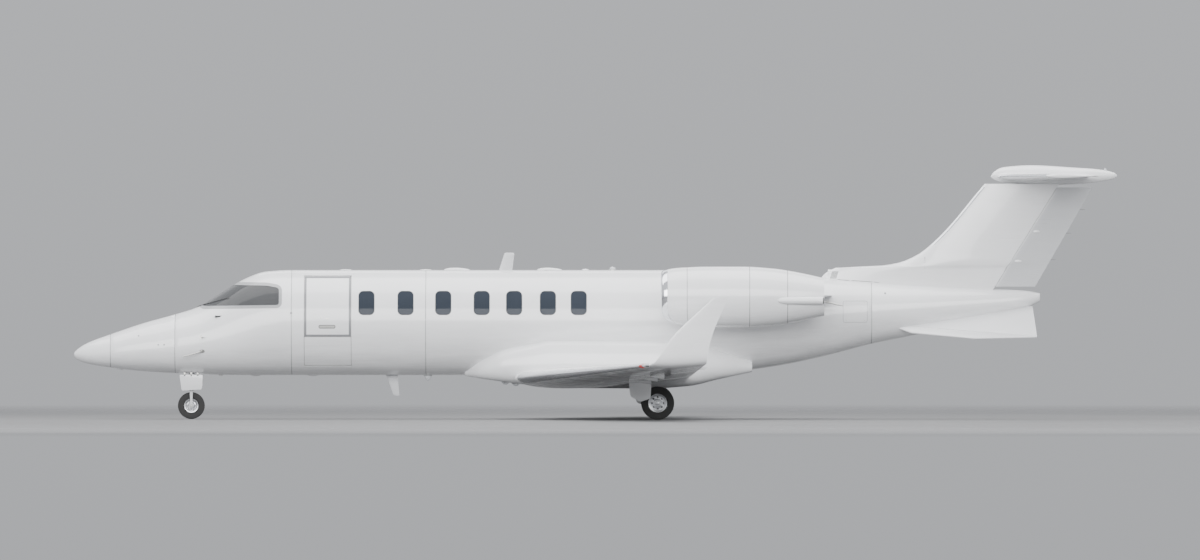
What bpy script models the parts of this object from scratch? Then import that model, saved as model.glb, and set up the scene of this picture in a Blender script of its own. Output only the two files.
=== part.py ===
"""Light twin-engined business jet, parked on its landing gear.

Metres, +Z up. The nose points to -X and the left (port) side faces -Y. The origin is on the
ground, under the middle of the length and in the plane of symmetry.
"""
import math

import bmesh
import bpy
from mathutils import Matrix, Vector

# Overall size
LENGTH = 17.68
NOSE_X = -LENGTH / 2
TAIL_X = LENGTH / 2

ALONG = Vector((1, 0, 0))
SIDE = Vector((0, 1, 0))
UP = Vector((0, 0, 1))

# Clearances: between pieces that touch, between a swinging piece and its surroundings, and at
# the two ends of a flap or aileron, which move a little sideways as they swing
SEAT_GAP = 0.0003
RUN_GAP = 0.010
END_GAP = 0.013

# Hull stations: x, keel, crown, half width, height of the widest line
HULL = (
    (NOSE_X, 1.080, 1.105, 0.012, 1.092),
    (-8.790, 1.012, 1.172, 0.080, 1.090),
    (-8.650, 0.950, 1.268, 0.178, 1.090),
    (-8.217, 0.874, 1.436, 0.325, 1.115),
    (-7.600, 0.806, 1.642, 0.465, 1.160),
    (-7.120, 0.778, 1.775, 0.556, 1.205),
    (-6.740, 0.764, 1.897, 0.622, 1.250),
    (-6.330, 0.750, 2.142, 0.700, 1.330),
    (-5.930, 0.745, 2.382, 0.775, 1.440),
    (-5.580, 0.745, 2.500, 0.832, 1.550),
    (-5.144, 0.745, 2.525, 0.870, 1.625),
    (-4.600, 0.745, 2.525, 0.875, 1.635),
    (1.300, 0.745, 2.525, 0.875, 1.635),
    (2.300, 0.800, 2.492, 0.835, 1.650),
    (3.100, 0.905, 2.445, 0.755, 1.690),
    (3.860, 1.065, 2.390, 0.650, 1.740),
    (4.676, 1.275, 2.325, 0.515, 1.810),
    (5.480, 1.442, 2.270, 0.390, 1.870),
    (6.500, 1.690, 2.212, 0.245, 1.950),
    (7.300, 1.885, 2.172, 0.130, 2.020),
    (7.530, 1.990, 2.130, 0.050, 2.065),
)
HULL_SIDES = 28
RADOME_X = -8.217
NOSE_SEAM_X = -7.120
CABIN_X = -5.144
BARREL_X = -2.872
CABIN_END_X = 1.600
TAIL_SEAM_X = 4.676
HULL_END_X = 7.530
SEAMS = (RADOME_X, NOSE_SEAM_X, CABIN_X, BARREL_X, CABIN_END_X, TAIL_SEAM_X)
CABIN_WALL = 0.090
AFT_WALL = 0.030
CABIN_ROUND_X = -4.000

# Cabin inside
FLOOR_TOP = 0.935
FLOOR_HALF = 0.360
COCKPIT_FRONT_X = -6.500
BULKHEAD_X = 1.540

# Seats: x and facing (-1 towards the nose), places across, and the sizes of one seat
CABIN_SEATS = ((-3.300, 1), (-2.050, -1), (-1.200, 1), (0.050, -1))
CABIN_SEAT_Y = 0.375
COCKPIT_SEAT = (-5.560, 0.350)
SEAT_WIDE = 0.460
SEAT_HALF_LONG = 0.270
SEAT_BACK_THICK = 0.140
SEAT_BASE_Z = 1.180
SEAT_TOP_Z = 1.330
SEAT_BACK_Z = 2.020
PEDESTAL = (0.320, 0.170)
PANEL_X = (-6.330, -6.210)
PANEL_Z = (1.300, 1.760)

# Door in the left side: a lower half with steps and an upper half
DOOR_X = (-4.930, -4.130)
DOOR_Z = (0.905, 1.395, 2.432)
DOOR_GAP = 0.006
DOOR_INNER_Y = -0.250
BARREL_RADIUS = 0.0038

# Cabin windows
WINDOW_X = (-3.873, -3.212, -2.575, -1.924, -1.376, -0.805, -0.283)
EXTRA_WINDOW_X = -4.540
WINDOW_SIZE = (0.276, 0.412)
WINDOW_Z = 1.967
WINDOW_CORNER = 0.085
PANE_THICK = 0.020

# Windscreen outline in side view (x, z); the front edge runs past the hull's outline
WINDSCREEN = ((-6.660, 1.915), (-5.355, 1.932), (-5.355, 2.222), (-5.560, 2.262), (-6.060, 2.272),
              (-6.880, 2.300))
CENTRE_POST_HALF = 0.035

# Wing stations: y, leading edge x, chord, height, thickness ratio, roll in degrees
WING = (
    (0.900, -1.368, 2.934, 0.697, 0.118, 2.0),
    (4.000, -0.196, 1.890, 0.824, 0.108, 2.0),
    (6.900, 0.900, 0.915, 0.944, 0.100, 3.0),
    (7.040, 0.965, 0.880, 0.972, 0.095, 30.0),
    (7.125, 1.050, 0.805, 1.070, 0.085, 62.0),
    (7.175, 1.235, 0.680, 1.360, 0.075, 80.0),
    (7.275, 1.960, 0.235, 2.060, 0.070, 80.0),
)
AIRFOIL_POINTS = 9
TRAILING_EDGE = 0.006
SURFACE_HINGE = 0.760
FLAP_Y = (1.780, 4.300)
AILERON_Y = (4.360, 6.480)
SPOILER_Y = (2.200, 4.000)
SPOILER_CHORD = (0.615, 0.725)
SPOILER_THICK = 0.018
BED_GAP = 0.0015
# Fairings over the flap tracks: places along the span; station from the hinge, half width, depth
TRACK_Y = (2.150, 3.050, 3.950)
TRACK = ((-0.420, 0.006, -0.008), (-0.340, 0.022, 0.024), (-0.200, 0.034, 0.060), (-0.080, 0.036, 0.080))
TRACK_BURIED = 0.012
PIN_RADIUS = 0.012
PIN_DEEP = 0.030

# Belly fairing stations: x, half width, top height, bottom height
FAIRING = (
    (-2.210, 0.300, 0.860, 0.735),
    (-1.950, 0.660, 1.000, 0.690),
    (-1.540, 0.900, 1.195, 0.630),
    (-1.020, 0.978, 1.300, 0.565),
    (-0.780, 0.985, 1.352, 0.530),
    (0.900, 0.985, 1.340, 0.520),
    (1.570, 0.975, 1.285, 0.560),
    (2.100, 0.860, 1.150, 0.680),
    (2.650, 0.560, 0.980, 0.800),
)

# Jacking pads: x, y and height of the flat face
WING_JACK = (0.100, 2.600, 0.628)
NOSE_JACK = (-6.350, 0.0, 0.738)
JACK_RADIUS = 0.035

# Tail
FIN_LEADING = ((2.150, 3.700), (2.400, 3.830), (2.560, 4.060), (2.605, 4.900), (2.683, 5.246),
               (2.868, 5.581), (4.020, 6.626))
RUDDER_TRAILING = ((2.230, 7.441), (3.963, 8.446))
RUDDER_HINGE = ((2.230, 6.788), (4.051, 7.924))
RUDDER_Z = (2.245, 3.925)
FIN_THICK = 0.105
FOOT_RADIUS = 0.022
STAB_HEIGHT = 4.105
STAB = ((0.000, 6.780, 1.560, 0.095), (2.600, 7.600, 0.800, 0.090))
ELEVATOR_HINGE_X = 7.960
ELEVATOR_Y = (0.220, 2.560)
BULLET_SIDES = 16
BULLET = ((6.700, 4.110, 0.012, 0.012), (6.900, 4.140, 0.110, 0.125), (7.420, 4.135, 0.150, 0.165),
          (8.200, 4.120, 0.120, 0.135), (8.600, 4.125, 0.075, 0.095), (TAIL_X, 4.122, 0.018, 0.025))
DELTA_TOP = ((4.958, 1.559), (7.407, 1.878))
DELTA_BOTTOM = ((5.347, 1.458), (6.415, 1.359), (7.475, 1.383))
DELTA_CANT = 42.0

# Engines
ENGINE_Y = 1.450
ENGINE_Z = 2.070
INTAKE_X = 1.110
NOZZLE_X = 3.860
FAN_X = 1.780
FAN_RADIUS = 0.352
FAN_BLADES = 16
ROUND = 20
HUB_RADIUS = 0.115
BLADE_ROOT = 0.110
# Nacelle and engine core, turned about the engine's axis: x and radius
NACELLE_OUTER = ((INTAKE_X, 0.405), (1.130, 0.432), (1.200, 0.462), (1.400, 0.492), (1.900, 0.512),
                 (2.500, 0.512), (3.000, 0.480), (3.400, 0.418), (NOZZLE_X, 0.318))
NACELLE_INNER = ((NOZZLE_X, 0.298), (3.400, 0.380), (2.900, 0.430), (2.200, 0.440), (2.050, 0.440),
                 (2.000, FAN_RADIUS + 0.008), (1.700, FAN_RADIUS + 0.008), (1.350, 0.345), (1.180, 0.352),
                 (1.125, 0.375))
CORE_X = 1.920
CORE = ((CORE_X, 0.0), (CORE_X, 0.050), (1.960, 0.190), (2.060, 0.4397), (2.150, 0.4397), (2.300, 0.340),
        (3.000, 0.300), (3.600, 0.160), (3.840, 0.0))
# The intake's lower lip lies further back
LIP_SLANT = 0.270
LIP_SLANT_LONG = 0.500
LIP_DEPTH = 0.490
# Straight fairing along the outer side of each nozzle: x and distance from the engine's axis
SIDE_FAIRING = ((3.130, 0.450), (3.845, 0.372))
SIDE_FAIRING_Z = 2.008
SIDE_FAIRING_RADIUS = 0.062
PYLON_X = 1.950
PYLON_CHORD = 2.050
PYLON_THICK = 0.085

# Landing gear
NOSE_BAY = ((-7.060, -0.150, 0.700), (-6.640, 0.150, 1.060))
LEG_X = 0.740
PIVOT_Z = 0.330
DOOR_OUT = 0.230
MAIN_X = 1.050
MAIN_Y = 1.425
MAIN_TYRE = (0.2795, 0.146, 0.155)
TWIN_SPACING = 0.270
NOSE_GEAR_X = -6.850
WHEEL_SIDES = 20
NOSE_TYRE = (0.2285, 0.112, 0.115)
AXLE_RADIUS = 0.030
NOSE_AXLE_RADIUS = 0.020
EYE_SIDES = 16
PIN_GAP = 0.0005


def clear_scene():
    for thing in list(bpy.data.objects):
        bpy.data.objects.remove(thing)


def finish(name, colour, roughness, metallic=0.0):
    """One Principled material with the piece's plain colour."""
    material = bpy.data.materials.get(name)
    if material:
        return material
    material = bpy.data.materials.new(name)
    material.use_nodes = True
    shader = material.node_tree.nodes["Principled BSDF"]
    shader.inputs["Base Color"].default_value = (*colour, 1.0)
    shader.inputs["Roughness"].default_value = roughness
    shader.inputs["Metallic"].default_value = metallic
    return material


def white_paint():
    return finish("white_paint", (0.86, 0.87, 0.88), 0.18)


def glass():
    return finish("window_glass", (0.03, 0.04, 0.055), 0.05)


def bare_metal():
    return finish("bare_metal", (0.55, 0.56, 0.58), 0.25, 1.0)


def rubber():
    return finish("rubber", (0.02, 0.02, 0.022), 0.75)


def gear_paint():
    return finish("gear_paint", (0.72, 0.73, 0.74), 0.35)


def leather():
    return finish("seat_leather", (0.55, 0.48, 0.38), 0.5)


def dark_trim():
    return finish("dark_trim", (0.05, 0.05, 0.055), 0.6)


def smooth_curve(points, x):
    """Monotone cubic through hand-picked (x, value) points, without overshoot."""
    count = len(points)
    slopes = [(points[i + 1][1] - points[i][1]) / (points[i + 1][0] - points[i][0])
              for i in range(count - 1)]
    tangents = [slopes[0]]
    for before, after in zip(slopes, slopes[1:]):
        tangents.append(0.0 if before * after <= 0 else 2 * before * after / (before + after))
    tangents.append(slopes[-1])
    x = min(max(x, points[0][0]), points[-1][0])
    i = max(k for k in range(count - 1) if points[k][0] <= x)
    span = points[i + 1][0] - points[i][0]
    t = (x - points[i][0]) / span
    return (points[i][1] * (1 + 2 * t) * (1 - t) ** 2 + tangents[i] * span * t * (1 - t) ** 2
            + points[i + 1][1] * t * t * (3 - 2 * t) + tangents[i + 1] * span * t * t * (t - 1))


def straight(points, x):
    """Straight-line interpolation through (x, value) points."""
    i = max(k for k in range(len(points) - 1) if points[k][0] <= x or k == 0)
    (x0, v0), (x1, v1) = points[i], points[i + 1]
    return v0 + (v1 - v0) * (x - x0) / (x1 - x0)


def loft(rings):
    """Closed triangle skin over rings of equally many points."""
    bm = bmesh.new()
    rows = [[bm.verts.new(point) for point in ring] for ring in rings]
    count = len(rows[0])
    for near, far in zip(rows, rows[1:]):
        for i in range(count):
            j = (i + 1) % count
            bm.faces.new((near[i], near[j], far[j]))
            bm.faces.new((near[i], far[j], far[i]))
    bm.faces.new(list(reversed(rows[0])))
    bm.faces.new(rows[-1])
    bmesh.ops.triangulate(bm, faces=bm.faces)
    bmesh.ops.recalc_face_normals(bm, faces=bm.faces)
    return bm


def turn(profile, centre, axis="X", sides=ROUND):
    """Closed (along, radius) outline turned round an axis through centre; radius 0 closes it."""
    bm = bmesh.new()
    rows = []
    for along, radius in profile:
        if radius < 1e-6:
            rows.append([bm.verts.new(place_round(centre, axis, along, 0.0, 0.0))])
            continue
        rows.append([bm.verts.new(place_round(centre, axis, along, radius, 2 * math.pi * k / sides))
                     for k in range(sides)])
    closed = all(len(row) > 1 for row in rows)
    pairs = list(zip(rows, rows[1:])) + ([(rows[-1], rows[0])] if closed else [])
    for near, far in pairs:
        for k in range(sides):
            m = (k + 1) % sides
            corners = [near[k % len(near)], near[m % len(near)], far[m % len(far)], far[k % len(far)]]
            kept = [v for i, v in enumerate(corners) if v not in corners[:i]]
            if len(kept) > 2:
                bm.faces.new(kept)
    bmesh.ops.recalc_face_normals(bm, faces=bm.faces)
    return bm


def place_round(centre, axis, along, radius, angle):
    a, b = radius * math.sin(angle), -radius * math.cos(angle)
    offset = {"X": (along, a, b), "Y": (a, along, b), "Z": (a, b, along)}[axis]
    return Vector(centre) + Vector(offset)


def bore(pin, sides):
    """Corner radius of a many-sided bore whose flats clear a turning pin."""
    return (pin + PIN_GAP) / math.cos(math.pi / sides)


def box(low, high):
    bm = bmesh.new()
    bmesh.ops.create_cube(bm, size=1.0)
    for vert in bm.verts:
        vert.co = Vector([low[i] + (vert.co[i] + 0.5) * (high[i] - low[i]) for i in range(3)])
    return bm


def prism(outline, low_y, high_y):
    """(x, z) outline extruded along Y."""
    return loft([[Vector((x, y, z)) for x, z in outline] for y in (low_y, high_y)])


def rectangle(x0, x1, z0, z1):
    """(x, z) outline of a rectangle."""
    return [(x1, z1), (x0, z1), (x0, z0), (x1, z0)]


def bar(start, end, radius, sides=10):
    """Round bar between two points."""
    start, end = Vector(start), Vector(end)
    frame = (end - start).to_track_quat("Z", "Y").to_matrix()
    rings = [[point + frame @ Vector((radius * math.cos(2 * math.pi * k / sides),
                                      radius * math.sin(2 * math.pi * k / sides), 0.0))
              for k in range(sides)] for point in (start, end)]
    return loft(rings)


def mirrored(bm):
    """The same shape on the other side of the plane of symmetry."""
    for vert in bm.verts:
        vert.co.y = -vert.co.y
    bmesh.ops.reverse_faces(bm, faces=bm.faces)
    return bm


def node(name, bm, material, pivot=(0, 0, 0)):
    """Object with its origin at the pivot."""
    mesh = bpy.data.meshes.new(name)
    bmesh.ops.translate(bm, verts=bm.verts, vec=-Vector(pivot))
    bm.to_mesh(mesh)
    bm.free()
    mesh.materials.append(material)
    piece = bpy.data.objects.new(name, mesh)
    piece.location = pivot
    bpy.context.collection.objects.link(piece)
    return piece


def combine(piece, shapes, operation="DIFFERENCE"):
    """Cut shapes from a piece, or join them to it, and keep the result as its mesh."""
    for shape in shapes:
        tool = node("tool", shape, piece.data.materials[0])
        change = piece.modifiers.new("change", "BOOLEAN")
        change.operation = operation
        change.solver = "EXACT"
        change.object = tool
        bpy.context.view_layer.update()
        graph = bpy.context.evaluated_depsgraph_get()
        mesh = bpy.data.meshes.new_from_object(piece.evaluated_get(graph))
        material = piece.data.materials[0]
        piece.modifiers.clear()
        old = piece.data
        piece.data = mesh
        bpy.data.meshes.remove(old)
        mesh.materials.clear()
        mesh.materials.append(material)
        bpy.data.objects.remove(tool)
    return clean(piece)


def clean(piece):
    """Drop doubled points and needle faces that a cut leaves."""
    bm = bmesh.new()
    bm.from_mesh(piece.data)
    bmesh.ops.remove_doubles(bm, verts=bm.verts, dist=2e-5)
    bmesh.ops.dissolve_degenerate(bm, edges=bm.edges, dist=1e-5)
    bmesh.ops.triangulate(bm, faces=bm.faces)
    bm.to_mesh(piece.data)
    bm.free()
    return piece


def shade_round(piece):
    piece.data.shade_smooth()
    piece.data.set_sharp_from_angle(angle=math.radians(35))


# The hull

def section(x, inset):
    """One cross-section: two half ellipses that meet at the widest line."""
    keel, crown, half, widest = (smooth_curve([(row[0], row[k]) for row in HULL], x)
                                 for k in range(1, 5))
    ring = []
    for i in range(HULL_SIDES):
        angle = 2 * math.pi * i / HULL_SIDES
        rise = -math.cos(angle)
        reach = crown - widest if rise > 0 else widest - keel
        ring.append(Vector((x, (half - inset) * math.sin(angle), widest + (reach - inset) * rise)))
    return ring


def skin_places():
    """Where the skin's flat facets meet: stations, seams and the middle of long curved spans."""
    marks = sorted({row[0] for row in HULL} | set(SEAMS))
    places = marks[:1]
    for x in marks[1:]:
        if 0.65 < x - places[-1] < 1.2:
            places.append((places[-1] + x) / 2)
        places.append(x)
    return places


def hull_ring(x, inset=0.0):
    """Section on the facets themselves, so that pieces cut anywhere share the same skin."""
    places = skin_places()
    i = min(max(k for k in range(len(places)) if places[k] <= x or k == 0), len(places) - 2)
    share = min(max((x - places[i]) / (places[i + 1] - places[i]), 0.0), 1.0)
    ring = [a.lerp(b, share) for a, b in zip(section(places[i], inset), section(places[i + 1], inset))]
    for point in ring:
        point.x = x
    return ring


def hull_places(start, end):
    return [start] + [x for x in skin_places() if start + 0.002 < x < end - 0.002] + [end]


def hull_solid(start, end, inset=0.0):
    return loft([hull_ring(x, inset) for x in hull_places(start, end)])


def window_rows(grow=0.0):
    """Height and half width of a window at a few rows, from its sill to its top."""
    half, tall = WINDOW_SIZE[0] / 2 + grow, WINDOW_SIZE[1] / 2 + grow
    rows = [(-tall, half - WINDOW_CORNER), (-tall + WINDOW_CORNER * 0.8, half), (0.0, half)]
    return rows + [(-z, width) for z, width in reversed(rows[:-1])]


def window_block(x, inset_out, inset_in, grow=0.0):
    """Block with the window's outline between two layers of the right wall."""
    rings = []
    for rise, width in window_rows(grow):
        z = WINDOW_Z + rise
        near, far = hull_half_width(z, inset_in), hull_half_width(z, inset_out)
        rings.append([Vector((x - width, near, z)), Vector((x + width, near, z)),
                      Vector((x + width, far, z)), Vector((x - width, far, z))])
    return loft(rings)


def barrel(name, start, end, wall):
    """A length of hull, open at both ends."""
    piece = node(name, hull_solid(start + SEAT_GAP / 2, end - SEAT_GAP / 2), white_paint())
    return combine(piece, [hull_solid(start - 0.01, end + 0.01, wall)])


def make_nose():
    shade_round(node("radome", hull_solid(NOSE_X, RADOME_X - SEAT_GAP), white_paint()))
    shade_round(node("nose_section", hull_solid(RADOME_X, NOSE_SEAM_X - SEAT_GAP), white_paint()))


def screen_outline(grow):
    """Windscreen outline moved outwards by grow."""
    centre = Vector((sum(p[0] for p in WINDSCREEN), sum(p[1] for p in WINDSCREEN))) / len(WINDSCREEN)
    return [tuple(Vector(p) + (Vector(p) - centre).normalized() * grow) for p in WINDSCREEN]


def make_cockpit():
    shell = node("cockpit_shell", hull_solid(NOSE_SEAM_X, CABIN_X - SEAT_GAP / 2), white_paint())
    cuts = [hull_solid(COCKPIT_FRONT_X, CABIN_X + 0.01, CABIN_WALL), box(*NOSE_BAY)]
    for side in (1, -1):
        cut = prism(screen_outline(0.0), CENTRE_POST_HALF, 1.2)
        cuts.append(cut if side > 0 else mirrored(cut))
    combine(shell, cuts)
    x, y, low = NOSE_JACK
    shade_round(combine(shell, [bar((x, y, low), (x, y, low + 0.04), JACK_RADIUS, 12)], "UNION"))
    for side, label in ((1, "right"), (-1, "left")):
        outer = hull_solid(-6.95, -5.20, 0.003)
        pane = node("windscreen_" + label, outer, glass())
        keep = prism(screen_outline(-SEAT_GAP), CENTRE_POST_HALF + SEAT_GAP, 1.2)
        combine(pane, [hull_solid(-6.96, -5.19, 0.003 + PANE_THICK)])
        combine(pane, [keep if side > 0 else mirrored(keep)], "INTERSECT")
        shade_round(pane)


def make_cabin():
    first = barrel("cabin_front", CABIN_X, BARREL_X, CABIN_WALL)
    skin = hull_solid(BARREL_X + SEAT_GAP / 2, CABIN_END_X - SEAT_GAP / 2)
    last = node("cabin_rear", skin, white_paint())
    combine(last, [hull_solid(BARREL_X - 0.01, BULKHEAD_X, CABIN_WALL)])
    for piece, start, end in ((first, CABIN_X, BARREL_X), (last, BARREL_X, CABIN_END_X)):
        cuts = []
        for x in WINDOW_X:
            if start < x < end:
                for side in (1, -1):
                    hole = window_block(x, -0.1, CABIN_WALL + 0.1)
                    cuts.append(hole if side > 0 else mirrored(hole))
        combine(piece, cuts)
    opening = prism(rectangle(*DOOR_X, DOOR_Z[0], DOOR_Z[2]), -1.2, DOOR_INNER_Y)
    combine(first, [opening, window_block(EXTRA_WINDOW_X, -0.1, CABIN_WALL + 0.1)])
    shade_round(first)
    shade_round(last)


def make_doors():
    """Each leaf turns about a long hinge barrel at its far edge, just outside the skin."""
    middle = (DOOR_X[0] + DOOR_X[1]) / 2
    frame = prism(rectangle(DOOR_X[0] + DOOR_GAP, DOOR_X[1] - DOOR_GAP, DOOR_Z[0] + DOOR_GAP,
                            DOOR_Z[2] - DOOR_GAP), -1.2, DOOR_INNER_Y - DOOR_GAP)
    for name, edge, inward in (("door_steps", DOOR_Z[0], 1), ("door_upper", DOOR_Z[2], -1)):
        hinge_z = edge + inward * BARREL_RADIUS
        pivot = (middle, -hull_half_width(edge, 0.0) - 0.002, hinge_z)
        leaf = node(name, hull_solid(DOOR_X[0] - 0.1, DOOR_X[1] + 0.1), white_paint(), pivot)
        combine(leaf, [hull_solid(DOOR_X[0] - 0.2, DOOR_X[1] + 0.2, CABIN_WALL)])
        split = DOOR_Z[1] - inward * DOOR_GAP / 2
        far = edge - inward * 0.1
        half = box((DOOR_X[0] - 0.05, -1.3, min(split, far)), (DOOR_X[1] + 0.05, -0.1, max(split, far)))
        combine(leaf, [frame.copy(), half], "INTERSECT")
        reach = DOOR_X[1] - middle - 0.120
        hinge = bar((middle - reach, *pivot[1:]), (middle + reach, *pivot[1:]), BARREL_RADIUS)
        combine(leaf, [hinge], "UNION")
        shade_round(leaf)
    frame.free()


def make_window_panes():
    """Panes on each side, held together by a narrow trim strip behind the wall's inner face."""
    for side, label in ((1, "right"), (-1, "left")):
        places = WINDOW_X if side < 0 else (EXTRA_WINDOW_X,) + WINDOW_X
        shapes = [strip_solid(places)]
        shapes += [window_block(x, 0.004, CABIN_WALL + 0.006, -SEAT_GAP) for x in places]
        if side < 0:
            shapes = [mirrored(shape) for shape in shapes]
        strip = node("cabin_windows_" + label, shapes[0], glass())
        shade_round(combine(strip, shapes[1:], "UNION"))


def strip_solid(places):
    """Band that follows the inside of the wall below the middle of the windows."""
    rings = []
    half = 0.030
    for x in (places[0] - 0.10, places[-1] + 0.10):
        ring = []
        for inset, heights in ((CABIN_WALL + SEAT_GAP, (WINDOW_Z - half, WINDOW_Z + half)),
                               (CABIN_WALL + 0.012, (WINDOW_Z + half, WINDOW_Z - half))):
            for z in heights:
                ring.append(Vector((x, hull_half_width(z, inset), z)))
        rings.append(ring)
    return loft(rings)


def hull_half_width(z, inset):
    """Half width of the cabin's facets at height z."""
    ring = section(CABIN_ROUND_X, inset)[:HULL_SIDES // 2 + 1]
    low, high = next(pair for pair in zip(ring, ring[1:]) if pair[0].z <= z <= pair[1].z)
    return low.y + (high.y - low.y) * (z - low.z) / (high.z - low.z)


def make_aft_hull():
    shade_round(barrel("aft_hull", CABIN_END_X, TAIL_SEAM_X, AFT_WALL))
    shade_round(node("tail_cone", hull_solid(TAIL_SEAM_X + SEAT_GAP / 2, HULL_END_X), white_paint()))


def make_interior():
    """Floors with their seats, and the instrument panel."""
    for name, start, end, seats in (
            ("cabin_floor", CABIN_X + 0.02, BULKHEAD_X - SEAT_GAP, cabin_seats()),
            ("cockpit_floor", COCKPIT_FRONT_X + SEAT_GAP, CABIN_X - 0.02, cockpit_seats())):
        floor = node(name, hull_solid(start, end, CABIN_WALL + SEAT_GAP), leather())
        keep = box((start - 0.1, -FLOOR_HALF, 0.5), (end + 0.1, FLOOR_HALF, FLOOR_TOP))
        combine(floor, [keep], "INTERSECT")
        if name == "cabin_floor":
            combine(floor, [box((DOOR_X[0] - 0.05, -0.6, 0.5), (DOOR_X[1] + 0.05, -0.29, 1.1))])
        combine(floor, seats, "UNION")
    panel = hull_solid(*PANEL_X, CABIN_WALL + BED_GAP)
    board = node("instrument_panel", panel, dark_trim())
    keep = box((PANEL_X[0] - 0.1, -1.0, PANEL_Z[0]), (PANEL_X[1] + 0.1, 1.0, PANEL_Z[1]))
    combine(board, [keep], "INTERSECT")


def seat(x, y, facing):
    """Pedestal, and an upright L of cushion and back; facing is -1 towards the nose."""
    half = SEAT_WIDE / 2
    front, back = x + facing * SEAT_HALF_LONG, x - facing * SEAT_HALF_LONG
    far = back - facing * SEAT_BACK_THICK
    outline = [(front, SEAT_BASE_Z), (front, SEAT_TOP_Z), (back, SEAT_TOP_Z), (back, SEAT_BACK_Z),
               (far, SEAT_BACK_Z), (far, SEAT_BASE_Z)]
    long, wide = PEDESTAL
    foot = math.copysign(FLOOR_HALF - 0.050, y)
    inner = foot - math.copysign(wide, y)
    post = box((x - long / 2, min(inner, foot), FLOOR_TOP - 0.02),
               (x + long / 2, max(inner, foot), SEAT_BASE_Z + 0.02))
    return [post, prism(outline, y - half, y + half)]


def cabin_seats():
    return [shape for x, facing in CABIN_SEATS for y in (-CABIN_SEAT_Y, CABIN_SEAT_Y)
            for shape in seat(x, y, facing)]


def cockpit_seats():
    x, y = COCKPIT_SEAT
    return seat(x, -y, -1) + seat(x, y, -1)


# The wing

def wing_values(y):
    """Leading edge x, chord, height, thickness ratio and roll at a place along the span."""
    return [straight([(row[0], row[k]) for row in WING[:3]], y) for k in range(1, 6)]


def half_thickness(fraction, ratio):
    """Half thickness of the airfoil, as a share of its chord."""
    root = math.sqrt(max(fraction, 0.0))
    return 5 * ratio * (0.2969 * root - 0.1260 * fraction - 0.3516 * fraction ** 2
                        + 0.2843 * fraction ** 3 - 0.1036 * fraction ** 4)


def airfoil(chord, ratio, grow=0.0):
    """(along, up) outline from the trailing edge over the top to the nose and back below."""
    blunt = TRAILING_EDGE / 2
    fractions = [(1 - math.cos(math.pi * k / AIRFOIL_POINTS)) / 2 for k in range(AIRFOIL_POINTS)] + [1]
    upper = [(f * chord + (grow if f == 1 else 0.0), chord * half_thickness(f, ratio) + blunt * f + grow)
             for f in reversed(fractions[1:])]
    lower = [(a, -b) for a, b in reversed(upper)]
    return upper + [(-grow, 0.0)] + lower


def wing_ring(y, leading, chord, height, ratio, roll, grow=0.0):
    tilt = math.radians(roll)
    return [Vector((leading + along, y - up * math.sin(tilt), height + up * math.cos(tilt)))
            for along, up in airfoil(chord, ratio, grow)]


def hinge_point(y):
    """Place and nose radius of a trailing surface's hinge."""
    leading, chord, height, ratio, _ = wing_values(y)
    radius = chord * half_thickness(SURFACE_HINGE, ratio)
    return Vector((leading + SURFACE_HINGE * chord, y, height)), radius, leading + chord


def surface_ring(centre, radius, trailing, along, across, round_steps=6, tail_half=None):
    """Section of a hinged surface: a round nose about the hinge, then a taper to its rear edge."""
    tail_half = TRAILING_EDGE / 2 if tail_half is None else tail_half
    ring = []
    for k in range(round_steps + 1):
        angle = math.pi / 2 + math.pi * k / round_steps
        ring.append(centre + along * (radius * math.cos(angle)) + across * (radius * math.sin(angle)))
    rear = centre + along * trailing
    return ring + [rear - across * tail_half, rear + across * tail_half]


def hinge_pins(low, high, gap):
    """Stubs on the hinge line that reach from each end of a surface to the rib beyond it."""
    line = (high - low).normalized()
    slant = math.hypot(line.x, line.z) / line.y * PIN_RADIUS
    reach = (gap - SEAT_GAP) / line.y - slant
    return [bar(low + line * PIN_DEEP, low - line * reach, PIN_RADIUS, 8),
            bar(high - line * PIN_DEEP, high + line * reach, PIN_RADIUS, 8)]


def trailing_surface(low_y, high_y):
    rings = []
    for y in (low_y, high_y):
        centre, radius, trailing = hinge_point(y)
        rings.append(surface_ring(centre, radius, trailing - centre.x, ALONG, UP))
    return loft(rings)


def trailing_cut(low_y, high_y):
    """Room for a trailing surface: concentric at its nose, open to the rear."""
    rings = []
    for y in (low_y - END_GAP, high_y + END_GAP):
        centre, radius, trailing = hinge_point(y)
        radius += RUN_GAP
        rings.append(surface_ring(centre, radius, trailing - centre.x + 0.1, ALONG, UP,
                                  tail_half=radius + 0.02))
    return loft(rings)


def spoiler_ring(y, room=False):
    """Section of a spoiler, or of the bed that it lies in."""
    leading, chord, height, ratio, _ = wing_values(y)
    start, end = SPOILER_CHORD
    if room:
        start, end = start - SEAT_GAP / chord, end + RUN_GAP / chord
    top = []
    for share in (start, (start + end) / 2, end):
        rise = chord * half_thickness(share, ratio) + TRAILING_EDGE / 2 * share
        top.append(Vector((leading + share * chord, y, height + rise)))
    under = SPOILER_THICK + (BED_GAP if room else 0.0)
    bottom = [point - UP * under for point in reversed(top)]
    if room:
        top = [point + UP * 0.05 for point in top]
    return top + bottom


def track_fairing(y):
    """Keel-shaped fairing under the wing, ahead of a flap hinge."""
    centre, radius, _ = hinge_point(y)
    rings = []
    for along, half, deep in TRACK:
        low = centre.z - radius
        rings.append([Vector((centre.x + along, y + half * math.cos(math.pi * k / 4),
                              low + TRACK_BURIED - (deep + TRACK_BURIED) * math.sin(math.pi * k / 4)))
                      for k in range(5)] + [Vector((centre.x + along, y, low + TRACK_BURIED * 1.5))])
    return loft(rings)


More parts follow.
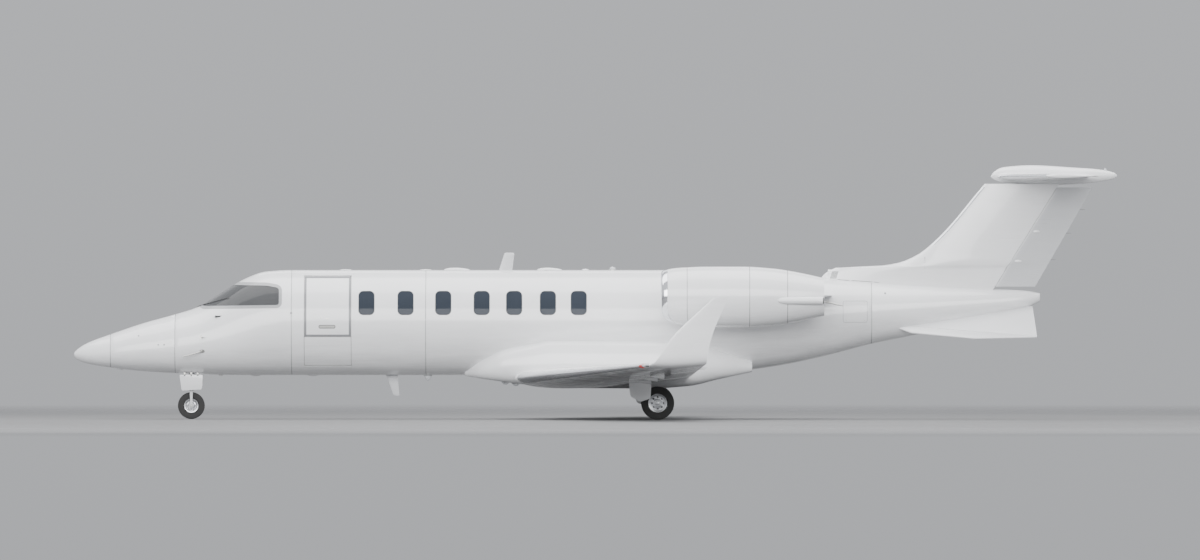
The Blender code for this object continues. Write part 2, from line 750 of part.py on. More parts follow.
def make_wings():
    for side, label in ((1, "right"), (-1, "left")):
        def facing(shape):
            return shape if side > 0 else mirrored(shape)

        rings = [wing_ring(*row) for row in WING]
        wing = node("wing_" + label, facing(loft(rings)), white_paint())
        spoiler_room = loft([spoiler_ring(SPOILER_Y[0] - RUN_GAP / 2, True),
                             spoiler_ring(SPOILER_Y[1] + RUN_GAP / 2, True)])
        combine(wing, [facing(track_fairing(y)) for y in TRACK_Y], "UNION")
        combine(wing, [facing(trailing_cut(*FLAP_Y)), facing(trailing_cut(*AILERON_Y)),
                       facing(spoiler_room), facing(box(*leg_pocket()))])
        x, y, low = WING_JACK
        combine(wing, [bar((x, side * y, low), (x, side * y, low + 0.1), JACK_RADIUS, 12)], "UNION")
        shade_round(wing)
        for name, span in (("flap_", FLAP_Y), ("aileron_", AILERON_Y)):
            pivot = hinge_point(sum(span) / 2)[0]
            pivot.y *= side
            leaf = node(name + label, facing(trailing_surface(*span)), white_paint(), pivot)
            pins = hinge_pins(hinge_point(span[0])[0], hinge_point(span[1])[0], END_GAP)
            shade_round(combine(leaf, [facing(pin) for pin in pins], "UNION"))
        leaf = loft([spoiler_ring(y) for y in SPOILER_Y])
        pivot = spoiler_ring(sum(SPOILER_Y) / 2)[0]
        pivot.y *= side
        node("spoiler_" + label, facing(leaf), white_paint(), pivot)


def fairing_ring(x):
    """Broad tub with round lower corners; its upper edge leans in to the hull's side."""
    half, top, bottom = (smooth_curve([(row[0], row[k]) for row in FAIRING], x) for k in range(1, 4))
    corner = 0.45 * (top - bottom)
    ring = [Vector((x, 0.0, bottom))]
    for k in range(5):
        angle = math.radians(-90 + 22.5 * k)
        ring.append(Vector((x, half - corner + corner * math.cos(angle),
                            bottom + corner + corner * math.sin(angle))))
    ring.append(Vector((x, half * 0.985, bottom + 0.8 * (top - bottom))))
    ring.append(Vector((x, half * 0.80, top)))
    ring.append(Vector((x, 0.0, top)))
    return ring + [Vector((p.x, -p.y, p.z)) for p in reversed(ring[1:-1])]


def make_fairing():
    places = [row[0] for row in FAIRING]
    places.insert(5, 0.1)
    fairing = node("belly_fairing", loft([fairing_ring(x) for x in places]), white_paint())
    combine(fairing, [hull_solid(-3.2, 3.8, -SEAT_GAP)])
    for side in (1, -1):
        root = loft([wing_ring(WING[0][0] - SEAT_GAP, *WING[0][1:], SEAT_GAP),
                     wing_ring(*WING[1], SEAT_GAP)])
        combine(fairing, [root if side > 0 else mirrored(root)])
    shade_round(fairing)


# The tail

def fin_edges(z):
    leading = straight(FIN_LEADING, z)
    return leading, straight(RUDDER_TRAILING, z), straight(RUDDER_HINGE, z)


def fin_ring(z):
    leading, trailing, _ = fin_edges(z)
    chord = trailing - leading
    thick = min(FIN_THICK, 0.26 / chord)
    return [Vector((leading + along, up, z)) for along, up in airfoil(chord, thick)]


def rudder_ring(z, grow, tail):
    leading, trailing, hinge = fin_edges(z)
    chord = trailing - leading
    thick = min(FIN_THICK, 0.26 / chord)
    radius = chord * half_thickness((hinge - leading) / chord, thick) + grow
    half = radius + 0.02 if grow else TRAILING_EDGE / 2
    return surface_ring(Vector((hinge, 0, z)), radius, trailing - hinge + tail, ALONG, SIDE,
                        tail_half=half)


def make_fin():
    heights = (2.160, 2.400, 2.560, 2.605, 2.683, 2.868, 3.400, 3.985)
    fin = node("fin", loft([fin_ring(z) for z in heights]), white_paint())
    room = loft([rudder_ring(z, RUN_GAP + 0.004, 0.3) for z in (2.0, 4.3)])
    combine(fin, [hull_solid(3.2, HULL_END_X + 0.001, -SEAT_GAP), room])
    shade_round(fin)
    pivot = (straight(RUDDER_HINGE, 3.0), 0, 3.0)
    rudder = node("rudder", loft([rudder_ring(z, 0.0, 0.0) for z in RUDDER_Z]), white_paint(), pivot)
    ball = rudder_foot()
    shaft_top = Vector((straight(RUDDER_HINGE, RUDDER_Z[0] + 0.06), 0, RUDDER_Z[0] + 0.06))
    foot = bmesh.new()
    bmesh.ops.create_icosphere(foot, subdivisions=2, radius=FOOT_RADIUS, matrix=Matrix.Translation(ball))
    shade_round(combine(rudder, [bar(shaft_top, ball, FOOT_RADIUS * 0.8), foot], "UNION"))


def rudder_foot():
    """Centre of the ball on the rudder's shaft, which stands on the crown of the tail cone."""
    z = RUDDER_Z[0]
    for _ in range(20):
        x = straight(RUDDER_HINGE, z)
        crown = hull_ring(x)[HULL_SIDES // 2].z
        fall = (crown - hull_ring(x + 0.01)[HULL_SIDES // 2].z) / 0.01
        z = crown + (FOOT_RADIUS + SEAT_GAP) * math.hypot(1, fall)
    return Vector((straight(RUDDER_HINGE, z), 0, z))


def stab_values(y):
    return [straight([(row[0], row[k]) for row in STAB], y) for k in range(1, 4)]


def stab_ring(y, grow=0.0):
    leading, chord, ratio = stab_values(abs(y))
    return [Vector((leading + along, y, STAB_HEIGHT + up)) for along, up in airfoil(chord, ratio, grow)]


def elevator_hinge(y):
    """The two hinge lines are one line straight across, so that both sides turn together."""
    return Vector((ELEVATOR_HINGE_X, y, STAB_HEIGHT))


def elevator_ring(y, grow, tail):
    leading, chord, ratio = stab_values(y)
    share = (ELEVATOR_HINGE_X - leading) / chord
    radius = chord * half_thickness(share, ratio) + grow
    half = radius + 0.02 if grow else TRAILING_EDGE / 2
    return surface_ring(elevator_hinge(y), radius, (1 - share) * chord + tail, ALONG, UP, tail_half=half)


def make_tailplane():
    tip = STAB[1][0]
    stab = node("tailplane", loft([stab_ring(y) for y in (-tip, 0.0, tip)]), white_paint())
    for side, label in ((1, "right"), (-1, "left")):
        ends = (ELEVATOR_Y[0] - RUN_GAP, ELEVATOR_Y[1] + RUN_GAP)
        room = loft([elevator_ring(y, RUN_GAP, 0.1) for y in ends])
        combine(stab, [room if side > 0 else mirrored(room)])
        leaf = loft([elevator_ring(y, 0.0, 0.0) for y in ELEVATOR_Y])
        ends = [elevator_hinge(y) for y in ELEVATOR_Y]
        pins = hinge_pins(*ends, RUN_GAP)
        if side < 0:
            leaf, pins = mirrored(leaf), [mirrored(pin) for pin in pins]
        pivot = (ends[0].x, side * ends[0].y, ends[0].z)
        shade_round(combine(node("elevator_" + label, leaf, white_paint(), pivot), pins, "UNION"))
    shade_round(stab)
    rings = []
    turns = [2 * math.pi * k / BULLET_SIDES for k in range(BULLET_SIDES)]
    for x, z, half, rise in BULLET:
        rings.append([Vector((x, half * math.sin(a), z - rise * math.cos(a))) for a in turns])
    bullet = node("tail_bullet", loft(rings), white_paint())
    fin_top = loft([[Vector((p.x, p.y + math.copysign(SEAT_GAP, p.y), p.z)) for p in fin_ring(z)]
                    for z in (3.9, 3.985 + SEAT_GAP)])
    combine(bullet, [loft([stab_ring(y, SEAT_GAP) for y in (-0.5, 0.0, 0.5)]), fin_top])
    shade_round(bullet)


def make_delta_fins():
    """Flat fins under the tail, leaning outwards."""
    tilt = math.radians(DELTA_CANT)
    outward = Vector((0, math.cos(tilt), -math.sin(tilt)))
    normal = Vector((0, math.sin(tilt), math.cos(tilt)))
    for side, label in ((1, "right"), (-1, "left")):
        rings = []
        for lift in (-0.018, 0.018):
            ring = []
            for x, z in (DELTA_TOP[0], DELTA_BOTTOM[0], DELTA_BOTTOM[1], DELTA_BOTTOM[2], DELTA_TOP[1]):
                root_z = straight(DELTA_TOP, x)
                root_y = smooth_curve([(row[0], row[3]) for row in HULL], x) * 0.62
                reach = (root_z - z) / math.sin(tilt)
                buried = min(0.12, (root_y - 0.022) / math.cos(tilt)) if reach < 0.01 else 0.0
                ring.append(Vector((x, root_y, root_z)) + outward * (reach - buried) + normal * lift)
            rings.append(ring)
        fin = node("delta_fin_" + label, loft(rings) if side > 0 else mirrored(loft(rings)), white_paint())
        combine(fin, [hull_solid(4.0, HULL_END_X + 0.001, -SEAT_GAP)])


# The engines

def make_engines():
    for side, label in ((1, "right"), (-1, "left")):
        centre = (0, side * ENGINE_Y, ENGINE_Z)
        shell = turn(NACELLE_OUTER + NACELLE_INNER, centre)
        for vert in shell.verts:
            drop = max(0.0, ENGINE_Z - vert.co.z) / LIP_DEPTH
            fade = max(0.0, 1 - (vert.co.x - INTAKE_X) / LIP_SLANT_LONG)
            vert.co.x += LIP_SLANT * drop ** 5 * fade
        nacelle = node("nacelle_" + label, shell, white_paint())
        ends = [(x, side * (ENGINE_Y + out), SIDE_FAIRING_Z) for x, out in SIDE_FAIRING]
        fairing = bar(*ends, SIDE_FAIRING_RADIUS, 12)
        shade_round(combine(nacelle, [fairing], "UNION"))
        shade_round(node("engine_" + label, turn(CORE, centre), bare_metal()))
        node("fan_" + label, fan_shape(centre), bare_metal(), (FAN_X, side * ENGINE_Y, ENGINE_Z))
        make_pylon(side, label)


def fan_shape(centre):
    """Hub with its spinner; each blade is drawn out of one face of the hub."""
    hub, back = HUB_RADIUS, FAN_X + 0.050
    profile = ((FAN_X - 0.230, 0.0), (FAN_X - 0.180, 0.060), (FAN_X - 0.060, hub), (back, hub),
               (FAN_X + 0.060, 0.060), (CORE_X - SEAT_GAP, 0.050), (CORE_X - SEAT_GAP, 0.0))
    bm = turn(profile, centre, sides=FAN_BLADES * 2)
    middle = Vector(centre)
    band = []
    for face in bm.faces:
        spot = face.calc_center_median()
        out = math.hypot(spot.y - middle.y, spot.z - middle.z)
        if abs(out - hub) < 0.004 and abs(spot.x - (FAN_X - 0.005)) < 0.02:
            band.append((math.atan2(spot.z - middle.z, spot.y - middle.y), face))
    band.sort(key=lambda pair: pair[0])
    steps = ((BLADE_ROOT, 30.0, 0.35), (FAN_RADIUS - 0.001 - hub - BLADE_ROOT, 25.0, 0.7))
    for _, face in band[::2]:
        outward = face.calc_center_median() - middle
        outward.x = 0
        outward.normalize()
        tangent = outward.cross(ALONG)
        for reach, twist, thin in steps:
            face = bmesh.ops.extrude_discrete_faces(bm, faces=[face])["faces"][0]
            spot = face.calc_center_median()
            turning = Matrix.Rotation(math.radians(twist), 3, outward)
            for vert in face.verts:
                offset = vert.co - spot
                offset -= tangent * offset.dot(tangent) * (1 - thin)
                vert.co = spot + turning @ offset + outward * reach
    bmesh.ops.triangulate(bm, faces=bm.faces)
    bmesh.ops.recalc_face_normals(bm, faces=bm.faces)
    return bm


def make_pylon(side, label):
    rings = []
    for y in (0.35, 1.05):
        ring = []
        for along, up in airfoil(PYLON_CHORD, PYLON_THICK):
            ring.append(Vector((PYLON_X + along, y, ENGINE_Z + 0.02 + up)))
        rings.append(ring)
    pylon = node("pylon_" + label, loft(rings) if side > 0 else mirrored(loft(rings)), white_paint())
    nacelle_room = turn(((1.5, 0.0), (1.5, 0.5123), (2.5, 0.5123), (3.0, 0.4803), (3.4, 0.4183),
                         (NOZZLE_X, 0.3183), (4.2, 0.2317), (4.2, 0.0)), (0, side * ENGINE_Y, ENGINE_Z))
    combine(pylon, [hull_solid(0.9, 5.0, -SEAT_GAP), nacelle_room])
    shade_round(pylon)


# The landing gear

def leg_pocket():
    low = (LEG_X - 0.090, MAIN_Y - 0.070, 0.400)
    high = (LEG_X + 0.090, MAIN_Y + 0.070, 0.700)
    return low, high


def tyre_profile(radius, width, rim, offset=0.0):
    """Round-shouldered section of a tyre on its rim."""
    half = width / 2
    return [(offset + a, r) for a, r in (
        (-half * 0.62, rim), (-half, (radius + rim) / 2), (-half * 0.93, radius * 0.90),
        (-half * 0.66, radius * 0.975), (-half * 0.25, radius), (half * 0.25, radius),
        (half * 0.66, radius * 0.975), (half * 0.93, radius * 0.90), (half, (radius + rim) / 2),
        (half * 0.62, rim))]


def make_main_gear():
    radius, width, rim = MAIN_TYRE
    half = width / 2 * 0.62
    step = TWIN_SPACING / 2
    for side, label in ((1, "right"), (-1, "left")):
        hub = (MAIN_X, side * MAIN_Y, radius)
        for offset, place in ((step, "outer"), (-step, "inner")):
            profile = tyre_profile(radius, width, rim + SEAT_GAP, side * offset)
            tyre = turn(profile, hub, "Y", WHEEL_SIDES)
            shade_round(node("main_tyre_%s_%s" % (label, place), tyre, rubber(), hub))
        profile = [(-step - half, 0.0), (-step - half, 0.060), (-step - half * 0.2, 0.070),
                   (-step - half * 0.4, rim - 0.020), (-step - half, rim),
                   (-step + half, rim), (-step + half * 0.3, rim - 0.020),
                   (-step + half * 0.3, 0.060), (-step + half, AXLE_RADIUS)]
        profile += [(-a, r) for a, r in reversed(profile)]
        rims = turn(profile, hub, "Y", WHEEL_SIDES)
        shade_round(node("main_rims_" + label, rims, bare_metal(), hub))
        make_main_leg(side, label)


def make_main_leg(side, label):
    """Strut down from the wing, and a link that trails back to an eye round the axle."""
    y = side * MAIN_Y
    radius = MAIN_TYRE[0]
    low, high = leg_pocket()
    head = box((low[0] + SEAT_GAP, y - 0.070 + SEAT_GAP, 0.500),
               (high[0] - SEAT_GAP, y + 0.070 - SEAT_GAP, high[2] - SEAT_GAP))
    leg = node("main_leg_" + label, head, gear_paint())
    eye_bore = bore(AXLE_RADIUS, EYE_SIDES)
    eye = turn(((-0.032, eye_bore), (-0.032, 0.058), (0.032, 0.058), (0.032, eye_bore)),
               (MAIN_X, y, radius), "Y", EYE_SIDES)
    knee_profile = ((-0.050, 0.0), (-0.050, 0.055), (0.050, 0.055), (0.050, 0.0))
    knee = turn(knee_profile, (LEG_X, y, PIVOT_Z), "Y", 14)
    link = bar((LEG_X, y, PIVOT_Z), (MAIN_X - 0.046, y, radius + 0.004), 0.030)
    damper = bar((LEG_X + 0.135, y, PIVOT_Z - 0.010), (LEG_X + 0.045, y, 0.540), 0.022)
    strut = bar((LEG_X, y, PIVOT_Z), (LEG_X, y, 0.560), 0.042, 12)
    combine(leg, [strut, knee, link, eye, damper], "UNION")
    shade_round(leg)
    outline = ((LEG_X - 0.190, 0.720), (LEG_X + 0.210, 0.720), (LEG_X + 0.190, 0.360),
               (LEG_X + 0.020, 0.300), (LEG_X - 0.150, 0.390))
    panel = loft([[Vector((x, y + side * (DOOR_OUT + across), z)) for x, z in outline]
                  for across in (0.0, 0.014)])
    door = node("main_door_" + label, panel, white_paint())
    skin = loft([wing_ring(*row, SEAT_GAP) for row in WING[:3]])
    combine(door, [skin if side > 0 else mirrored(skin)])


def make_nose_gear():
    radius, width, rim = NOSE_TYRE
    hub = (NOSE_GEAR_X, 0, radius)
    half = width / 2 * 0.62
    tyre = turn(tyre_profile(radius, width, rim + SEAT_GAP), hub, "Y", WHEEL_SIDES)
    shade_round(node("nose_tyre", tyre, rubber(), hub))
    profile = [(-0.118, 0.0), (-0.118, NOSE_AXLE_RADIUS), (-half, NOSE_AXLE_RADIUS), (-half, 0.055),
               (-half * 0.3, 0.060), (-half * 0.3, rim - 0.018), (-half, rim - 0.012), (-half, rim)]
    profile += [(-a, r) for a, r in reversed(profile)]
    shade_round(node("nose_rim", turn(profile, hub, "Y", WHEEL_SIDES), bare_metal(), hub))
    collar_z = 0.620
    top = (NOSE_GEAR_X, 0, NOSE_BAY[1][2] - SEAT_GAP)
    leg = node("nose_leg", bar((NOSE_GEAR_X, 0, collar_z), top, 0.045, 14), gear_paint())
    drag = bar((NOSE_GEAR_X, 0, 0.700), (NOSE_GEAR_X + 0.150, 0, 0.960), 0.020)
    cross = bar((NOSE_GEAR_X, -0.150 + SEAT_GAP, 0.960), (NOSE_GEAR_X, 0.150 - SEAT_GAP, 0.960), 0.025)
    combine(leg, [drag, cross], "UNION")
    shade_round(leg)
    # Fork: piston, crown and two arms that end in eyes round the axle
    fork = node("nose_fork", bar((NOSE_GEAR_X, 0, 0.520), (NOSE_GEAR_X, 0, collar_z - SEAT_GAP), 0.032, 14),
                bare_metal(), (NOSE_GEAR_X, 0, collar_z))
    parts = [box((NOSE_GEAR_X - 0.050, -0.098, 0.480), (NOSE_GEAR_X + 0.050, 0.098, 0.525))]
    eye_bore = bore(NOSE_AXLE_RADIUS, EYE_SIDES)
    for side in (1, -1):
        parts.append(box((NOSE_GEAR_X - 0.026, min(side * 0.070, side * 0.098), radius + 0.030),
                         (NOSE_GEAR_X + 0.026, max(side * 0.070, side * 0.098), 0.500)))
        parts.append(turn(((side * 0.070, eye_bore), (side * 0.070, 0.040), (side * 0.098, 0.040),
                           (side * 0.098, eye_bore)), hub, "Y", EYE_SIDES))
    combine(fork, parts, "UNION")
    shade_round(fork)
    low, high = NOSE_BAY
    outline = ((low[0] + 0.01, 0.745), (high[0] - 0.01, 0.745), (high[0] - 0.03, 0.500),
               (low[0] + 0.05, 0.480))
    for side, label in ((1, "right"), (-1, "left")):
        y = side * (high[1] + 0.012)
        door = loft([[Vector((x, y + side * across, z)) for x, z in outline] for across in (0.0, 0.012)])
        # A hinge arm reaches up to the edge of the bay
        arm = box((-6.870, min(y, y + side * 0.012), 0.730), (-6.830, max(y, y + side * 0.012), 0.790))
        leaf = node("nose_door_" + label, door, white_paint())
        combine(leaf, [arm], "UNION")
        combine(leaf, [hull_solid(NOSE_SEAM_X, -6.3, -SEAT_GAP)])


def make_aerials():
    for name, foot, tip, end in (("aerial_upper", (-1.640, -1.411), (-1.542, -1.373), 2.820),
                                 ("aerial_lower", (-3.552, -3.357), (-3.422, -3.320), 0.395)):
        start = 2.500 if end > 2 else 0.760
        rings = []
        for (front, back), z, thick in ((foot, start, 0.016), (tip, end, 0.008)):
            middle = front + 0.35 * (back - front)
            rings.append([Vector((front, 0, z)), Vector((middle, -thick, z)), Vector((back, 0, z)),
                          Vector((middle, thick, z))])
        blade = node(name, loft(rings), white_paint())
        combine(blade, [hull_solid(-4.0, -1.0, -SEAT_GAP)])


def main():
    clear_scene()
    make_nose()
    make_cockpit()
    make_cabin()
    make_doors()
    make_window_panes()
    make_aft_hull()
    make_interior()
    make_wings()
    make_fairing()
    make_fin()
    make_tailplane()
    make_delta_fins()
    make_engines()
    make_main_gear()
    make_nose_gear()
    make_aerials()


main()
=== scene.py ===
"""Looks of a light twin-engined business jet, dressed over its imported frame.

Metres, +Z up, nose towards -X, left side towards -Y, as in the frame. Every shape follows the
same driving dimensions as the frame's solids, only finer: smooth skins with real panel gaps,
glass, trim, engines, landing gear, and a cabin with stuffed seats.
"""

import math

import bmesh
import bpy
from mathutils import Matrix, Vector


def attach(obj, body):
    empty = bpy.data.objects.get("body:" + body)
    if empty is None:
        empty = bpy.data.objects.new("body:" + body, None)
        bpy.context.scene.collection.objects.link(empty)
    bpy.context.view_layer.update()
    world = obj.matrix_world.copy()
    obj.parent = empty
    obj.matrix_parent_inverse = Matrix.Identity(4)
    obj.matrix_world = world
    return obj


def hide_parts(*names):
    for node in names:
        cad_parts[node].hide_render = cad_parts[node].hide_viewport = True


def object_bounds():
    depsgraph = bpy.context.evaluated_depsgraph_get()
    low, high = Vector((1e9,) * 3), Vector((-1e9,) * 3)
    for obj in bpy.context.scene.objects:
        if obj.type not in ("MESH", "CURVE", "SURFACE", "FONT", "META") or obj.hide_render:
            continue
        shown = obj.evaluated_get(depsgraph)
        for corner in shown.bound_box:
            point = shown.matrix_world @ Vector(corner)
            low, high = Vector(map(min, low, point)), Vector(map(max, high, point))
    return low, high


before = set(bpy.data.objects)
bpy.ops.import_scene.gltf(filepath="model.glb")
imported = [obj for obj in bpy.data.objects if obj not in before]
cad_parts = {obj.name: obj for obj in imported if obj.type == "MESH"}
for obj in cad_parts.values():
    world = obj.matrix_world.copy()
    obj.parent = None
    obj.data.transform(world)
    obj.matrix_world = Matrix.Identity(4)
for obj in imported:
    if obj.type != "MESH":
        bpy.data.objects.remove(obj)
CAD_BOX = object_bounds()
NOSE_X, TAIL_X = CAD_BOX[0][0], CAD_BOX[1][0]

# The picture that the camera matches: its width, and its pixels to a metre
PICTURE_WIDTH = 1200
PIXELS_PER_METRE = 59.0
PICTURE_CENTRE = (0.076, 0.0, 2.356)
LENS = 600.0
SENSOR = 36.0

ALONG = Vector((1, 0, 0))
SIDE = Vector((0, 1, 0))
UP = Vector((0, 0, 1))
SIDES = ((1, "right"), (-1, "left"))

# Hull stations: x, keel, crown, half width, height of the widest line
HULL = (
    (NOSE_X, 1.092, 1.092, 0.002, 1.092),
    (-8.790, 1.012, 1.172, 0.080, 1.090),
    (-8.650, 0.950, 1.268, 0.178, 1.090),
    (-8.217, 0.874, 1.436, 0.325, 1.115),
    (-7.600, 0.806, 1.642, 0.465, 1.160),
    (-7.120, 0.778, 1.775, 0.556, 1.205),
    (-6.740, 0.764, 1.897, 0.622, 1.250),
    (-6.330, 0.750, 2.142, 0.700, 1.330),
    (-5.930, 0.745, 2.382, 0.775, 1.440),
    (-5.580, 0.745, 2.500, 0.832, 1.550),
    (-5.144, 0.745, 2.525, 0.870, 1.625),
    (-4.600, 0.745, 2.525, 0.875, 1.635),
    (1.300, 0.745, 2.525, 0.875, 1.635),
    (2.300, 0.800, 2.492, 0.835, 1.650),
    (3.100, 0.905, 2.445, 0.755, 1.690),
    (3.860, 1.065, 2.390, 0.650, 1.740),
    (4.676, 1.275, 2.325, 0.515, 1.810),
    (5.480, 1.442, 2.270, 0.390, 1.870),
    (6.500, 1.690, 2.212, 0.245, 1.950),
    (7.300, 1.885, 2.172, 0.130, 2.020),
    (7.530, 1.990, 2.130, 0.050, 2.065),
)
SKIN_SIDES = 120
SKIN_STEP = 0.075
PANEL_GAP = 0.006
SKIN_WALL = 0.030
RADOME_X = -8.217
NOSE_SEAM_X = -7.120
CABIN_X = -5.144
BARREL_X = -2.872
CABIN_END_X = 1.600
TAIL_SEAM_X = 4.676
HULL_END_X = 7.530


# Curves and meshes

def smooth_curve(points, x):
    """Monotone cubic through (x, value) points, without overshoot."""
    count = len(points)
    slopes = [(points[i + 1][1] - points[i][1]) / (points[i + 1][0] - points[i][0])
              for i in range(count - 1)]
    tangents = [slopes[0]]
    for before, after in zip(slopes, slopes[1:]):
        tangents.append(0.0 if before * after <= 0 else 2 * before * after / (before + after))
    tangents.append(slopes[-1])
    x = min(max(x, points[0][0]), points[-1][0])
    i = max(k for k in range(count - 1) if points[k][0] <= x)
    span = points[i + 1][0] - points[i][0]
    t = (x - points[i][0]) / span
    return (points[i][1] * (1 + 2 * t) * (1 - t) ** 2 + tangents[i] * span * t * (1 - t) ** 2
            + points[i + 1][1] * t * t * (3 - 2 * t) + tangents[i + 1] * span * t * t * (t - 1))


def straight(points, x):
    """Straight-line interpolation through (x, value) points."""
    i = max(k for k in range(len(points) - 1) if points[k][0] <= x or k == 0)
    (x0, v0), (x1, v1) = points[i], points[i + 1]
    return v0 + (v1 - v0) * (x - x0) / (x1 - x0)


def steps(start, end, step):
    """Evenly spaced values from start to end, about step apart."""
    count = max(1, round(abs(end - start) / step))
    return [start + (end - start) * k / count for k in range(count + 1)]


def skin_mesh(rings, caps=True):
    """Quad skin over rings of equally many points, with flat ends."""
    bm = bmesh.new()
    rows = [[bm.verts.new(point) for point in ring] for ring in rings]
    count = len(rows[0])
    for near, far in zip(rows, rows[1:]):
        for i in range(count):
            j = (i + 1) % count
            bm.faces.new((near[i], near[j], far[j], far[i]))
    if caps:
        bm.faces.new(list(reversed(rows[0])))
        bm.faces.new(rows[-1])
    bmesh.ops.recalc_face_normals(bm, faces=bm.faces)
    return bm


def hollow(rings, weld=1e-6):
    """Skin over rings whose last one meets the first, as on a tube with a wall."""
    bm = skin_mesh(rings + rings[:1], caps=False)
    bmesh.ops.remove_doubles(bm, verts=bm.verts, dist=weld)
    return bm


def turned(profile, centre, axis="X", sides=64, closed=None):
    """(along, radius) outline turned round an axis through centre; it closes on the axis or on itself."""
    bm = bmesh.new()
    rows = []
    for along, radius in profile:
        if radius < 1e-6:
            rows.append([bm.verts.new(round_place(centre, axis, along, 0.0, 0.0))])
            continue
        rows.append([bm.verts.new(round_place(centre, axis, along, radius, 2 * math.pi * k / sides))
                     for k in range(sides)])
    closed = all(len(row) > 1 for row in rows) if closed is None else closed
    pairs = list(zip(rows, rows[1:])) + ([(rows[-1], rows[0])] if closed else [])
    for near, far in pairs:
        for k in range(sides):
            m = (k + 1) % sides
            corners = [near[k % len(near)], near[m % len(near)], far[m % len(far)], far[k % len(far)]]
            kept = [v for i, v in enumerate(corners) if v not in corners[:i]]
            if len(kept) > 2:
                bm.faces.new(kept)
    bmesh.ops.recalc_face_normals(bm, faces=bm.faces)
    return bm


def round_place(centre, axis, along, radius, angle):
    a, b = radius * math.sin(angle), -radius * math.cos(angle)
    offset = {"X": (along, a, b), "Y": (a, along, b), "Z": (a, b, along)}[axis]
    return Vector(centre) + Vector(offset)


def rod(path, radius, sides=16):
    """Round rod or pipe along a path of points; radius is one value or one for each point."""
    points = [Vector(point) for point in path]
    radii = radius if isinstance(radius, (list, tuple)) else [radius] * len(points)
    rings = []
    normal = None
    for i, point in enumerate(points):
        way = (points[min(i + 1, len(points) - 1)] - points[max(i - 1, 0)]).normalized()
        if normal is None:
            normal = way.orthogonal().normalized()
        normal = (normal - way * normal.dot(way)).normalized()
        side = way.cross(normal)
        rings.append([point + (normal * math.cos(2 * math.pi * k / sides)
                               + side * math.sin(2 * math.pi * k / sides)) * radii[i] for k in range(sides)])
    return skin_mesh(rings)


def oval(centre, across, up, count=24):
    """Points round an oval, from its middle and its two half axes."""
    turns = [2 * math.pi * k / count for k in range(count)]
    return [centre + across * math.cos(turn) + up * math.sin(turn) for turn in turns]


def bent(points, smooth=6):
    """Path that rounds off a few given points."""
    points = [Vector(point) for point in points]
    path = [points[0]]
    for before, corner, after in zip(points, points[1:], points[2:]):
        start, end = (before + corner) / 2, (corner + after) / 2
        for k in range(smooth + 1):
            t = k / smooth
            path.append(start * (1 - t) ** 2 + corner * 2 * t * (1 - t) + end * t * t)
    return path + [points[-1]]


def block(low, high, bevel=0.0, segments=2):
    """Block between two corners, with rounded edges."""
    bm = bmesh.new()
    bmesh.ops.create_cube(bm, size=1.0)
    for vert in bm.verts:
        vert.co = Vector([low[i] + (vert.co[i] + 0.5) * (high[i] - low[i]) for i in range(3)])
    if bevel:
        bmesh.ops.bevel(bm, geom=bm.edges[:], offset=bevel, segments=segments, profile=0.5, affect="EDGES")
    return bm


def prism(outline, low_y, high_y):
    """(x, z) outline extruded along Y."""
    return skin_mesh([[Vector((x, y, z)) for x, z in outline] for y in (low_y, high_y)])


def rounded(x0, x1, z0, z1, radius, turns=6, edge=0.0):
    """(x, z) outline of a rectangle with round corners; edge adds points along the straight sides."""
    outline = []
    for cx, cz, start in ((x1 - radius, z1 - radius, 0), (x0 + radius, z1 - radius, 90),
                          (x0 + radius, z0 + radius, 180), (x1 - radius, z0 + radius, 270)):
        for k in range(turns + 1):
            angle = math.radians(start + 90 * k / turns)
            outline.append((cx + radius * math.cos(angle), cz + radius * math.sin(angle)))
    return spread(outline, edge) if edge else outline


def oval_outline(x, z, wide, tall, count):
    """(x, z) outline of an oval."""
    return [tuple(point) for point in oval(Vector((x, z)), Vector((wide, 0)), Vector((0, tall)), count)]


def spread(outline, step):
    """The same closed outline with its long sides divided."""
    result = []
    for (x0, z0), (x1, z1) in zip(outline, outline[1:] + outline[:1]):
        count = max(1, round(math.hypot(x1 - x0, z1 - z0) / step))
        result += [(x0 + (x1 - x0) * k / count, z0 + (z1 - z0) * k / count) for k in range(count)]
    return result


def mirrored(bm):
    """The same shape on the other side of the plane of symmetry."""
    for vert in bm.verts:
        vert.co.y = -vert.co.y
    bmesh.ops.reverse_faces(bm, faces=bm.faces)
    return bm


def facing(shape, side):
    """A shape made for the right side, or its mirror image on the left."""
    return shape if side > 0 else mirrored(shape)


def joined(shapes):
    """Several shapes as one mesh."""
    whole = bmesh.new()
    for shape in shapes:
        mesh = bpy.data.meshes.new("part")
        shape.to_mesh(mesh)
        shape.free()
        whole.from_mesh(mesh)
        bpy.data.meshes.remove(mesh)
    return whole


def shaded(mesh, degrees=32):
    mesh.shade_smooth()
    mesh.set_sharp_from_angle(angle=math.radians(degrees))


def dress(name, bm, material, body="airframe", stands_for=(), sharp=32):
    """A piece of the visual model: mesh, finish and body; the frame's parts that it stands for are hidden."""
    mesh = bpy.data.meshes.new(name)
    bm.to_mesh(mesh)
    bm.free()
    mesh.materials.append(material)
    shaded(mesh, sharp)
    piece = bpy.data.objects.new(name, mesh)
    bpy.context.collection.objects.link(piece)
    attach(piece, body)
    if stands_for:
        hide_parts(*stands_for)
    return piece


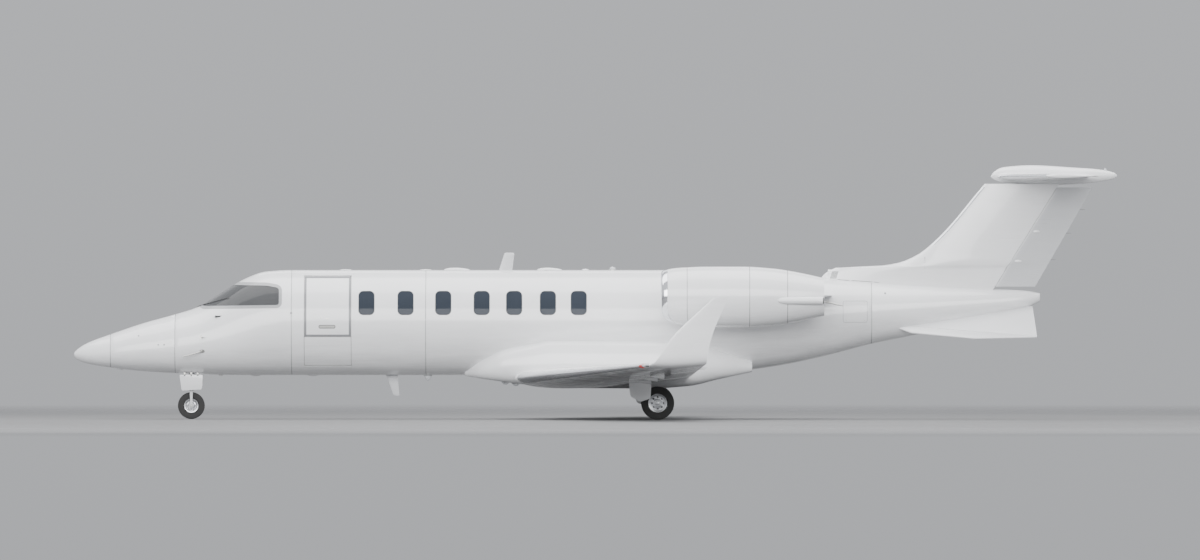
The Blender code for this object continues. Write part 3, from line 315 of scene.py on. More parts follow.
def carve(bm, cutters, operation="DIFFERENCE"):
    """The mesh after cutters are taken from it, or joined to it."""
    work = bpy.data.objects.new("work", bpy.data.meshes.new("work"))
    bpy.context.collection.objects.link(work)
    bm.to_mesh(work.data)
    bm.free()
    for cutter in cutters:
        tool = bpy.data.objects.new("tool", bpy.data.meshes.new("tool"))
        bpy.context.collection.objects.link(tool)
        cutter.to_mesh(tool.data)
        cutter.free()
        change = work.modifiers.new("change", "BOOLEAN")
        change.operation = operation
        change.solver = "EXACT"
        change.object = tool
        bpy.context.view_layer.update()
        graph = bpy.context.evaluated_depsgraph_get()
        mesh = bpy.data.meshes.new_from_object(work.evaluated_get(graph))
        work.modifiers.clear()
        old, work.data = work.data, mesh
        bpy.data.meshes.remove(old)
        old = tool.data
        bpy.data.objects.remove(tool)
        bpy.data.meshes.remove(old)
    result = bmesh.new()
    result.from_mesh(work.data)
    old = work.data
    bpy.data.objects.remove(work)
    bpy.data.meshes.remove(old)
    bmesh.ops.remove_doubles(result, verts=result.verts, dist=2e-5)
    bmesh.ops.dissolve_degenerate(result, edges=result.edges, dist=1e-5)
    return result


# Shader groups and finishes

def effect(name, inputs, outputs):
    """A shader node group with its sockets, ready for its nodes."""
    tree = bpy.data.node_groups.new(name, "ShaderNodeTree")
    for label, default in inputs:
        tree.interface.new_socket(label, in_out="INPUT",
                                  socket_type="NodeSocketFloat").default_value = default
    for label in outputs:
        tree.interface.new_socket(label, in_out="OUTPUT", socket_type="NodeSocketFloat")
    return tree, tree.nodes.new("NodeGroupInput"), tree.nodes.new("NodeGroupOutput")


def add(tree, kind, links=(), **values):
    """A node with its settings; links are (output socket, input name) pairs."""
    made = tree.nodes.new("ShaderNode" + kind)
    for key, value in values.items():
        setattr(made, key, value)
    for source, target in links:
        tree.links.new(source, made.inputs[target])
    return made


def maths(tree, operation, first, second=None, clamp=False):
    made = tree.nodes.new("ShaderNodeMath")
    made.operation = operation
    made.use_clamp = clamp
    for socket, value in ((made.inputs[0], first), (made.inputs[1], second)):
        if value is None:
            continue
        if isinstance(value, (int, float)):
            socket.default_value = value
        else:
            tree.links.new(value, socket)
    return made.outputs[0]


def spread_map(tree, source, low, high, to_low=0.0, to_high=1.0):
    made = add(tree, "MapRange", [(source, "Value")])
    for label, value in (("From Min", low), ("From Max", high), ("To Min", to_low), ("To Max", to_high)):
        made.inputs[label].default_value = value
    return made.outputs[0]


def place(tree, stretch=(1.0, 1.0, 1.0)):
    """Surface coordinates in the piece's own metres."""
    where = add(tree, "TexCoord").outputs["Object"]
    if stretch == (1.0, 1.0, 1.0):
        return where
    mapping = add(tree, "Mapping", [(where, "Vector")])
    mapping.inputs["Scale"].default_value = stretch
    return mapping.outputs[0]


def noise_at(tree, where, scale, detail=4.0, rough=0.55):
    made = add(tree, "TexNoise", [(where, "Vector")])
    made.inputs["Detail"].default_value = detail
    made.inputs["Roughness"].default_value = rough
    if isinstance(scale, (int, float)):
        made.inputs["Scale"].default_value = scale
    else:
        tree.links.new(scale, made.inputs["Scale"])
    return made.outputs["Fac"]


def paint_film():
    """Sprayed paint: the ripple of the film, soft patches of wear, and wipe marks along the airflow."""
    tree, given, out = effect("sprayed paint film", (("Ripple Scale", 60.0), ("Patch Scale", 1.3)),
                              ("Ripple", "Patches", "Wipes"))
    where = place(tree)
    tree.links.new(noise_at(tree, where, given.outputs["Ripple Scale"], 2.0), out.inputs["Ripple"])
    patches = noise_at(tree, where, given.outputs["Patch Scale"], 5.0, 0.6)
    tree.links.new(spread_map(tree, patches, 0.3, 0.7), out.inputs["Patches"])
    wipes = noise_at(tree, place(tree, (0.35, 3.0, 9.0)), 2.2, 6.0, 0.65)
    tree.links.new(spread_map(tree, wipes, 0.35, 0.75), out.inputs["Wipes"])
    return tree


def underside_shade_and_grime():
    """Painted shade on what faces down, broken into grime streaks; Reach is how far up the sides it creeps.
    """
    tree, given, out = effect("painted underside shade and grime", (("Reach", 0.35), ("Scale", 3.0)), ("Shade And Grime",))
    facing = add(tree, "SeparateXYZ", [(add(tree, "NewGeometry").outputs["Normal"], "Vector")]).outputs["Z"]
    down = maths(tree, "MULTIPLY", facing, -1.0)
    low = maths(tree, "ADD", down, given.outputs["Reach"], clamp=True)
    streaks = noise_at(tree, place(tree, (0.3, 2.0, 2.0)), given.outputs["Scale"], 7.0, 0.65)
    tree.links.new(maths(tree, "MULTIPLY", low, spread_map(tree, streaks, 0.35, 0.75), clamp=True),
                   out.inputs["Shade And Grime"])
    return tree


def worn_edges_and_corner_shade():
    """Edges worn by rubbing, and the mask for painted shade in corners."""
    tree, given, out = effect("worn edges and painted corner shade", (("Scale", 40.0),), ("Edge", "Corner"))
    bend = add(tree, "NewGeometry").outputs["Pointiness"]
    broken = noise_at(tree, place(tree), given.outputs["Scale"], 4.0, 0.7)
    edge = maths(tree, "MULTIPLY", spread_map(tree, bend, 0.52, 0.60), spread_map(tree, broken, 0.35, 0.6))
    tree.links.new(edge, out.inputs["Edge"])
    tree.links.new(spread_map(tree, bend, 0.49, 0.42), out.inputs["Corner"])
    return tree


def brushed_lines():
    """Fine machining lines round or along one axis, and the patches where they catch the light."""
    tree, given, out = effect("machining lines", (("Along X", 1.0), ("Along Y", 40.0), ("Along Z", 40.0)),
                              ("Lines", "Patches"))
    stretch = add(tree, "CombineXYZ", [(given.outputs["Along X"], "X"), (given.outputs["Along Y"], "Y"),
                                       (given.outputs["Along Z"], "Z")]).outputs[0]
    scaled = add(tree, "VectorMath", [(place(tree), 0), (stretch, 1)], operation="MULTIPLY").outputs[0]
    tree.links.new(noise_at(tree, scaled, 8.0, 3.0, 0.7), out.inputs["Lines"])
    tree.links.new(spread_map(tree, noise_at(tree, place(tree), 9.0, 4.0), 0.35, 0.7), out.inputs["Patches"])
    return tree


def hide_grain():
    """Leather: pebbled cells, fine creases, and the polish of use."""
    tree, given, out = effect("hide grain", (("Pebbles", 420.0), ("Creases", 35.0)), ("Height", "Polish"))
    cells = add(tree, "TexVoronoi", [(place(tree), "Vector"), (given.outputs["Pebbles"], "Scale")],
                feature="SMOOTH_F1").outputs["Distance"]
    creases = noise_at(tree, place(tree), given.outputs["Creases"], 7.0, 0.7)
    height = maths(tree, "ADD", maths(tree, "MULTIPLY", cells, 0.6), maths(tree, "MULTIPLY", creases, 0.8))
    tree.links.new(height, out.inputs["Height"])
    tree.links.new(spread_map(tree, noise_at(tree, place(tree), 6.0, 3.0), 0.35, 0.7), out.inputs["Polish"])
    return tree


def pile_weave():
    """Carpet and webbing: crossed threads with loose fibres."""
    tree, given, out = effect("pile and weave", (("Threads", 260.0),), ("Height", "Shade"))
    where = place(tree)
    scale = given.outputs["Threads"]
    waves = []
    for direction in ("X", "Y"):
        wave = add(tree, "TexWave", [(where, "Vector"), (scale, "Scale")], wave_type="BANDS",
                   bands_direction=direction)
        wave.inputs["Distortion"].default_value = 1.5
        waves.append(wave.outputs["Fac"])
    threads = maths(tree, "MAXIMUM", *waves)
    fibres = noise_at(tree, where, 380.0, 4.0, 0.8)
    tree.links.new(maths(tree, "ADD", maths(tree, "MULTIPLY", threads, 0.5), fibres), out.inputs["Height"])
    tree.links.new(spread_map(tree, fibres, 0.3, 0.7), out.inputs["Shade"])
    return tree


FILM = paint_film()
UNDERSIDE_SHADE_AND_GRIME = underside_shade_and_grime()
EDGE_WEAR_AND_CORNER_SHADE = worn_edges_and_corner_shade()
LINES = brushed_lines()
HIDE = hide_grain()
PILE = pile_weave()


def place_effect(tree, group, **values):
    made = tree.nodes.new("ShaderNodeGroup")
    made.node_tree = group
    for key, value in values.items():
        made.inputs[key.replace("_", " ")].default_value = value
    return made.outputs


def finish(name, roughness, metallic=0.0, **sockets):
    """A Principled material, and its tree and shader for the nodes that follow."""
    material = bpy.data.materials.new(name)
    material.use_nodes = True
    tree = material.node_tree
    shader = tree.nodes["Principled BSDF"]
    shader.inputs["Roughness"].default_value = roughness
    shader.inputs["Metallic"].default_value = metallic
    for key, value in sockets.items():
        shader.inputs[key.replace("_", " ")].default_value = value
    return material, tree, shader


def mixed(tree, share, first, second):
    """Colour between two colours or colour sockets."""
    made = tree.nodes.new("ShaderNodeMix")
    made.data_type = "RGBA"
    tree.links.new(share, made.inputs["Factor"])
    for index, colour in ((6, first), (7, second)):
        if isinstance(colour, tuple):
            made.inputs[index].default_value = (*colour, 1.0)
        else:
            tree.links.new(colour, made.inputs[index])
    return made.outputs[2]


def raised(tree, shader, height, strength, distance):
    bump = add(tree, "Bump", [(height, "Height")])
    bump.inputs["Strength"].default_value = strength
    bump.inputs["Distance"].default_value = distance
    tree.links.new(bump.outputs["Normal"], shader.inputs["Normal"])


def wired(material, tree, shader, colour, rough, height, strength, distance):
    """Feed a material's colour, roughness and bump, and hand it back."""
    tree.links.new(colour, shader.inputs["Base Color"])
    tree.links.new(rough, shader.inputs["Roughness"])
    raised(tree, shader, height, strength, distance)
    return material


def aircraft_paint(name, colour, shadow, shade_and_grime=0.35, roughness=0.2, coat=0.6):
    """Gloss paint with a faint film ripple, soft patches, and painted shade in grime streaks on what faces
    down.
    """
    material, tree, shader = finish(name, roughness, Coat_Weight=coat, Coat_Roughness=0.06)
    film = place_effect(tree, FILM)
    below = place_effect(tree, UNDERSIDE_SHADE_AND_GRIME)
    base = mixed(tree, film["Patches"], colour, tuple(c * 0.965 for c in colour))
    # Painted shade: the shadow colour is laid on what faces down, in grime streaks.
    shaded_below = mixed(tree, maths(tree, "MULTIPLY", below["Shade And Grime"], shade_and_grime), base, shadow)
    rough = maths(tree, "ADD", spread_map(tree, film["Wipes"], 0.0, 1.0, roughness - 0.05, roughness + 0.08),
                  maths(tree, "MULTIPLY", below["Shade And Grime"], 0.15))
    return wired(material, tree, shader, shaded_below, rough, film["Ripple"], 0.06, 0.001)


def worked_metal(name, bright, dull, roughness, lines=(1.0, 40.0, 40.0), bump=0.1, wear=0.3):
    """Bare metal with machining lines, duller patches and painted shade in its corners."""
    material, tree, shader = finish(name, roughness, 1.0)
    marks = place_effect(tree, LINES, Along_X=lines[0], Along_Y=lines[1], Along_Z=lines[2])
    wear_and_shade = place_effect(tree, EDGE_WEAR_AND_CORNER_SHADE)
    base = mixed(tree, maths(tree, "MULTIPLY", marks["Patches"], wear), bright, dull)
    # Painted shade: darker in concave corners.
    shade = mixed(tree, maths(tree, "MULTIPLY", wear_and_shade["Corner"], 0.5), base, tuple(c * 0.45 for c in dull))
    rough = spread_map(tree, marks["Lines"], 0.3, 0.7, roughness * 0.75, roughness * 1.35)
    return wired(material, tree, shader, shade, rough, marks["Lines"], bump, 0.0006)


def dull_trim(name, colour, roughness, grain=240.0, bump=0.25, wear=0.3):
    """Moulded or coated trim: fine grain, edges worn lighter, and darker patches."""
    material, tree, shader = finish(name, roughness)
    wear_and_shade = place_effect(tree, EDGE_WEAR_AND_CORNER_SHADE)
    film = place_effect(tree, FILM, Ripple_Scale=grain, Patch_Scale=4.0)
    base = mixed(tree, maths(tree, "MULTIPLY", wear_and_shade["Edge"], wear), colour,
                 tuple(0.3 + 0.6 * c for c in colour))
    shade = mixed(tree, maths(tree, "MULTIPLY", film["Patches"], 0.25), base, tuple(c * 0.75 for c in colour))
    rough = spread_map(tree, film["Patches"], 0.0, 1.0, roughness - 0.06, roughness + 0.08)
    return wired(material, tree, shader, shade, rough, film["Ripple"], bump, 0.0008)


def tyre_rubber():
    material, tree, shader = finish("tyre rubber", 0.78)
    film = place_effect(tree, FILM, Ripple_Scale=130.0, Patch_Scale=9.0)
    wear_and_shade = place_effect(tree, EDGE_WEAR_AND_CORNER_SHADE, Scale=25.0)
    base = mixed(tree, maths(tree, "MULTIPLY", film["Patches"], 0.5), (0.018, 0.018, 0.019),
                 (0.05, 0.048, 0.045))
    shade = mixed(tree, maths(tree, "MULTIPLY", wear_and_shade["Edge"], 0.6), base, (0.11, 0.10, 0.09))
    rough = spread_map(tree, film["Patches"], 0.0, 1.0, 0.7, 0.88)
    return wired(material, tree, shader, shade, rough, film["Ripple"], 0.35, 0.0012)


def seat_hide(name, colour, polish=0.42):
    material, tree, shader = finish(name, polish)
    grain = place_effect(tree, HIDE)
    wear_and_shade = place_effect(tree, EDGE_WEAR_AND_CORNER_SHADE, Scale=12.0)
    base = mixed(tree, maths(tree, "MULTIPLY", grain["Polish"], 0.6), colour, tuple(c * 0.82 for c in colour))
    # Painted shade: darker in concave corners and creases of the hide.
    shade = mixed(tree, maths(tree, "MULTIPLY", wear_and_shade["Corner"], 0.6), base, tuple(c * 0.55 for c in colour))
    rough = spread_map(tree, grain["Polish"], 0.0, 1.0, polish + 0.08, polish - 0.08)
    return wired(material, tree, shader, shade, rough, grain["Height"], 0.35, 0.0012)


def woven(name, colour, second, threads=260.0, roughness=0.92):
    material, tree, shader = finish(name, roughness, Sheen_Weight=0.35, Sheen_Roughness=0.5)
    weave = place_effect(tree, PILE, Threads=threads)
    shade = mixed(tree, weave["Shade"], colour, second)
    rough = spread_map(tree, weave["Shade"], 0.0, 1.0, roughness, roughness - 0.12)
    return wired(material, tree, shader, shade, rough, weave["Height"], 0.5, 0.002)


def clear_glass(name, colour, through, roughness=0.03):
    """Tinted glazing with faint wipe marks."""
    material, tree, shader = finish(name, roughness, Transmission_Weight=through, IOR=1.28)
    film = place_effect(tree, FILM, Ripple_Scale=6.0, Patch_Scale=2.0)
    shade = mixed(tree, film["Patches"], colour, tuple(c * 0.9 for c in colour))
    rough = spread_map(tree, film["Wipes"], 0.0, 1.0, roughness, roughness + 0.05)
    return wired(material, tree, shader, shade, rough, film["Ripple"], 0.03, 0.001)


def lamp_lens(name, colour, glow):
    material, tree, shader = finish(name, 0.08, Transmission_Weight=0.5, IOR=1.49, Emission_Strength=glow)
    ribs = add(tree, "TexWave", [(place(tree), "Vector")], wave_type="BANDS", bands_direction="Z")
    ribs.inputs["Scale"].default_value = 90.0
    shade = mixed(tree, ribs.outputs["Fac"], colour,
                  tuple(c * 0.7 for c in colour))
    tree.links.new(shade, shader.inputs["Base Color"])
    tree.links.new(shade, shader.inputs["Emission Color"])
    tree.links.new(spread_map(tree, ribs.outputs["Fac"], 0.0, 1.0, 0.05, 0.16), shader.inputs["Roughness"])
    raised(tree, shader, ribs.outputs["Fac"], 0.2, 0.001)
    return material


def heated_metal():
    """Nozzle steel that turns from straw to blue-grey towards its hot end."""
    material, tree, shader = finish("heat-tinted nozzle steel", 0.32, 1.0)
    marks = place_effect(tree, LINES, Along_X=30.0, Along_Y=3.0, Along_Z=3.0)
    along = add(tree, "SeparateXYZ", [(place(tree), "Vector")]).outputs["X"]
    warm = maths(tree, "ADD", spread_map(tree, along, 2.9, 3.85),
                 maths(tree, "MULTIPLY", marks["Patches"], 0.25))
    ramp = add(tree, "ValToRGB", [(warm, "Fac")])
    ramp.color_ramp.elements[0].color = (0.42, 0.40, 0.38, 1)
    ramp.color_ramp.elements[1].color = (0.14, 0.13, 0.14, 1)
    for spot, colour in ((0.45, (0.40, 0.31, 0.20, 1)), (0.75, (0.20, 0.19, 0.25, 1))):
        ramp.color_ramp.elements.new(spot).color = colour
    shade = ramp.outputs["Color"]
    rough = spread_map(tree, marks["Lines"], 0.3, 0.7, 0.25, 0.45)
    return wired(material, tree, shader, shade, rough, marks["Lines"], 0.15, 0.0008)


# Each paint's second colour is painted shade for what faces down.
WHITE = aircraft_paint("gloss white fuselage paint", (0.86, 0.865, 0.875), (0.42, 0.43, 0.44))
GREY_PAINT = aircraft_paint("pale grey paint", (0.56, 0.57, 0.585), (0.30, 0.30, 0.31), 0.4, 0.3, 0.3)
MID_GREY = aircraft_paint("mid grey trim paint", (0.23, 0.235, 0.245), (0.12, 0.12, 0.125), 0.4, 0.35, 0.2)
FRAME_GREY = aircraft_paint("windshield frame grey", (0.36, 0.365, 0.375), (0.2, 0.2, 0.205), 0.4, 0.3, 0.25)
SEALANT = dull_trim("panel gap sealant", (0.075, 0.077, 0.08), 0.7)
BLACK_TRIM = dull_trim("black moulded trim", (0.028, 0.028, 0.03), 0.55)
LINING = dull_trim("cabin lining", (0.62, 0.60, 0.55), 0.7, 500.0, 0.2, 0.1)
COCKPIT_TRIM = dull_trim("cockpit trim", (0.10, 0.105, 0.115), 0.6, 350.0, 0.12)
CABIN_GLASS = clear_glass("tinted cabin glass", (0.034, 0.042, 0.056), 0.12)
SCREEN_GLASS = clear_glass("grey windshield glass", (0.115, 0.118, 0.122), 0.35)
LIP_METAL = worked_metal("polished intake lip", (0.82, 0.83, 0.85), (0.66, 0.67, 0.69), 0.1,
                         (30.0, 2.0, 2.0), 0.03)
EDGE_METAL = worked_metal("polished leading edge", (0.76, 0.77, 0.79), (0.6, 0.61, 0.63), 0.22,
                          (20.0, 1.0, 20.0), 0.04)
WHEEL_ALLOY = worked_metal("cast wheel alloy", (0.66, 0.67, 0.69), (0.5, 0.51, 0.53), 0.32,
                           (12.0, 30.0, 12.0), 0.2)
BLADE_METAL = worked_metal("machined fan titanium", (0.52, 0.53, 0.56), (0.36, 0.37, 0.4), 0.24,
                           (40.0, 4.0, 4.0))
PLAIN_STEEL = worked_metal("zinc-plated steel", (0.55, 0.55, 0.53), (0.38, 0.38, 0.36), 0.35)
CHROME = worked_metal("hard chrome", (0.85, 0.86, 0.88), (0.75, 0.76, 0.78), 0.07, (20.0, 20.0, 1.0), 0.02)
BRAKE_CARBON = dull_trim("brake carbon", (0.035, 0.034, 0.034), 0.5, 90.0, 0.4)
HOT_METAL = heated_metal()
GEAR_WHITE = aircraft_paint("gear leg enamel", (0.70, 0.71, 0.72), (0.22, 0.21, 0.20), 0.8, 0.32, 0.3)
TYRE = tyre_rubber()
SEAT_HIDE = seat_hide("tan seat hide", (0.50, 0.385, 0.255))
DARK_HIDE = seat_hide("dark cockpit hide", (0.085, 0.08, 0.078), 0.5)
CARPET = woven("sand carpet", (0.30, 0.26, 0.20), (0.42, 0.37, 0.29))
WEBBING = woven("belt webbing", (0.05, 0.05, 0.055), (0.10, 0.10, 0.11), 420.0, 0.8)
RED_LENS = lamp_lens("red lens", (0.7, 0.03, 0.02), 0.25)
GREEN_LENS = lamp_lens("green lens", (0.02, 0.45, 0.12), 0.25)
CLEAR_LENS = lamp_lens("clear lens", (0.85, 0.87, 0.9), 0.15)


# The hull

HULL_TABLES = [[(math.sqrt(row[0] - NOSE_X), row[k]) for row in HULL] for k in range(1, 5)]
hull_cache = {}


def hull_values(x):
    """Keel, crown, half width and height of the widest line; the square root rounds off the nose."""
    if x not in hull_cache:
        spot = math.sqrt(max(x - NOSE_X, 0.0))
        hull_cache[x] = [smooth_curve(table, spot) for table in HULL_TABLES]
    return hull_cache[x]


def skin_point(x, angle, inset=0.0):
    """Point of the hull's skin; angle 0 is the keel, a quarter turn the right side."""
    keel, crown, half, widest = hull_values(x)
    rise = -math.cos(angle)
    reach = crown - widest if rise > 0 else widest - keel
    return Vector((x, max(half - inset, 0.0005) * math.sin(angle),
                   widest + max(reach - inset, 0.0005) * rise))


def skin_at(x, z, side, inset=0.0):
    """Point of the hull's side at a height; side is 1 on the right and -1 on the left."""
    keel, crown, half, widest = hull_values(x)
    reach = (crown - widest if z > widest else widest - keel) - inset
    rise = min(max((z - widest) / reach, -1.0), 1.0)
    return Vector((x, side * (half - inset) * math.sqrt(1 - rise * rise), widest + reach * rise))


def skin_ring(x, inset=0.0):
    return [skin_point(x, 2 * math.pi * k / SKIN_SIDES, inset) for k in range(SKIN_SIDES)]


def skin_rings(start, end, inset=0.0, rolled=0.004):
    """Rings along the hull whose two ends roll in a little."""
    rings = [skin_ring(start, inset + rolled), skin_ring(start + rolled * 0.3, inset + rolled * 0.3)]
    rings += [skin_ring(x, inset) for x in steps(start + rolled, end - rolled, SKIN_STEP)]
    return rings + [skin_ring(end - rolled * 0.3, inset + rolled * 0.3), skin_ring(end, inset + rolled)]


def hull_tube(start, end, wall, outer=0.0, rolled=0.004):
    """Length of hull, open at both ends."""
    rings = skin_rings(start, end, outer, rolled)
    rings += [skin_ring(x, wall) for x in steps(end, start, SKIN_STEP * 2)]
    return hollow(rings)


def hull_plug(start, end, inset=0.0):
    """Solid length of hull, for cutting."""
    return skin_mesh([skin_ring(x, inset) for x in steps(start, end, SKIN_STEP)])


def seam_strip(x):
    """Dark seal at the bottom of a panel gap round the hull."""
    rings = [skin_ring(x + dx, inset) for dx, inset in ((-0.008, 0.0035), (0.008, 0.0035), (0.008, 0.012),
                                                       (-0.008, 0.012))]
    return hollow(rings)


def soften(outline, radius, turns=5):
    """Closed outline with its corners rounded."""
    result = []
    count = len(outline)
    for i, corner in enumerate(outline):
        corner = Vector(corner)
        before, after = Vector(outline[i - 1]), Vector(outline[(i + 1) % count])
        start = corner + (before - corner).normalized() * min(radius, (before - corner).length * 0.45)
        end = corner + (after - corner).normalized() * min(radius, (after - corner).length * 0.45)
        for k in range(turns + 1):
            t = k / turns
            result.append(tuple(start * (1 - t) ** 2 + corner * 2 * t * (1 - t) + end * t * t))
    return result


def grown(outline, distance):
    """Closed outline moved outwards along its normals."""
    area = sum(x0 * z1 - x1 * z0 for (x0, z0), (x1, z1) in zip(outline, outline[1:] + outline[:1]))
    turn = 1 if area > 0 else -1
    result = []
    for i, point in enumerate(outline):
        before, after = Vector(outline[i - 1]), Vector(outline[(i + 1) % len(outline)])
        first, second = (Vector(point) - before), (after - Vector(point))
        way = (first.normalized() + second.normalized()).normalized()
        result.append((point[0] + way.y * distance * turn, point[1] - way.x * distance * turn))
    return result


def skin_band(outer, inner, side, lift=0.0008, sink=0.004):
    """Flat band on the hull's side between two outlines of equally many (x, z) points."""
    loops = [(outer, -lift * 0.2), (outer, -lift), (inner, -lift), (inner, sink), (outer, sink)]
    rows = [[skin_at(x, z, side, inset) for x, z in outline] for outline, inset in loops]
    return hollow(rows, 1e-7)


def skin_plate(outline, side, front, back, fills=5):
    """Plate that follows the hull's side, between two insets."""
    cx = sum(x for x, _ in outline) / len(outline)
    cz = sum(z for _, z in outline) / len(outline)
    rows = []
    shares = [k / fills for k in range(1, fills + 1)]
    for share, inset in [(s, front) for s in shares] + [(s, back) for s in reversed(shares)]:
        rows.append([skin_at(cx + (x - cx) * share, cz + (z - cz) * share, side, inset) for x, z in outline])
    bm = skin_mesh(rows, caps=False)
    corners = list(bm.verts)
    count = len(outline)
    for ring, inset in ((corners[:count], front), (corners[-count:], back)):
        middle = bm.verts.new(skin_at(cx, cz, side, inset))
        for k in range(count):
            bm.faces.new((middle, ring[k], ring[(k + 1) % count]))
    bmesh.ops.recalc_face_normals(bm, faces=bm.faces)
    return bm


def strip(points, width, point_at, lift, sink):
    """Thin strip along (x, z) points; point_at gives the place over a surface at x, z and a height."""
    rows = []
    for i, (x, z) in enumerate(points):
        ahead = Vector(points[min(i + 1, len(points) - 1)]) - Vector(points[max(i - 1, 0)])
        dx, dz = Vector((-ahead.y, ahead.x)).normalized() * width / 2
        rows.append([point_at(x + way * dx, z + way * dz, height)
                     for way, height in ((1, lift), (-1, lift), (-1, -sink), (1, -sink))])
    return skin_mesh(rows)


# Windows and windshield: outlines in side view (x, z)

WINDOW_X = (-3.873, -3.212, -2.575, -1.924, -1.376, -0.805, -0.283)
EXTRA_WINDOW_X = -4.540
WINDOW_SIZE = (0.276, 0.412)
WINDOW_Z = 1.967
WINDOW_CORNER = 0.085
WINDSCREEN = ((-6.660, 1.915), (-5.355, 1.932), (-5.355, 2.222), (-5.560, 2.262), (-6.060, 2.272),
              (-6.880, 2.300))
CENTRE_POST_HALF = 0.035
SCREEN_START, SCREEN_END = -7.000, -5.200
CABIN_WALL = 0.086
# Nose gear bay, between two corners, and how far below it the shell is cut
NOSE_BAY = ((-7.060, -0.150, 0.700), (-6.640, 0.150, 1.060))
NOSE_BAY_DROP = 0.100


def window_outline(x, grow=0.0):
    return rounded(x - WINDOW_SIZE[0] / 2 - grow, x + WINDOW_SIZE[0] / 2 + grow,
                   WINDOW_Z - WINDOW_SIZE[1] / 2 - grow, WINDOW_Z + WINDOW_SIZE[1] / 2 + grow,
                   WINDOW_CORNER + grow, 8, 0.05)


def window_places(side):
    return WINDOW_X if side < 0 else (EXTRA_WINDOW_X,) + WINDOW_X


def window_cutters(start, end, grow=0.0):
    shapes = []
    for side, _ in SIDES:
        for x in window_places(side):
            if start < x < end:
                shapes.append(facing(prism(window_outline(x, grow), 0.45, 1.2), side))
    return shapes


def make_windows():
    for side, label in SIDES:
        panes, bezels, seals = [], [], []
        for x in window_places(side):
            panes.append(skin_plate(window_outline(x, -0.003), side, 0.004, 0.016))
            seals.append(skin_band(window_outline(x, -0.0005), window_outline(x, -0.010), side,
                                   -0.002, 0.012))
            bezels.append(skin_band(window_outline(x, 0.016), window_outline(x, 0.001), side, 0.0016, 0.006))
        dress("cabin_panes_" + label, joined(panes), CABIN_GLASS,
              stands_for=("cabin_windows_" + label,))
        dress("window_seals_" + label, joined(seals), SEALANT)
        dress("window_frames_" + label, joined(bezels), WHITE)


DOOR_X = (-4.930, -4.130)
DOOR_Z = (0.905, 1.395, 2.432)
DOOR_CORNER = 0.008
DOOR_GAP = 0.006
DOOR_INNER_Y = -0.250


def door_outline(grow=0.0):
    return rounded(DOOR_X[0] - grow, DOOR_X[1] + grow, DOOR_Z[0] - grow, DOOR_Z[2] + grow, DOOR_CORNER, 3)


def screen_outline(grow=0.0):
    return grown(soften(WINDSCREEN, 0.05), grow)


def screen_prism(grow, low_y, side):
    return facing(prism(screen_outline(grow), low_y, 1.2), side)


def make_hull():
    gap = PANEL_GAP / 2
    radome = skin_mesh([skin_ring(NOSE_X + (k / 40) ** 2 * (RADOME_X - gap - 0.004 - NOSE_X))
                        for k in range(41)] + [skin_ring(RADOME_X - gap, 0.004)])
    dress("radome_skin", radome, WHITE, stands_for=("radome",))
    nose = skin_mesh(skin_rings(RADOME_X + gap, NOSE_SEAM_X - gap))
    dress("nose_skin", nose, WHITE, stands_for=("nose_section",))

    shell = hull_tube(NOSE_SEAM_X + gap, CABIN_X - gap, CABIN_WALL)
    low, high = NOSE_BAY
    bay = block((low[0], low[1], low[2] - NOSE_BAY_DROP), high)
    shell = carve(shell, [joined([screen_prism(0.0, CENTRE_POST_HALF, side) for side, _ in SIDES]), bay])
    dress("cockpit_skin", shell, WHITE, stands_for=("cockpit_shell",))
    for side, label in SIDES:
        pane = carve(hull_tube(SCREEN_START, SCREEN_END, 0.022, 0.003),
                     [screen_prism(-0.002, CENTRE_POST_HALF + 0.002, side)], "INTERSECT")
        dress("windshield_" + label, pane, SCREEN_GLASS, stands_for=("windscreen_" + label,))
    frames = []
    for side, label in SIDES:
        frame_shape = carve(hull_tube(SCREEN_START, SCREEN_END, 0.008, -0.0015),
                            [screen_prism(0.052, 0.0, side)], "INTERSECT")
        frames.append(carve(frame_shape, [screen_prism(0.0, CENTRE_POST_HALF, side)]))
    dress("windshield_frame", joined(frames), FRAME_GREY)

    front = carve(hull_tube(CABIN_X + gap, BARREL_X - gap, CABIN_WALL),
                  [joined(window_cutters(CABIN_X, BARREL_X) + [prism(door_outline(), -1.2, DOOR_INNER_Y)])])
    for leaf in LEAVES:
        front = carve(front, [hinge_gutter(leaf[4], leaf[5])])
    dress("cabin_front_skin", front, WHITE, stands_for=("cabin_front",))
    rear = carve(hull_tube(BARREL_X + gap, CABIN_END_X - gap, CABIN_WALL),
                 [joined(window_cutters(BARREL_X, CABIN_END_X))])
    dress("cabin_rear_skin", rear, WHITE, stands_for=("cabin_rear",))
    dress("aft_skin", hull_tube(CABIN_END_X + gap, TAIL_SEAM_X - gap, SKIN_WALL), WHITE,
          stands_for=("aft_hull",))
    cone = skin_mesh(skin_rings(TAIL_SEAM_X + gap, HULL_END_X))
    dress("tail_cone_skin", cone, WHITE, stands_for=("tail_cone",))
    seams = [seam_strip(x) for x in (RADOME_X, NOSE_SEAM_X, CABIN_X, BARREL_X, CABIN_END_X, TAIL_SEAM_X)]
    dress("panel_gap_seals", joined(seams), SEALANT)


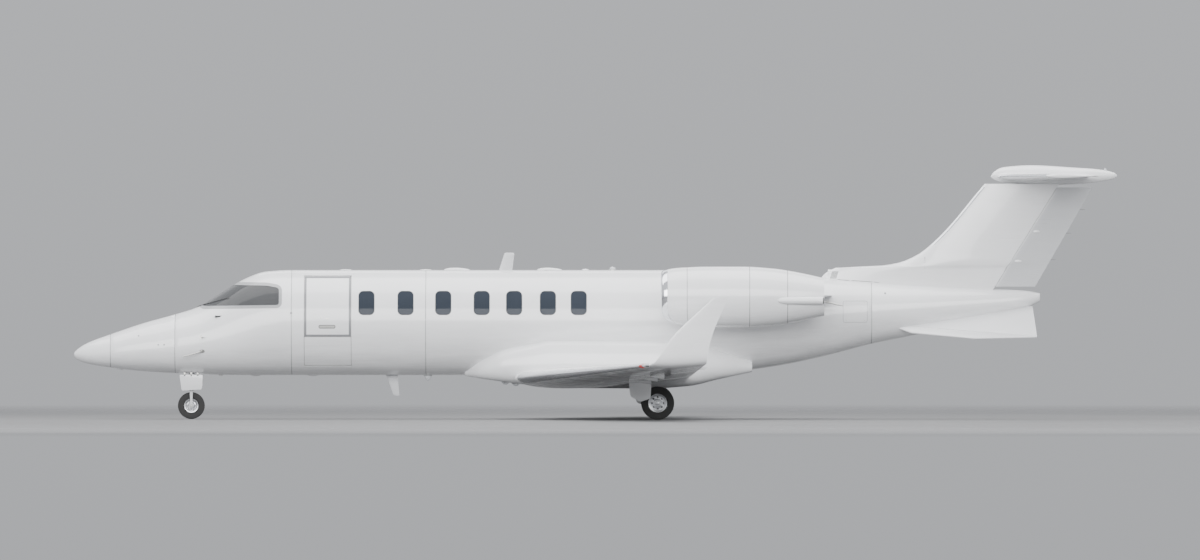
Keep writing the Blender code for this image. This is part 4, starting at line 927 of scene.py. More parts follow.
# Wing stations: y, leading edge x, chord, height, thickness ratio, roll in degrees
WING = (
    (0.900, -1.368, 2.934, 0.697, 0.118, 2.0),
    (4.000, -0.196, 1.890, 0.824, 0.108, 2.0),
    (6.900, 0.900, 0.915, 0.944, 0.100, 3.0),
    (7.040, 0.965, 0.880, 0.972, 0.095, 30.0),
    (7.125, 1.050, 0.805, 1.070, 0.085, 62.0),
    (7.175, 1.235, 0.680, 1.360, 0.075, 80.0),
    (7.275, 1.960, 0.235, 2.060, 0.070, 80.0),
)
AIRFOIL_POINTS = 36
TRAILING_EDGE = 0.006
SURFACE_HINGE = 0.760
SURFACE_GAP = 0.010
FLAP_Y = (1.780, 4.300)
AILERON_Y = (4.360, 6.480)
SPOILER_Y = (2.200, 4.000)
END_GAP = 0.013
# Flap track fairings: places across; stations from the hinge as x, half width, depth
TRACK_Y = (2.150, 3.050, 3.950)
TRACK = ((-0.420, 0.006, -0.008), (-0.340, 0.022, 0.024), (-0.200, 0.034, 0.060), (-0.080, 0.036, 0.080))
SPOILER_CHORD = (0.615, 0.725)
SPOILER_THICK = 0.018
WINGLET_STEPS = 22
# Panel lines: the spars as shares of the chord between two places across, and the ribs
PANEL_Y = (1.1, 6.85)
SPAR_SHARES = (0.16, 0.60)
RIB_Y = (1.75, 2.8, 4.33, 5.5, 6.85)


def half_thickness(fraction, ratio):
    """Half thickness of the airfoil, as a share of its chord."""
    root = math.sqrt(max(fraction, 0.0))
    return 5 * ratio * (0.2969 * root - 0.1260 * fraction - 0.3516 * fraction ** 2
                        + 0.2843 * fraction ** 3 - 0.1036 * fraction ** 4)


def airfoil(chord, ratio, start=0.0, end=1.0, grow=0.0):
    """(along, up) outline from the rear over the top to the nose and back below, between two shares."""
    fractions = [start + (end - start) * (1 - math.cos(math.pi * k / AIRFOIL_POINTS)) / 2
                 for k in range(AIRFOIL_POINTS + 1)]
    upper = [(f * chord, chord * half_thickness(f, ratio) + TRAILING_EDGE / 2 * f + grow)
             for f in reversed(fractions)]
    if start == 0.0:
        lower = [(a, -b) for a, b in reversed(upper[:-1])]
        return upper[:-1] + [(-grow, 0.0)] + lower
    return upper + [(a, -b) for a, b in reversed(upper)]


def wing_values(y):
    """Leading edge x, chord, height, thickness ratio and roll at a place along the straight span."""
    return [straight([(row[0], row[k]) for row in WING[:3]], y) for k in range(1, 6)]


def wing_stations():
    """Straight panels from root to tip, then a smooth sweep up into the winglet."""
    rows = [(y, *wing_values(y)) for y in steps(WING[0][0], WING[2][0], 0.25)]
    walk = [0.0]
    for near, far in zip(WING[2:], WING[3:]):
        walk.append(walk[-1] + math.hypot(far[0] - near[0], far[3] - near[3]))
    for k in range(1, WINGLET_STEPS + 1):
        way = walk[-1] * (k / WINGLET_STEPS) ** 1.5
        rows.append([smooth_curve([(walk[i], row[column]) for i, row in enumerate(WING[2:])], way)
                     for column in range(6)])
    return rows


def wing_ring(y, leading, chord, height, ratio, roll, start=0.0, end=1.0, grow=0.0):
    tilt = math.radians(roll)
    return [Vector((leading + along, y - up * math.sin(tilt), height + up * math.cos(tilt)))
            for along, up in airfoil(chord, ratio, start, end, grow)]


def hinge_point(y):
    """Place and nose radius of a trailing surface's hinge, and its trailing edge."""
    leading, chord, height, ratio, _ = wing_values(y)
    return (Vector((leading + SURFACE_HINGE * chord, y, height)),
            chord * half_thickness(SURFACE_HINGE, ratio),
            leading + chord)


def surface_ring(centre, radius, trailing, across, tail_half=TRAILING_EDGE / 2, turns=18):
    """Section of a hinged surface: a round nose about the hinge, then a taper to its rear edge."""
    ring = [centre + ALONG * (radius * math.cos(math.pi / 2 + math.pi * k / turns))
            + across * (radius * math.sin(math.pi / 2 + math.pi * k / turns)) for k in range(turns + 1)]
    rear = centre + ALONG * trailing
    low, high = ring[-1], ring[0]
    return (ring + [low.lerp(rear - across * tail_half, k / 8) for k in range(1, 9)]
            + [(rear + across * tail_half).lerp(high, k / 8) for k in range(8)])


def trailing_surface(low_y, high_y, grow=0.0, tail=0.0):
    """Flap or aileron, or with grow the room cut for it."""
    reach = END_GAP if grow else 0.0
    ends = (low_y - reach, high_y + reach)
    rings = []
    for y in steps(*ends, 0.15):
        centre, radius, trailing = hinge_point(y)
        half = radius + 0.03 if grow else TRAILING_EDGE / 2
        rings.append(surface_ring(centre, radius + grow, trailing - centre.x + tail, UP, half))
    return skin_mesh(rings)


def spoiler_section(y, grow=0.0, up=0.0):
    leading, chord, height, ratio, _ = wing_values(y)
    start, end = SPOILER_CHORD[0] - grow / chord, SPOILER_CHORD[1] + grow / chord
    top = [Vector((leading + f * chord, y, height + chord * half_thickness(f, ratio) + TRAILING_EDGE / 2 * f))
           for f in steps(start, end, 0.02)]
    bottom = [point - UP * (SPOILER_THICK + grow * 0.2) for point in reversed(top)]
    return [point + UP * up for point in top] + bottom


def wing_line(points, below=False, lift=0.0006, width=0.006):
    """Thin sealed line on the wing's skin along (y, chord share) points."""
    rows = []
    path = []
    for (y0, f0), (y1, f1) in zip(points, points[1:]):
        count = max(2, round(abs(y1 - y0) / 0.25), round(abs(f1 - f0) / 0.03))
        path += [(y0 + (y1 - y0) * k / count, f0 + (f1 - f0) * k / count) for k in range(count)]
    path.append(points[-1])
    spots = []
    for y, f in path:
        leading, chord, height, ratio, _ = wing_values(y)
        up = chord * half_thickness(f, ratio) + TRAILING_EDGE / 2 * f
        spots.append(Vector((leading + f * chord, y, height - up if below else height + up)))
    out = -UP if below else UP
    for i, spot in enumerate(spots):
        ahead = spots[min(i + 1, len(spots) - 1)] - spots[max(i - 1, 0)]
        across = ahead.cross(UP).normalized() * width / 2
        rows.append([spot + across + out * lift, spot - across + out * lift,
                     spot - across - out * 0.004, spot + across - out * 0.004])
    return skin_mesh(rows)


LEG_X, LEG_Y = 0.740, 1.425


def make_wings():
    rows = wing_stations()
    for side, label in SIDES:
        make_wing_skin(rows, side, label)
        make_wing_leaves(side, label)
        make_wing_lines(side, label)
        make_flap_tracks(side, label)


def make_wing_skin(rows, side, label):
    """Skin with the rooms of its leaves and its gear leg cut out, and a bare leading edge."""
    spoiler_room = skin_mesh([spoiler_section(y, SURFACE_GAP * 0.5, 0.05)
                              for y in steps(SPOILER_Y[0] - 0.004, SPOILER_Y[1] + 0.004, 0.2)])
    pocket = block((LEG_X - 0.092, LEG_Y - 0.072, 0.400), (LEG_X + 0.092, LEG_Y + 0.072, 0.680))
    wing = carve(skin_mesh([wing_ring(*row) for row in rows]),
                 [joined([trailing_surface(*FLAP_Y, SURFACE_GAP, 0.1),
                          trailing_surface(*AILERON_Y, SURFACE_GAP, 0.1),
                          spoiler_room, pocket])])
    dress("wing_skin_" + label, facing(wing, side), WHITE, stands_for=("wing_" + label,), sharp=28)
    edge = skin_mesh([wing_ring(y, *wing_values(y), end=0.045, grow=0.0008)
                      for y in steps(1.02, WING[2][0] - 0.05, 0.2)])
    dress("wing_leading_edge_" + label, facing(edge, side), EDGE_METAL)


def make_wing_leaves(side, label):
    for name, span in (("flap", FLAP_Y), ("aileron", AILERON_Y)):
        leaf = trailing_surface(*span)
        dress("%s_skin_%s" % (name, label), facing(leaf, side), WHITE, "%s_leaf_%s" % (name, label),
              stands_for=("%s_%s" % (name, label),))
    leaf = skin_mesh([spoiler_section(y) for y in steps(*SPOILER_Y, 0.2)])
    dress("spoiler_skin_" + label, facing(leaf, side), WHITE, "spoiler_leaf_" + label,
          stands_for=("spoiler_" + label,))


def make_wing_lines(side, label):
    lines = [wing_line([(PANEL_Y[0], share), (PANEL_Y[1], share)], below) for below in (False, True)
             for share in SPAR_SHARES]
    lines += [wing_line([(y, 0.05), (y, SPAR_SHARES[1])], below) for y in RIB_Y for below in (False, True)]
    dress("wing_panel_lines_" + label, facing(joined(lines), side), MID_GREY)


def make_flap_tracks(side, label):
    """Canoe-shaped covers over the flap tracks."""
    tracks = []
    for y in TRACK_Y:
        centre, radius = hinge_point(y)[:2]
        low = centre.z - radius
        rings = []
        for x in steps(TRACK[0][0], TRACK[-1][0], 0.02):
            half = smooth_curve([(s[0], s[1]) for s in TRACK], x)
            deep = smooth_curve([(s[0], s[2]) for s in TRACK], x)
            rings.append([Vector((centre.x + x, y + half * math.cos(math.pi * k / 12),
                                  low + 0.010 - (deep + 0.010) * math.sin(math.pi * k / 12)))
                          for k in range(13)] + [Vector((centre.x + x, y, low + 0.02))])
        tracks.append(skin_mesh(rings))
    dress("flap_track_fairings_" + label, facing(joined(tracks), side), WHITE)


# Belly fairing stations: x, half width, top height, bottom height
FAIRING = (
    (-2.210, 0.300, 0.860, 0.735),
    (-1.950, 0.660, 1.000, 0.690),
    (-1.540, 0.900, 1.195, 0.630),
    (-1.020, 0.978, 1.300, 0.565),
    (-0.780, 0.985, 1.352, 0.530),
    (0.900, 0.985, 1.340, 0.520),
    (1.570, 0.975, 1.285, 0.560),
    (2.100, 0.860, 1.150, 0.680),
    (2.650, 0.560, 0.980, 0.800),
)


def fairing_ring(x):
    """Broad tub with round lower corners; its upper edge curves in to the hull's side."""
    half, top, bottom = (smooth_curve([(row[0], row[k]) for row in FAIRING], x) for k in range(1, 4))
    corner = 0.45 * (top - bottom)
    ring = [Vector((x, (half - corner) * k / 4, bottom)) for k in range(4)]
    for k in range(13):
        angle = math.radians(-90 + 90 * k / 12)
        ring.append(Vector((x, half - corner + corner * math.cos(angle),
                            bottom + corner + corner * math.sin(angle))))
    shoulder = Vector((x, half * 0.985, bottom + 0.8 * (top - bottom)))
    edge = Vector((x, half * 0.80, top))
    start = ring[-1]
    bend = shoulder.lerp(Vector((x, half, top)), 0.35)
    for k in range(1, 13):
        t = k / 12
        ring.append(start * (1 - t) ** 2 + bend * 2 * t * (1 - t) + edge * t * t)
    ring.append(Vector((x, half * 0.4, top)))
    ring.append(Vector((x, 0.0, top)))
    return ring + [Vector((p.x, -p.y, p.z)) for p in reversed(ring[1:-1])]


def make_fairing():
    shell = skin_mesh([fairing_ring(x) for x in steps(FAIRING[0][0], FAIRING[-1][0], 0.06)])
    cutters = [hull_plug(-3.2, 3.8, 0.004)]
    dress("belly_fairing_skin", carve(shell, cutters), WHITE, stands_for=("belly_fairing",))


# The tail

FIN_LEADING = ((2.150, 3.700), (2.400, 3.830), (2.560, 4.060), (2.605, 4.900), (2.683, 5.246),
               (2.868, 5.581), (4.020, 6.626))
RUDDER_TRAILING = ((2.230, 7.441), (3.963, 8.446))
RUDDER_HINGE = ((2.230, 6.788), (4.051, 7.924))
RUDDER_Z = (2.245, 3.925)
FIN_TOP_Z = 3.985
FIN_THICK = 0.105
FIN_MOST = 0.26
STAB_HEIGHT = 4.105
STAB = ((0.000, 6.780, 1.560, 0.095), (2.600, 7.600, 0.800, 0.090))
ELEVATOR_HINGE_X = 7.960
ELEVATOR_Y = (0.220, 2.560)
BULLET = ((6.700, 4.110, 0.004, 0.004), (6.730, 4.120, 0.045, 0.048), (6.900, 4.140, 0.110, 0.125),
          (7.420, 4.135, 0.150, 0.165), (8.200, 4.120, 0.120, 0.135), (8.600, 4.125, 0.075, 0.095),
          (8.800, 4.123, 0.038, 0.046), (TAIL_X, 4.122, 0.006, 0.008))
DELTA_TOP = ((4.958, 1.559), (7.407, 1.878))
DELTA_BOTTOM = ((5.347, 1.458), (6.415, 1.359), (7.475, 1.383))
DELTA_CANT = 42.0


def fin_values(z):
    leading = smooth_curve(FIN_LEADING, z)
    chord = straight(RUDDER_TRAILING, z) - leading
    return leading, chord, min(FIN_THICK, FIN_MOST / chord)


def fin_ring(z, grow=0.0, end=1.0):
    leading, chord, thick = fin_values(z)
    return [Vector((leading + along, up, z)) for along, up in airfoil(chord, thick, end=end, grow=grow)]


def rudder_ring(z, grow, tail):
    leading, chord, thick = fin_values(z)
    hinge = straight(RUDDER_HINGE, z)
    radius = chord * half_thickness((hinge - leading) / chord, thick) + grow
    half = radius + 0.02 if grow else TRAILING_EDGE / 2
    return surface_ring(Vector((hinge, 0, z)), radius, chord + leading - hinge + tail, SIDE, half)


def stab_values(y):
    return [straight([(row[0], row[k]) for row in STAB], abs(y)) for k in range(1, 4)]


def stab_ring(y, grow=0.0, end=1.0, squeeze=1.0):
    leading, chord, ratio = stab_values(y)
    return [Vector((leading + along, y, STAB_HEIGHT + up * squeeze))
            for along, up in airfoil(chord, ratio, end=end, grow=grow)]


def elevator_ring(y, grow, tail):
    leading, chord, ratio = stab_values(y)
    share = (ELEVATOR_HINGE_X - leading) / chord
    radius = chord * half_thickness(share, ratio) + grow
    half = radius + 0.02 if grow else TRAILING_EDGE / 2
    return surface_ring(Vector((ELEVATOR_HINGE_X, y, STAB_HEIGHT)), radius, (1 - share) * chord + tail,
                        UP, half)


def bullet_ring(x):
    z, half, rise = (smooth_curve([(row[0], row[k]) for row in BULLET], x) for k in range(1, 4))
    return [Vector((x, half * math.sin(2 * math.pi * k / 48), z - rise * math.cos(2 * math.pi * k / 48)))
            for k in range(48)]


def make_tail():
    low = [2.160, 2.2, 2.25, 2.3, 2.35, 2.4, 2.44, 2.48, 2.52, 2.56, 2.58, 2.60, 2.62, 2.65, 2.68, 2.73,
           2.8, 2.87]
    fin = skin_mesh([fin_ring(z) for z in low + steps(2.94, FIN_TOP_Z, 0.09)])
    room = skin_mesh([rudder_ring(z, SURFACE_GAP + 0.002, 0.3) for z in steps(2.0, 4.3, 0.12)])
    dress("fin_skin", carve(fin, [hull_plug(3.2, HULL_END_X, 0.004), room]), WHITE, stands_for=("fin",))
    edge = skin_mesh([fin_ring(z, 0.0008, 0.03) for z in steps(2.95, 3.93, 0.12)])
    dress("fin_leading_edge", edge, EDGE_METAL)
    rudder = skin_mesh([rudder_ring(z, 0.0, 0.0) for z in steps(*RUDDER_Z, 0.1)])
    dress("rudder_skin", rudder, GREY_PAINT, "rudder_leaf", stands_for=("rudder",))

    tip = STAB[1][0]
    rings = [stab_ring(y) for y in steps(-tip + 0.03, tip - 0.03, 0.13)]
    stab = skin_mesh([stab_ring(-tip, squeeze=0.3), stab_ring(-tip + 0.01, squeeze=0.75)] + rings
                     + [stab_ring(tip - 0.01, squeeze=0.75), stab_ring(tip, squeeze=0.3)])
    rooms = []
    for side, label in SIDES:
        ends = (ELEVATOR_Y[0] - SURFACE_GAP, ELEVATOR_Y[1] + SURFACE_GAP)
        rooms.append(facing(skin_mesh([elevator_ring(y, SURFACE_GAP, 0.1) for y in steps(*ends, 0.2)]), side))
        leaf = skin_mesh([elevator_ring(y, 0.0, 0.0) for y in steps(*ELEVATOR_Y, 0.15)])
        dress("elevator_skin_" + label, facing(leaf, side), WHITE, "elevators",
              stands_for=("elevator_" + label,))
        edge = skin_mesh([stab_ring(y, 0.0008, 0.05) for y in steps(0.2, tip - 0.06, 0.2)])
        dress("tailplane_leading_edge_" + label, facing(edge, side), EDGE_METAL)
    dress("tailplane_skin", carve(stab, [joined(rooms)]), WHITE, stands_for=("tailplane",))
    places = [6.700, 6.703, 6.710, 6.722, 6.740, 6.770, 6.810, 6.860] + steps(6.92, 8.70, 0.07)
    bullet = skin_mesh([bullet_ring(x) for x in places + [8.740, 8.770, 8.800, 8.820, 8.832, TAIL_X]])
    dress("tail_bullet_skin", bullet, WHITE, stands_for=("tail_bullet",))
    make_delta_fins()


def make_delta_fins():
    """Flat fins under the tail, leaning outwards, with rounded edges."""
    tilt = math.radians(DELTA_CANT)
    outward = Vector((0, math.cos(tilt), -math.sin(tilt)))
    normal = Vector((0, math.sin(tilt), math.cos(tilt)))
    for side, label in SIDES:
        corners = []
        for x, z in (DELTA_TOP[0], DELTA_BOTTOM[0], DELTA_BOTTOM[1], DELTA_BOTTOM[2], DELTA_TOP[1]):
            root_z = straight(DELTA_TOP, x)
            root_y = hull_values(x)[2] * 0.62
            reach = (root_z - z) / math.sin(tilt)
            buried = min(0.05, (root_y - 0.022) / math.cos(tilt)) if reach < 0.01 else 0.0
            corners.append((x, reach - buried, root_y, root_z))
        outline = soften([(x, reach) for x, reach, _, _ in corners], 0.03)
        rings = []
        for lift, shrink in ((-0.018, 0.016), (-0.012, 0.004), (0.0, 0.0), (0.012, 0.004), (0.018, 0.016)):
            ring = []
            for x, reach in grown(outline, -shrink):
                root = Vector((x, hull_values(x)[2] * 0.62, straight(DELTA_TOP, x)))
                ring.append(root + outward * reach + normal * lift)
            rings.append(ring)
        dress("delta_fin_skin_" + label, facing(skin_mesh(rings), side), WHITE,
              stands_for=("delta_fin_" + label,))


# Engines

ENGINE_Y = 1.450
ENGINE_Z = 2.070
INTAKE_X = 1.110
NOZZLE_X = 3.860
LIP_END_X = 1.215
FAN_X = 1.780
FAN_RADIUS = 0.352
FAN_BLADES = 24
HUB_RADIUS = 0.115
DUCT_RADIUS = 0.362
NACELLE_OUTER = ((INTAKE_X, 0.405), (1.116, 0.420), (1.130, 0.434), (1.160, 0.450), (1.200, 0.462),
                 (1.400, 0.492), (1.900, 0.512), (2.500, 0.512), (3.000, 0.480), (3.400, 0.418),
                 (NOZZLE_X, 0.318))
NACELLE_INNER = ((INTAKE_X, 0.405), (1.118, 0.388), (1.140, 0.370), (1.180, 0.355), (1.350, 0.346),
                 (1.700, DUCT_RADIUS), (2.000, DUCT_RADIUS))
NOZZLE_INNER = ((2.300, 0.440), (2.900, 0.430), (3.400, 0.380), (NOZZLE_X - 0.005, 0.302))
LIP_RAKE = 0.27
SIDE_FAIRING = ((3.130, 0.450), (3.845, 0.372))
SIDE_FAIRING_Z = 2.008
SIDE_FAIRING_RADIUS = 0.062
SEAM_X = (1.545, 2.600, 3.240)


def raked(shape):
    """The lower lip of the intake lies further back than the upper lip."""
    for vert in shape.verts:
        drop = max(0.0, ENGINE_Z - vert.co.z) / 0.49
        fade = max(0.0, 1 - (vert.co.x - INTAKE_X) / 0.5)
        vert.co.x += LIP_RAKE * drop ** 5 * fade
    return shape


def profile_part(profile, start, end, step=0.04):
    """Fine points of a turned profile between two stations."""
    return [(x, smooth_curve(profile, x)) for x in steps(start, end, step)]


def make_engines():
    for side, label in SIDES:
        centre = (0, side * ENGINE_Y, ENGINE_Z)
        outer = profile_part(NACELLE_OUTER, LIP_END_X + 0.004, NOZZLE_X)
        outer = [(LIP_END_X + 0.002, outer[0][1] - 0.003)] + outer
        back = [(NOZZLE_X, 0.306)] + profile_part(NOZZLE_INNER, NOZZLE_X - 0.005, 2.3) + [(2.100, 0.400)]
        duct = profile_part(NACELLE_INNER, 2.0, LIP_END_X + 0.004)
        duct += [(LIP_END_X + 0.002, duct[-1][1] + 0.003)]
        shell = raked(turned(outer + back + duct, centre, sides=96, closed=True))
        dress("nacelle_skin_" + label, shell, WHITE, stands_for=("nacelle_" + label,))
        lip = profile_part(NACELLE_OUTER, 1.116, LIP_END_X - 0.002, 0.008)
        inside = profile_part(NACELLE_INNER, LIP_END_X - 0.002, 1.118, 0.008)
        ring = raked(turned([(INTAKE_X + 0.0005, 0.405)] + lip + [(LIP_END_X, 0.42)] + inside, centre,
                            sides=96, closed=True))
        dress("intake_lip_" + label, ring, LIP_METAL)
        seams = []
        for x in SEAM_X:
            radius = smooth_curve(NACELLE_OUTER, x)
            seams.append(raked(turned([(x - 0.004, radius + 0.0008), (x + 0.004, radius + 0.0008),
                                       (x + 0.004, radius - 0.004), (x - 0.004, radius - 0.004)],
                                      centre, sides=96, closed=True)))
        dress("nacelle_seams_" + label, joined(seams), SEALANT)
        block_shape = turned([(1.930, 0.0), (1.930, 0.140), (1.990, 0.190), (2.150, 0.250), (2.400, 0.300),
                              (3.000, 0.290), (3.350, 0.220), (3.600, 0.130), (3.760, 0.060),
                              (3.835, 0.0)], centre)
        dress("engine_core_" + label, block_shape, HOT_METAL, stands_for=("engine_" + label,))
        make_side_fairing(side, label)
        make_stators(side, label)
        make_mixer(side, label)
        make_fan(side, label)
        make_pylon(side, label)


def make_side_fairing(side, label):
    """Straight fairing along the outer side of the nozzle, with a dark drain cap at its end."""
    (front, near), (back, far) = SIDE_FAIRING
    rows = []
    for x in steps(front - 0.070, back - 0.012, 0.02):
        share = (x - front) / (back - front)
        full = math.sqrt(max(0.002, 1 - max(0.0, (front + 0.130 - x) / 0.200) ** 2))
        spot = Vector((x, side * (ENGINE_Y + near + (far - near) * share), SIDE_FAIRING_Z))
        radius = SIDE_FAIRING_RADIUS * full
        rows.append(oval(spot, SIDE * radius, UP * radius))
    dress("nozzle_side_fairing_" + label, skin_mesh(rows), WHITE)
    spots = [Vector((x, side * (ENGINE_Y + far), SIDE_FAIRING_Z)) for x in (back - 0.014, back + 0.006)]
    dress("drain_cap_" + label, rod(spots, SIDE_FAIRING_RADIUS * 0.86, 24), BLACK_TRIM)


def blade(x, root, tip, chord, twist, camber, thickness, rows=10, around=9):
    """Twisted, cambered blade standing on +Z from the axis along X; returns its rings."""
    rings = []
    for r in steps(0.0, 1.0, 1.0 / rows):
        radius = root + (tip - root) * r
        width = chord[0] + (chord[1] - chord[0]) * r
        angle = math.radians(twist[0] + (twist[1] - twist[0]) * r)
        ring = []
        for k in range(around * 2):
            share = k / around if k <= around else 2 - k / around
            face = 1 if k <= around else -1
            body = thickness * (1 - 0.55 * r) * math.sin(math.pi * min(max(share, 0.02), 0.98)) * face / 2
            a = (share - 0.5) * width
            b = camber * width * (1 - (2 * share - 1) ** 2) + body
            ring.append(Vector((x + a * math.cos(angle) - b * math.sin(angle),
                                a * math.sin(angle) + b * math.cos(angle), radius)))
        rings.append(ring)
    return rings


def ring_of(rings, count, centre):
    """The same blade repeated round an axis along X."""
    shapes = []
    middle = Vector(centre)
    for k in range(count):
        spin = Matrix.Rotation(2 * math.pi * k / count, 3, "X")
        shapes.append(skin_mesh([[middle + spin @ point for point in ring] for ring in rings]))
    return joined(shapes)


def make_stators(side, label):
    centre = (0, side * ENGINE_Y, ENGINE_Z)
    vanes = blade(2.060, 0.200, 0.365, (0.085, 0.085), (70, 78), 0.06, 0.008, 3, 6)
    dress("stator_vanes_" + label, ring_of(vanes, 30, centre), BLADE_METAL)


def make_mixer(side, label):
    """Lobed exhaust mixer inside the nozzle."""
    centre = Vector((0, side * ENGINE_Y, ENGINE_Z))
    lobes, sides = 12, 144
    rings = []
    for thick in (0.0, 0.004):
        layer = []
        for x in steps(3.10, 3.62, 0.04):
            share = (x - 3.10) / 0.52
            ring = []
            for k in range(sides):
                angle = 2 * math.pi * k / sides
                radius = 0.335 - 0.055 * share + 0.050 * share * math.cos(lobes * angle) - thick
                ring.append(centre + Vector((x, radius * math.sin(angle), radius * math.cos(angle))))
            layer.append(ring)
        rings.append(layer)
    mixer = hollow(rings[0] + list(reversed(rings[1])))
    dress("exhaust_mixer_" + label, mixer, HOT_METAL)


def make_fan(side, label):
    centre = (0, side * ENGINE_Y, ENGINE_Z)
    body = "fan_rotor_" + label
    blades = blade(FAN_X, HUB_RADIUS - 0.012, FAN_RADIUS - 0.003, (0.085, 0.125), (22, 58), 0.09, 0.012, 12)
    hub = turned([(FAN_X + 0.060, 0.0), (FAN_X + 0.060, HUB_RADIUS - 0.012), (FAN_X + 0.052, HUB_RADIUS),
                  (FAN_X - 0.056, HUB_RADIUS), (FAN_X - 0.060, HUB_RADIUS - 0.006), (FAN_X - 0.060, 0.0)],
                 centre)
    dress("fan_blades_" + label, joined([ring_of(blades, FAN_BLADES, centre), hub]), BLADE_METAL, body,
          stands_for=("fan_" + label,))
    nose = [(FAN_X - 0.230 + 0.170 * share ** 1.6,
             (HUB_RADIUS - 0.002) * math.sin(share * math.pi / 2) ** 0.9)
            for share in steps(0.0, 1.0, 0.05)]
    cone = turned([(a, r if r > 1e-6 else 0.0) for a, r in nose] + [(FAN_X - 0.060, 0.0)], centre)
    dress("spinner_" + label, cone, BLACK_TRIM, body)
    swirl = []
    for share in steps(0.12, 0.92, 0.02):
        angle = share * 1.75 * math.pi
        along = FAN_X - 0.230 + 0.170 * share ** 1.6
        radius = (HUB_RADIUS - 0.002) * math.sin(share * math.pi / 2) ** 0.9 + 0.0012
        wide = 0.010 * math.sin(math.pi * (share - 0.10) / 0.84)
        swirl.append([round_place(centre, "X", along + da, radius + dr, angle)
                      for da, dr in ((-wide, 0.0), (wide, 0.0), (wide, -0.004), (-wide, -0.004))])
    dress("spinner_spiral_" + label, skin_mesh(swirl), WHITE, body)


def nacelle_plug(side):
    """Solid form of the nacelle, for cutting."""
    middle = profile_part(NACELLE_OUTER, 1.45, NOZZLE_X)
    return turned([(1.3, 0.0), (1.3, 0.49)] + middle + [(4.3, 0.2), (4.3, 0.0)],
                  (0, side * ENGINE_Y, ENGINE_Z), sides=96)


def make_pylon(side, label):
    rings = [[Vector((1.950 + along, y, ENGINE_Z + 0.02 + up)) for along, up in airfoil(2.05, 0.085)]
             for y in steps(0.45, 1.05, 0.1)]
    pylon = carve(facing(skin_mesh(rings), side), [hull_plug(0.9, 5.0, 0.004), nacelle_plug(side)])
    dress("pylon_skin_" + label, pylon, WHITE, stands_for=("pylon_" + label,))


# Landing gear

def barrel(half, radius, edge=(0.0, 0.0), bore=0.0):
    """Profile of a pin, drum or eye, with its rims cut back by edge; an eye has a bore."""
    front = [(-half, bore), (-half, radius - edge[1])] + ([(-half + edge[0], radius)] if edge[0] else [])
    return front + [(-along, rim) for along, rim in reversed(front)]


def gear_door(outline, y, side, thick, bow=0.0):
    """Sheet over a landing gear leg, with softened rims; bow lets it follow the wing or hull."""
    rows = []
    for across, shrink in ((0.0, 0.004), (0.002, 0.0), (thick - 0.002, 0.0), (thick, 0.004)):
        rows.append([Vector((x, y + side * (across + bow * ((z - 0.45) / 0.25) ** 2), z))
                     for x, z in grown(outline, -shrink)])
    return skin_mesh(rows)


MAIN_X, MAIN_Y = 1.050, 1.425
MAIN_TYRE = (0.2795, 0.146, 0.155)
TWIN_SPACING = 0.270
PIVOT_Z = 0.330
DOOR_OUT = 0.230
NOSE_GEAR_X = -6.850
NOSE_TYRE = (0.2285, 0.112, 0.115)
COLLAR_Z = 0.620
TAXI_LAMP_X, TAXI_LAMP_Z = NOSE_GEAR_X - 0.090, 0.700
WHEEL_HALF_SHARE = 0.62
# Main leg: heights and radii down its strut, its collars, and its door's outline about the leg
STRUT = ((0.690, 0.062), (0.600, 0.060), (0.560, 0.044), (0.420, 0.042), (PIVOT_Z + 0.02, 0.048))
LEG_COLLARS_Z = (0.500, 0.610)
MAIN_DOOR = ((-0.185, 0.700), (0.205, 0.700), (0.190, 0.360), (0.020, 0.300), (-0.150, 0.390))
DOOR_STAY_Z = 0.470
# Nose leg: heights and radii up to the bay, and the drag strut's path and radii
NOSE_STRUT = ((COLLAR_Z + 0.001, 0.050), (COLLAR_Z + 0.030, 0.050), (COLLAR_Z + 0.034, 0.045), (0.800, 0.045),
              (1.055, 0.045))
DRAG_STRUT = ((0.0, 0.705, 0.016), (0.060, 0.810, 0.021), (0.150, 0.960, 0.018))
CROSS_TUBE_Z, NOSE_COLLAR_Z = 0.960, 0.715
NOSE_HINGE_X = (-6.960, -6.850, -6.740)
# Fork arms: height, half length, inner and outer face
FORK_ARM = ((0.500, 0.030, 0.068, 0.098), (0.440, 0.026, 0.070, 0.097), (0.340, 0.022, 0.071, 0.094),
            (NOSE_TYRE[0] + 0.030, 0.024, 0.071, 0.096))


def tyre_shape(centre, radius, width, rim, grooves):
    """Tyre with round shoulders, sidewall ribs and grooves round its tread."""
    half = width / 2
    tread = half * 0.66
    points = [(-half * 0.60, rim), (-half * 0.74, rim + 0.004), (-half * 0.84, rim + 0.012)]
    for share in steps(0.0, 1.0, 0.0833):
        angle = math.radians(-62 + 124 * share)
        rise = rim + 0.016 + (radius * 0.955 - rim - 0.016) * share
        bulge = half * (0.90 + 0.10 * math.cos(angle) ** 0.8)
        points.append((-bulge, rise))
    for share in steps(0.0, 1.0, 0.25):
        angle = math.radians(90 * share)
        points.append((-tread - (half * 0.93 - tread) * math.cos(angle),
                       radius * 0.965 + radius * 0.025 * math.sin(angle)))
    wide = tread * 2 / (grooves * 2 + 1)
    crown = [(-tread, radius * 0.992)]
    for g in range(grooves):
        left = -tread + wide * (2 * g + 1)
        top = radius - 0.004 * (2 * abs(left + wide / 2) / tread / 2) ** 2
        crown += [(left - 0.0005, top), (left + 0.001, top - 0.0065), (left + wide * 0.35, top - 0.0065),
                  (left + wide * 0.35 + 0.0015, top)]
    points += crown
    points += [(-a, r) for a, r in reversed(points[:len(points) - len(crown)])]
    return turned(points, centre, "Y", 72, closed=True)


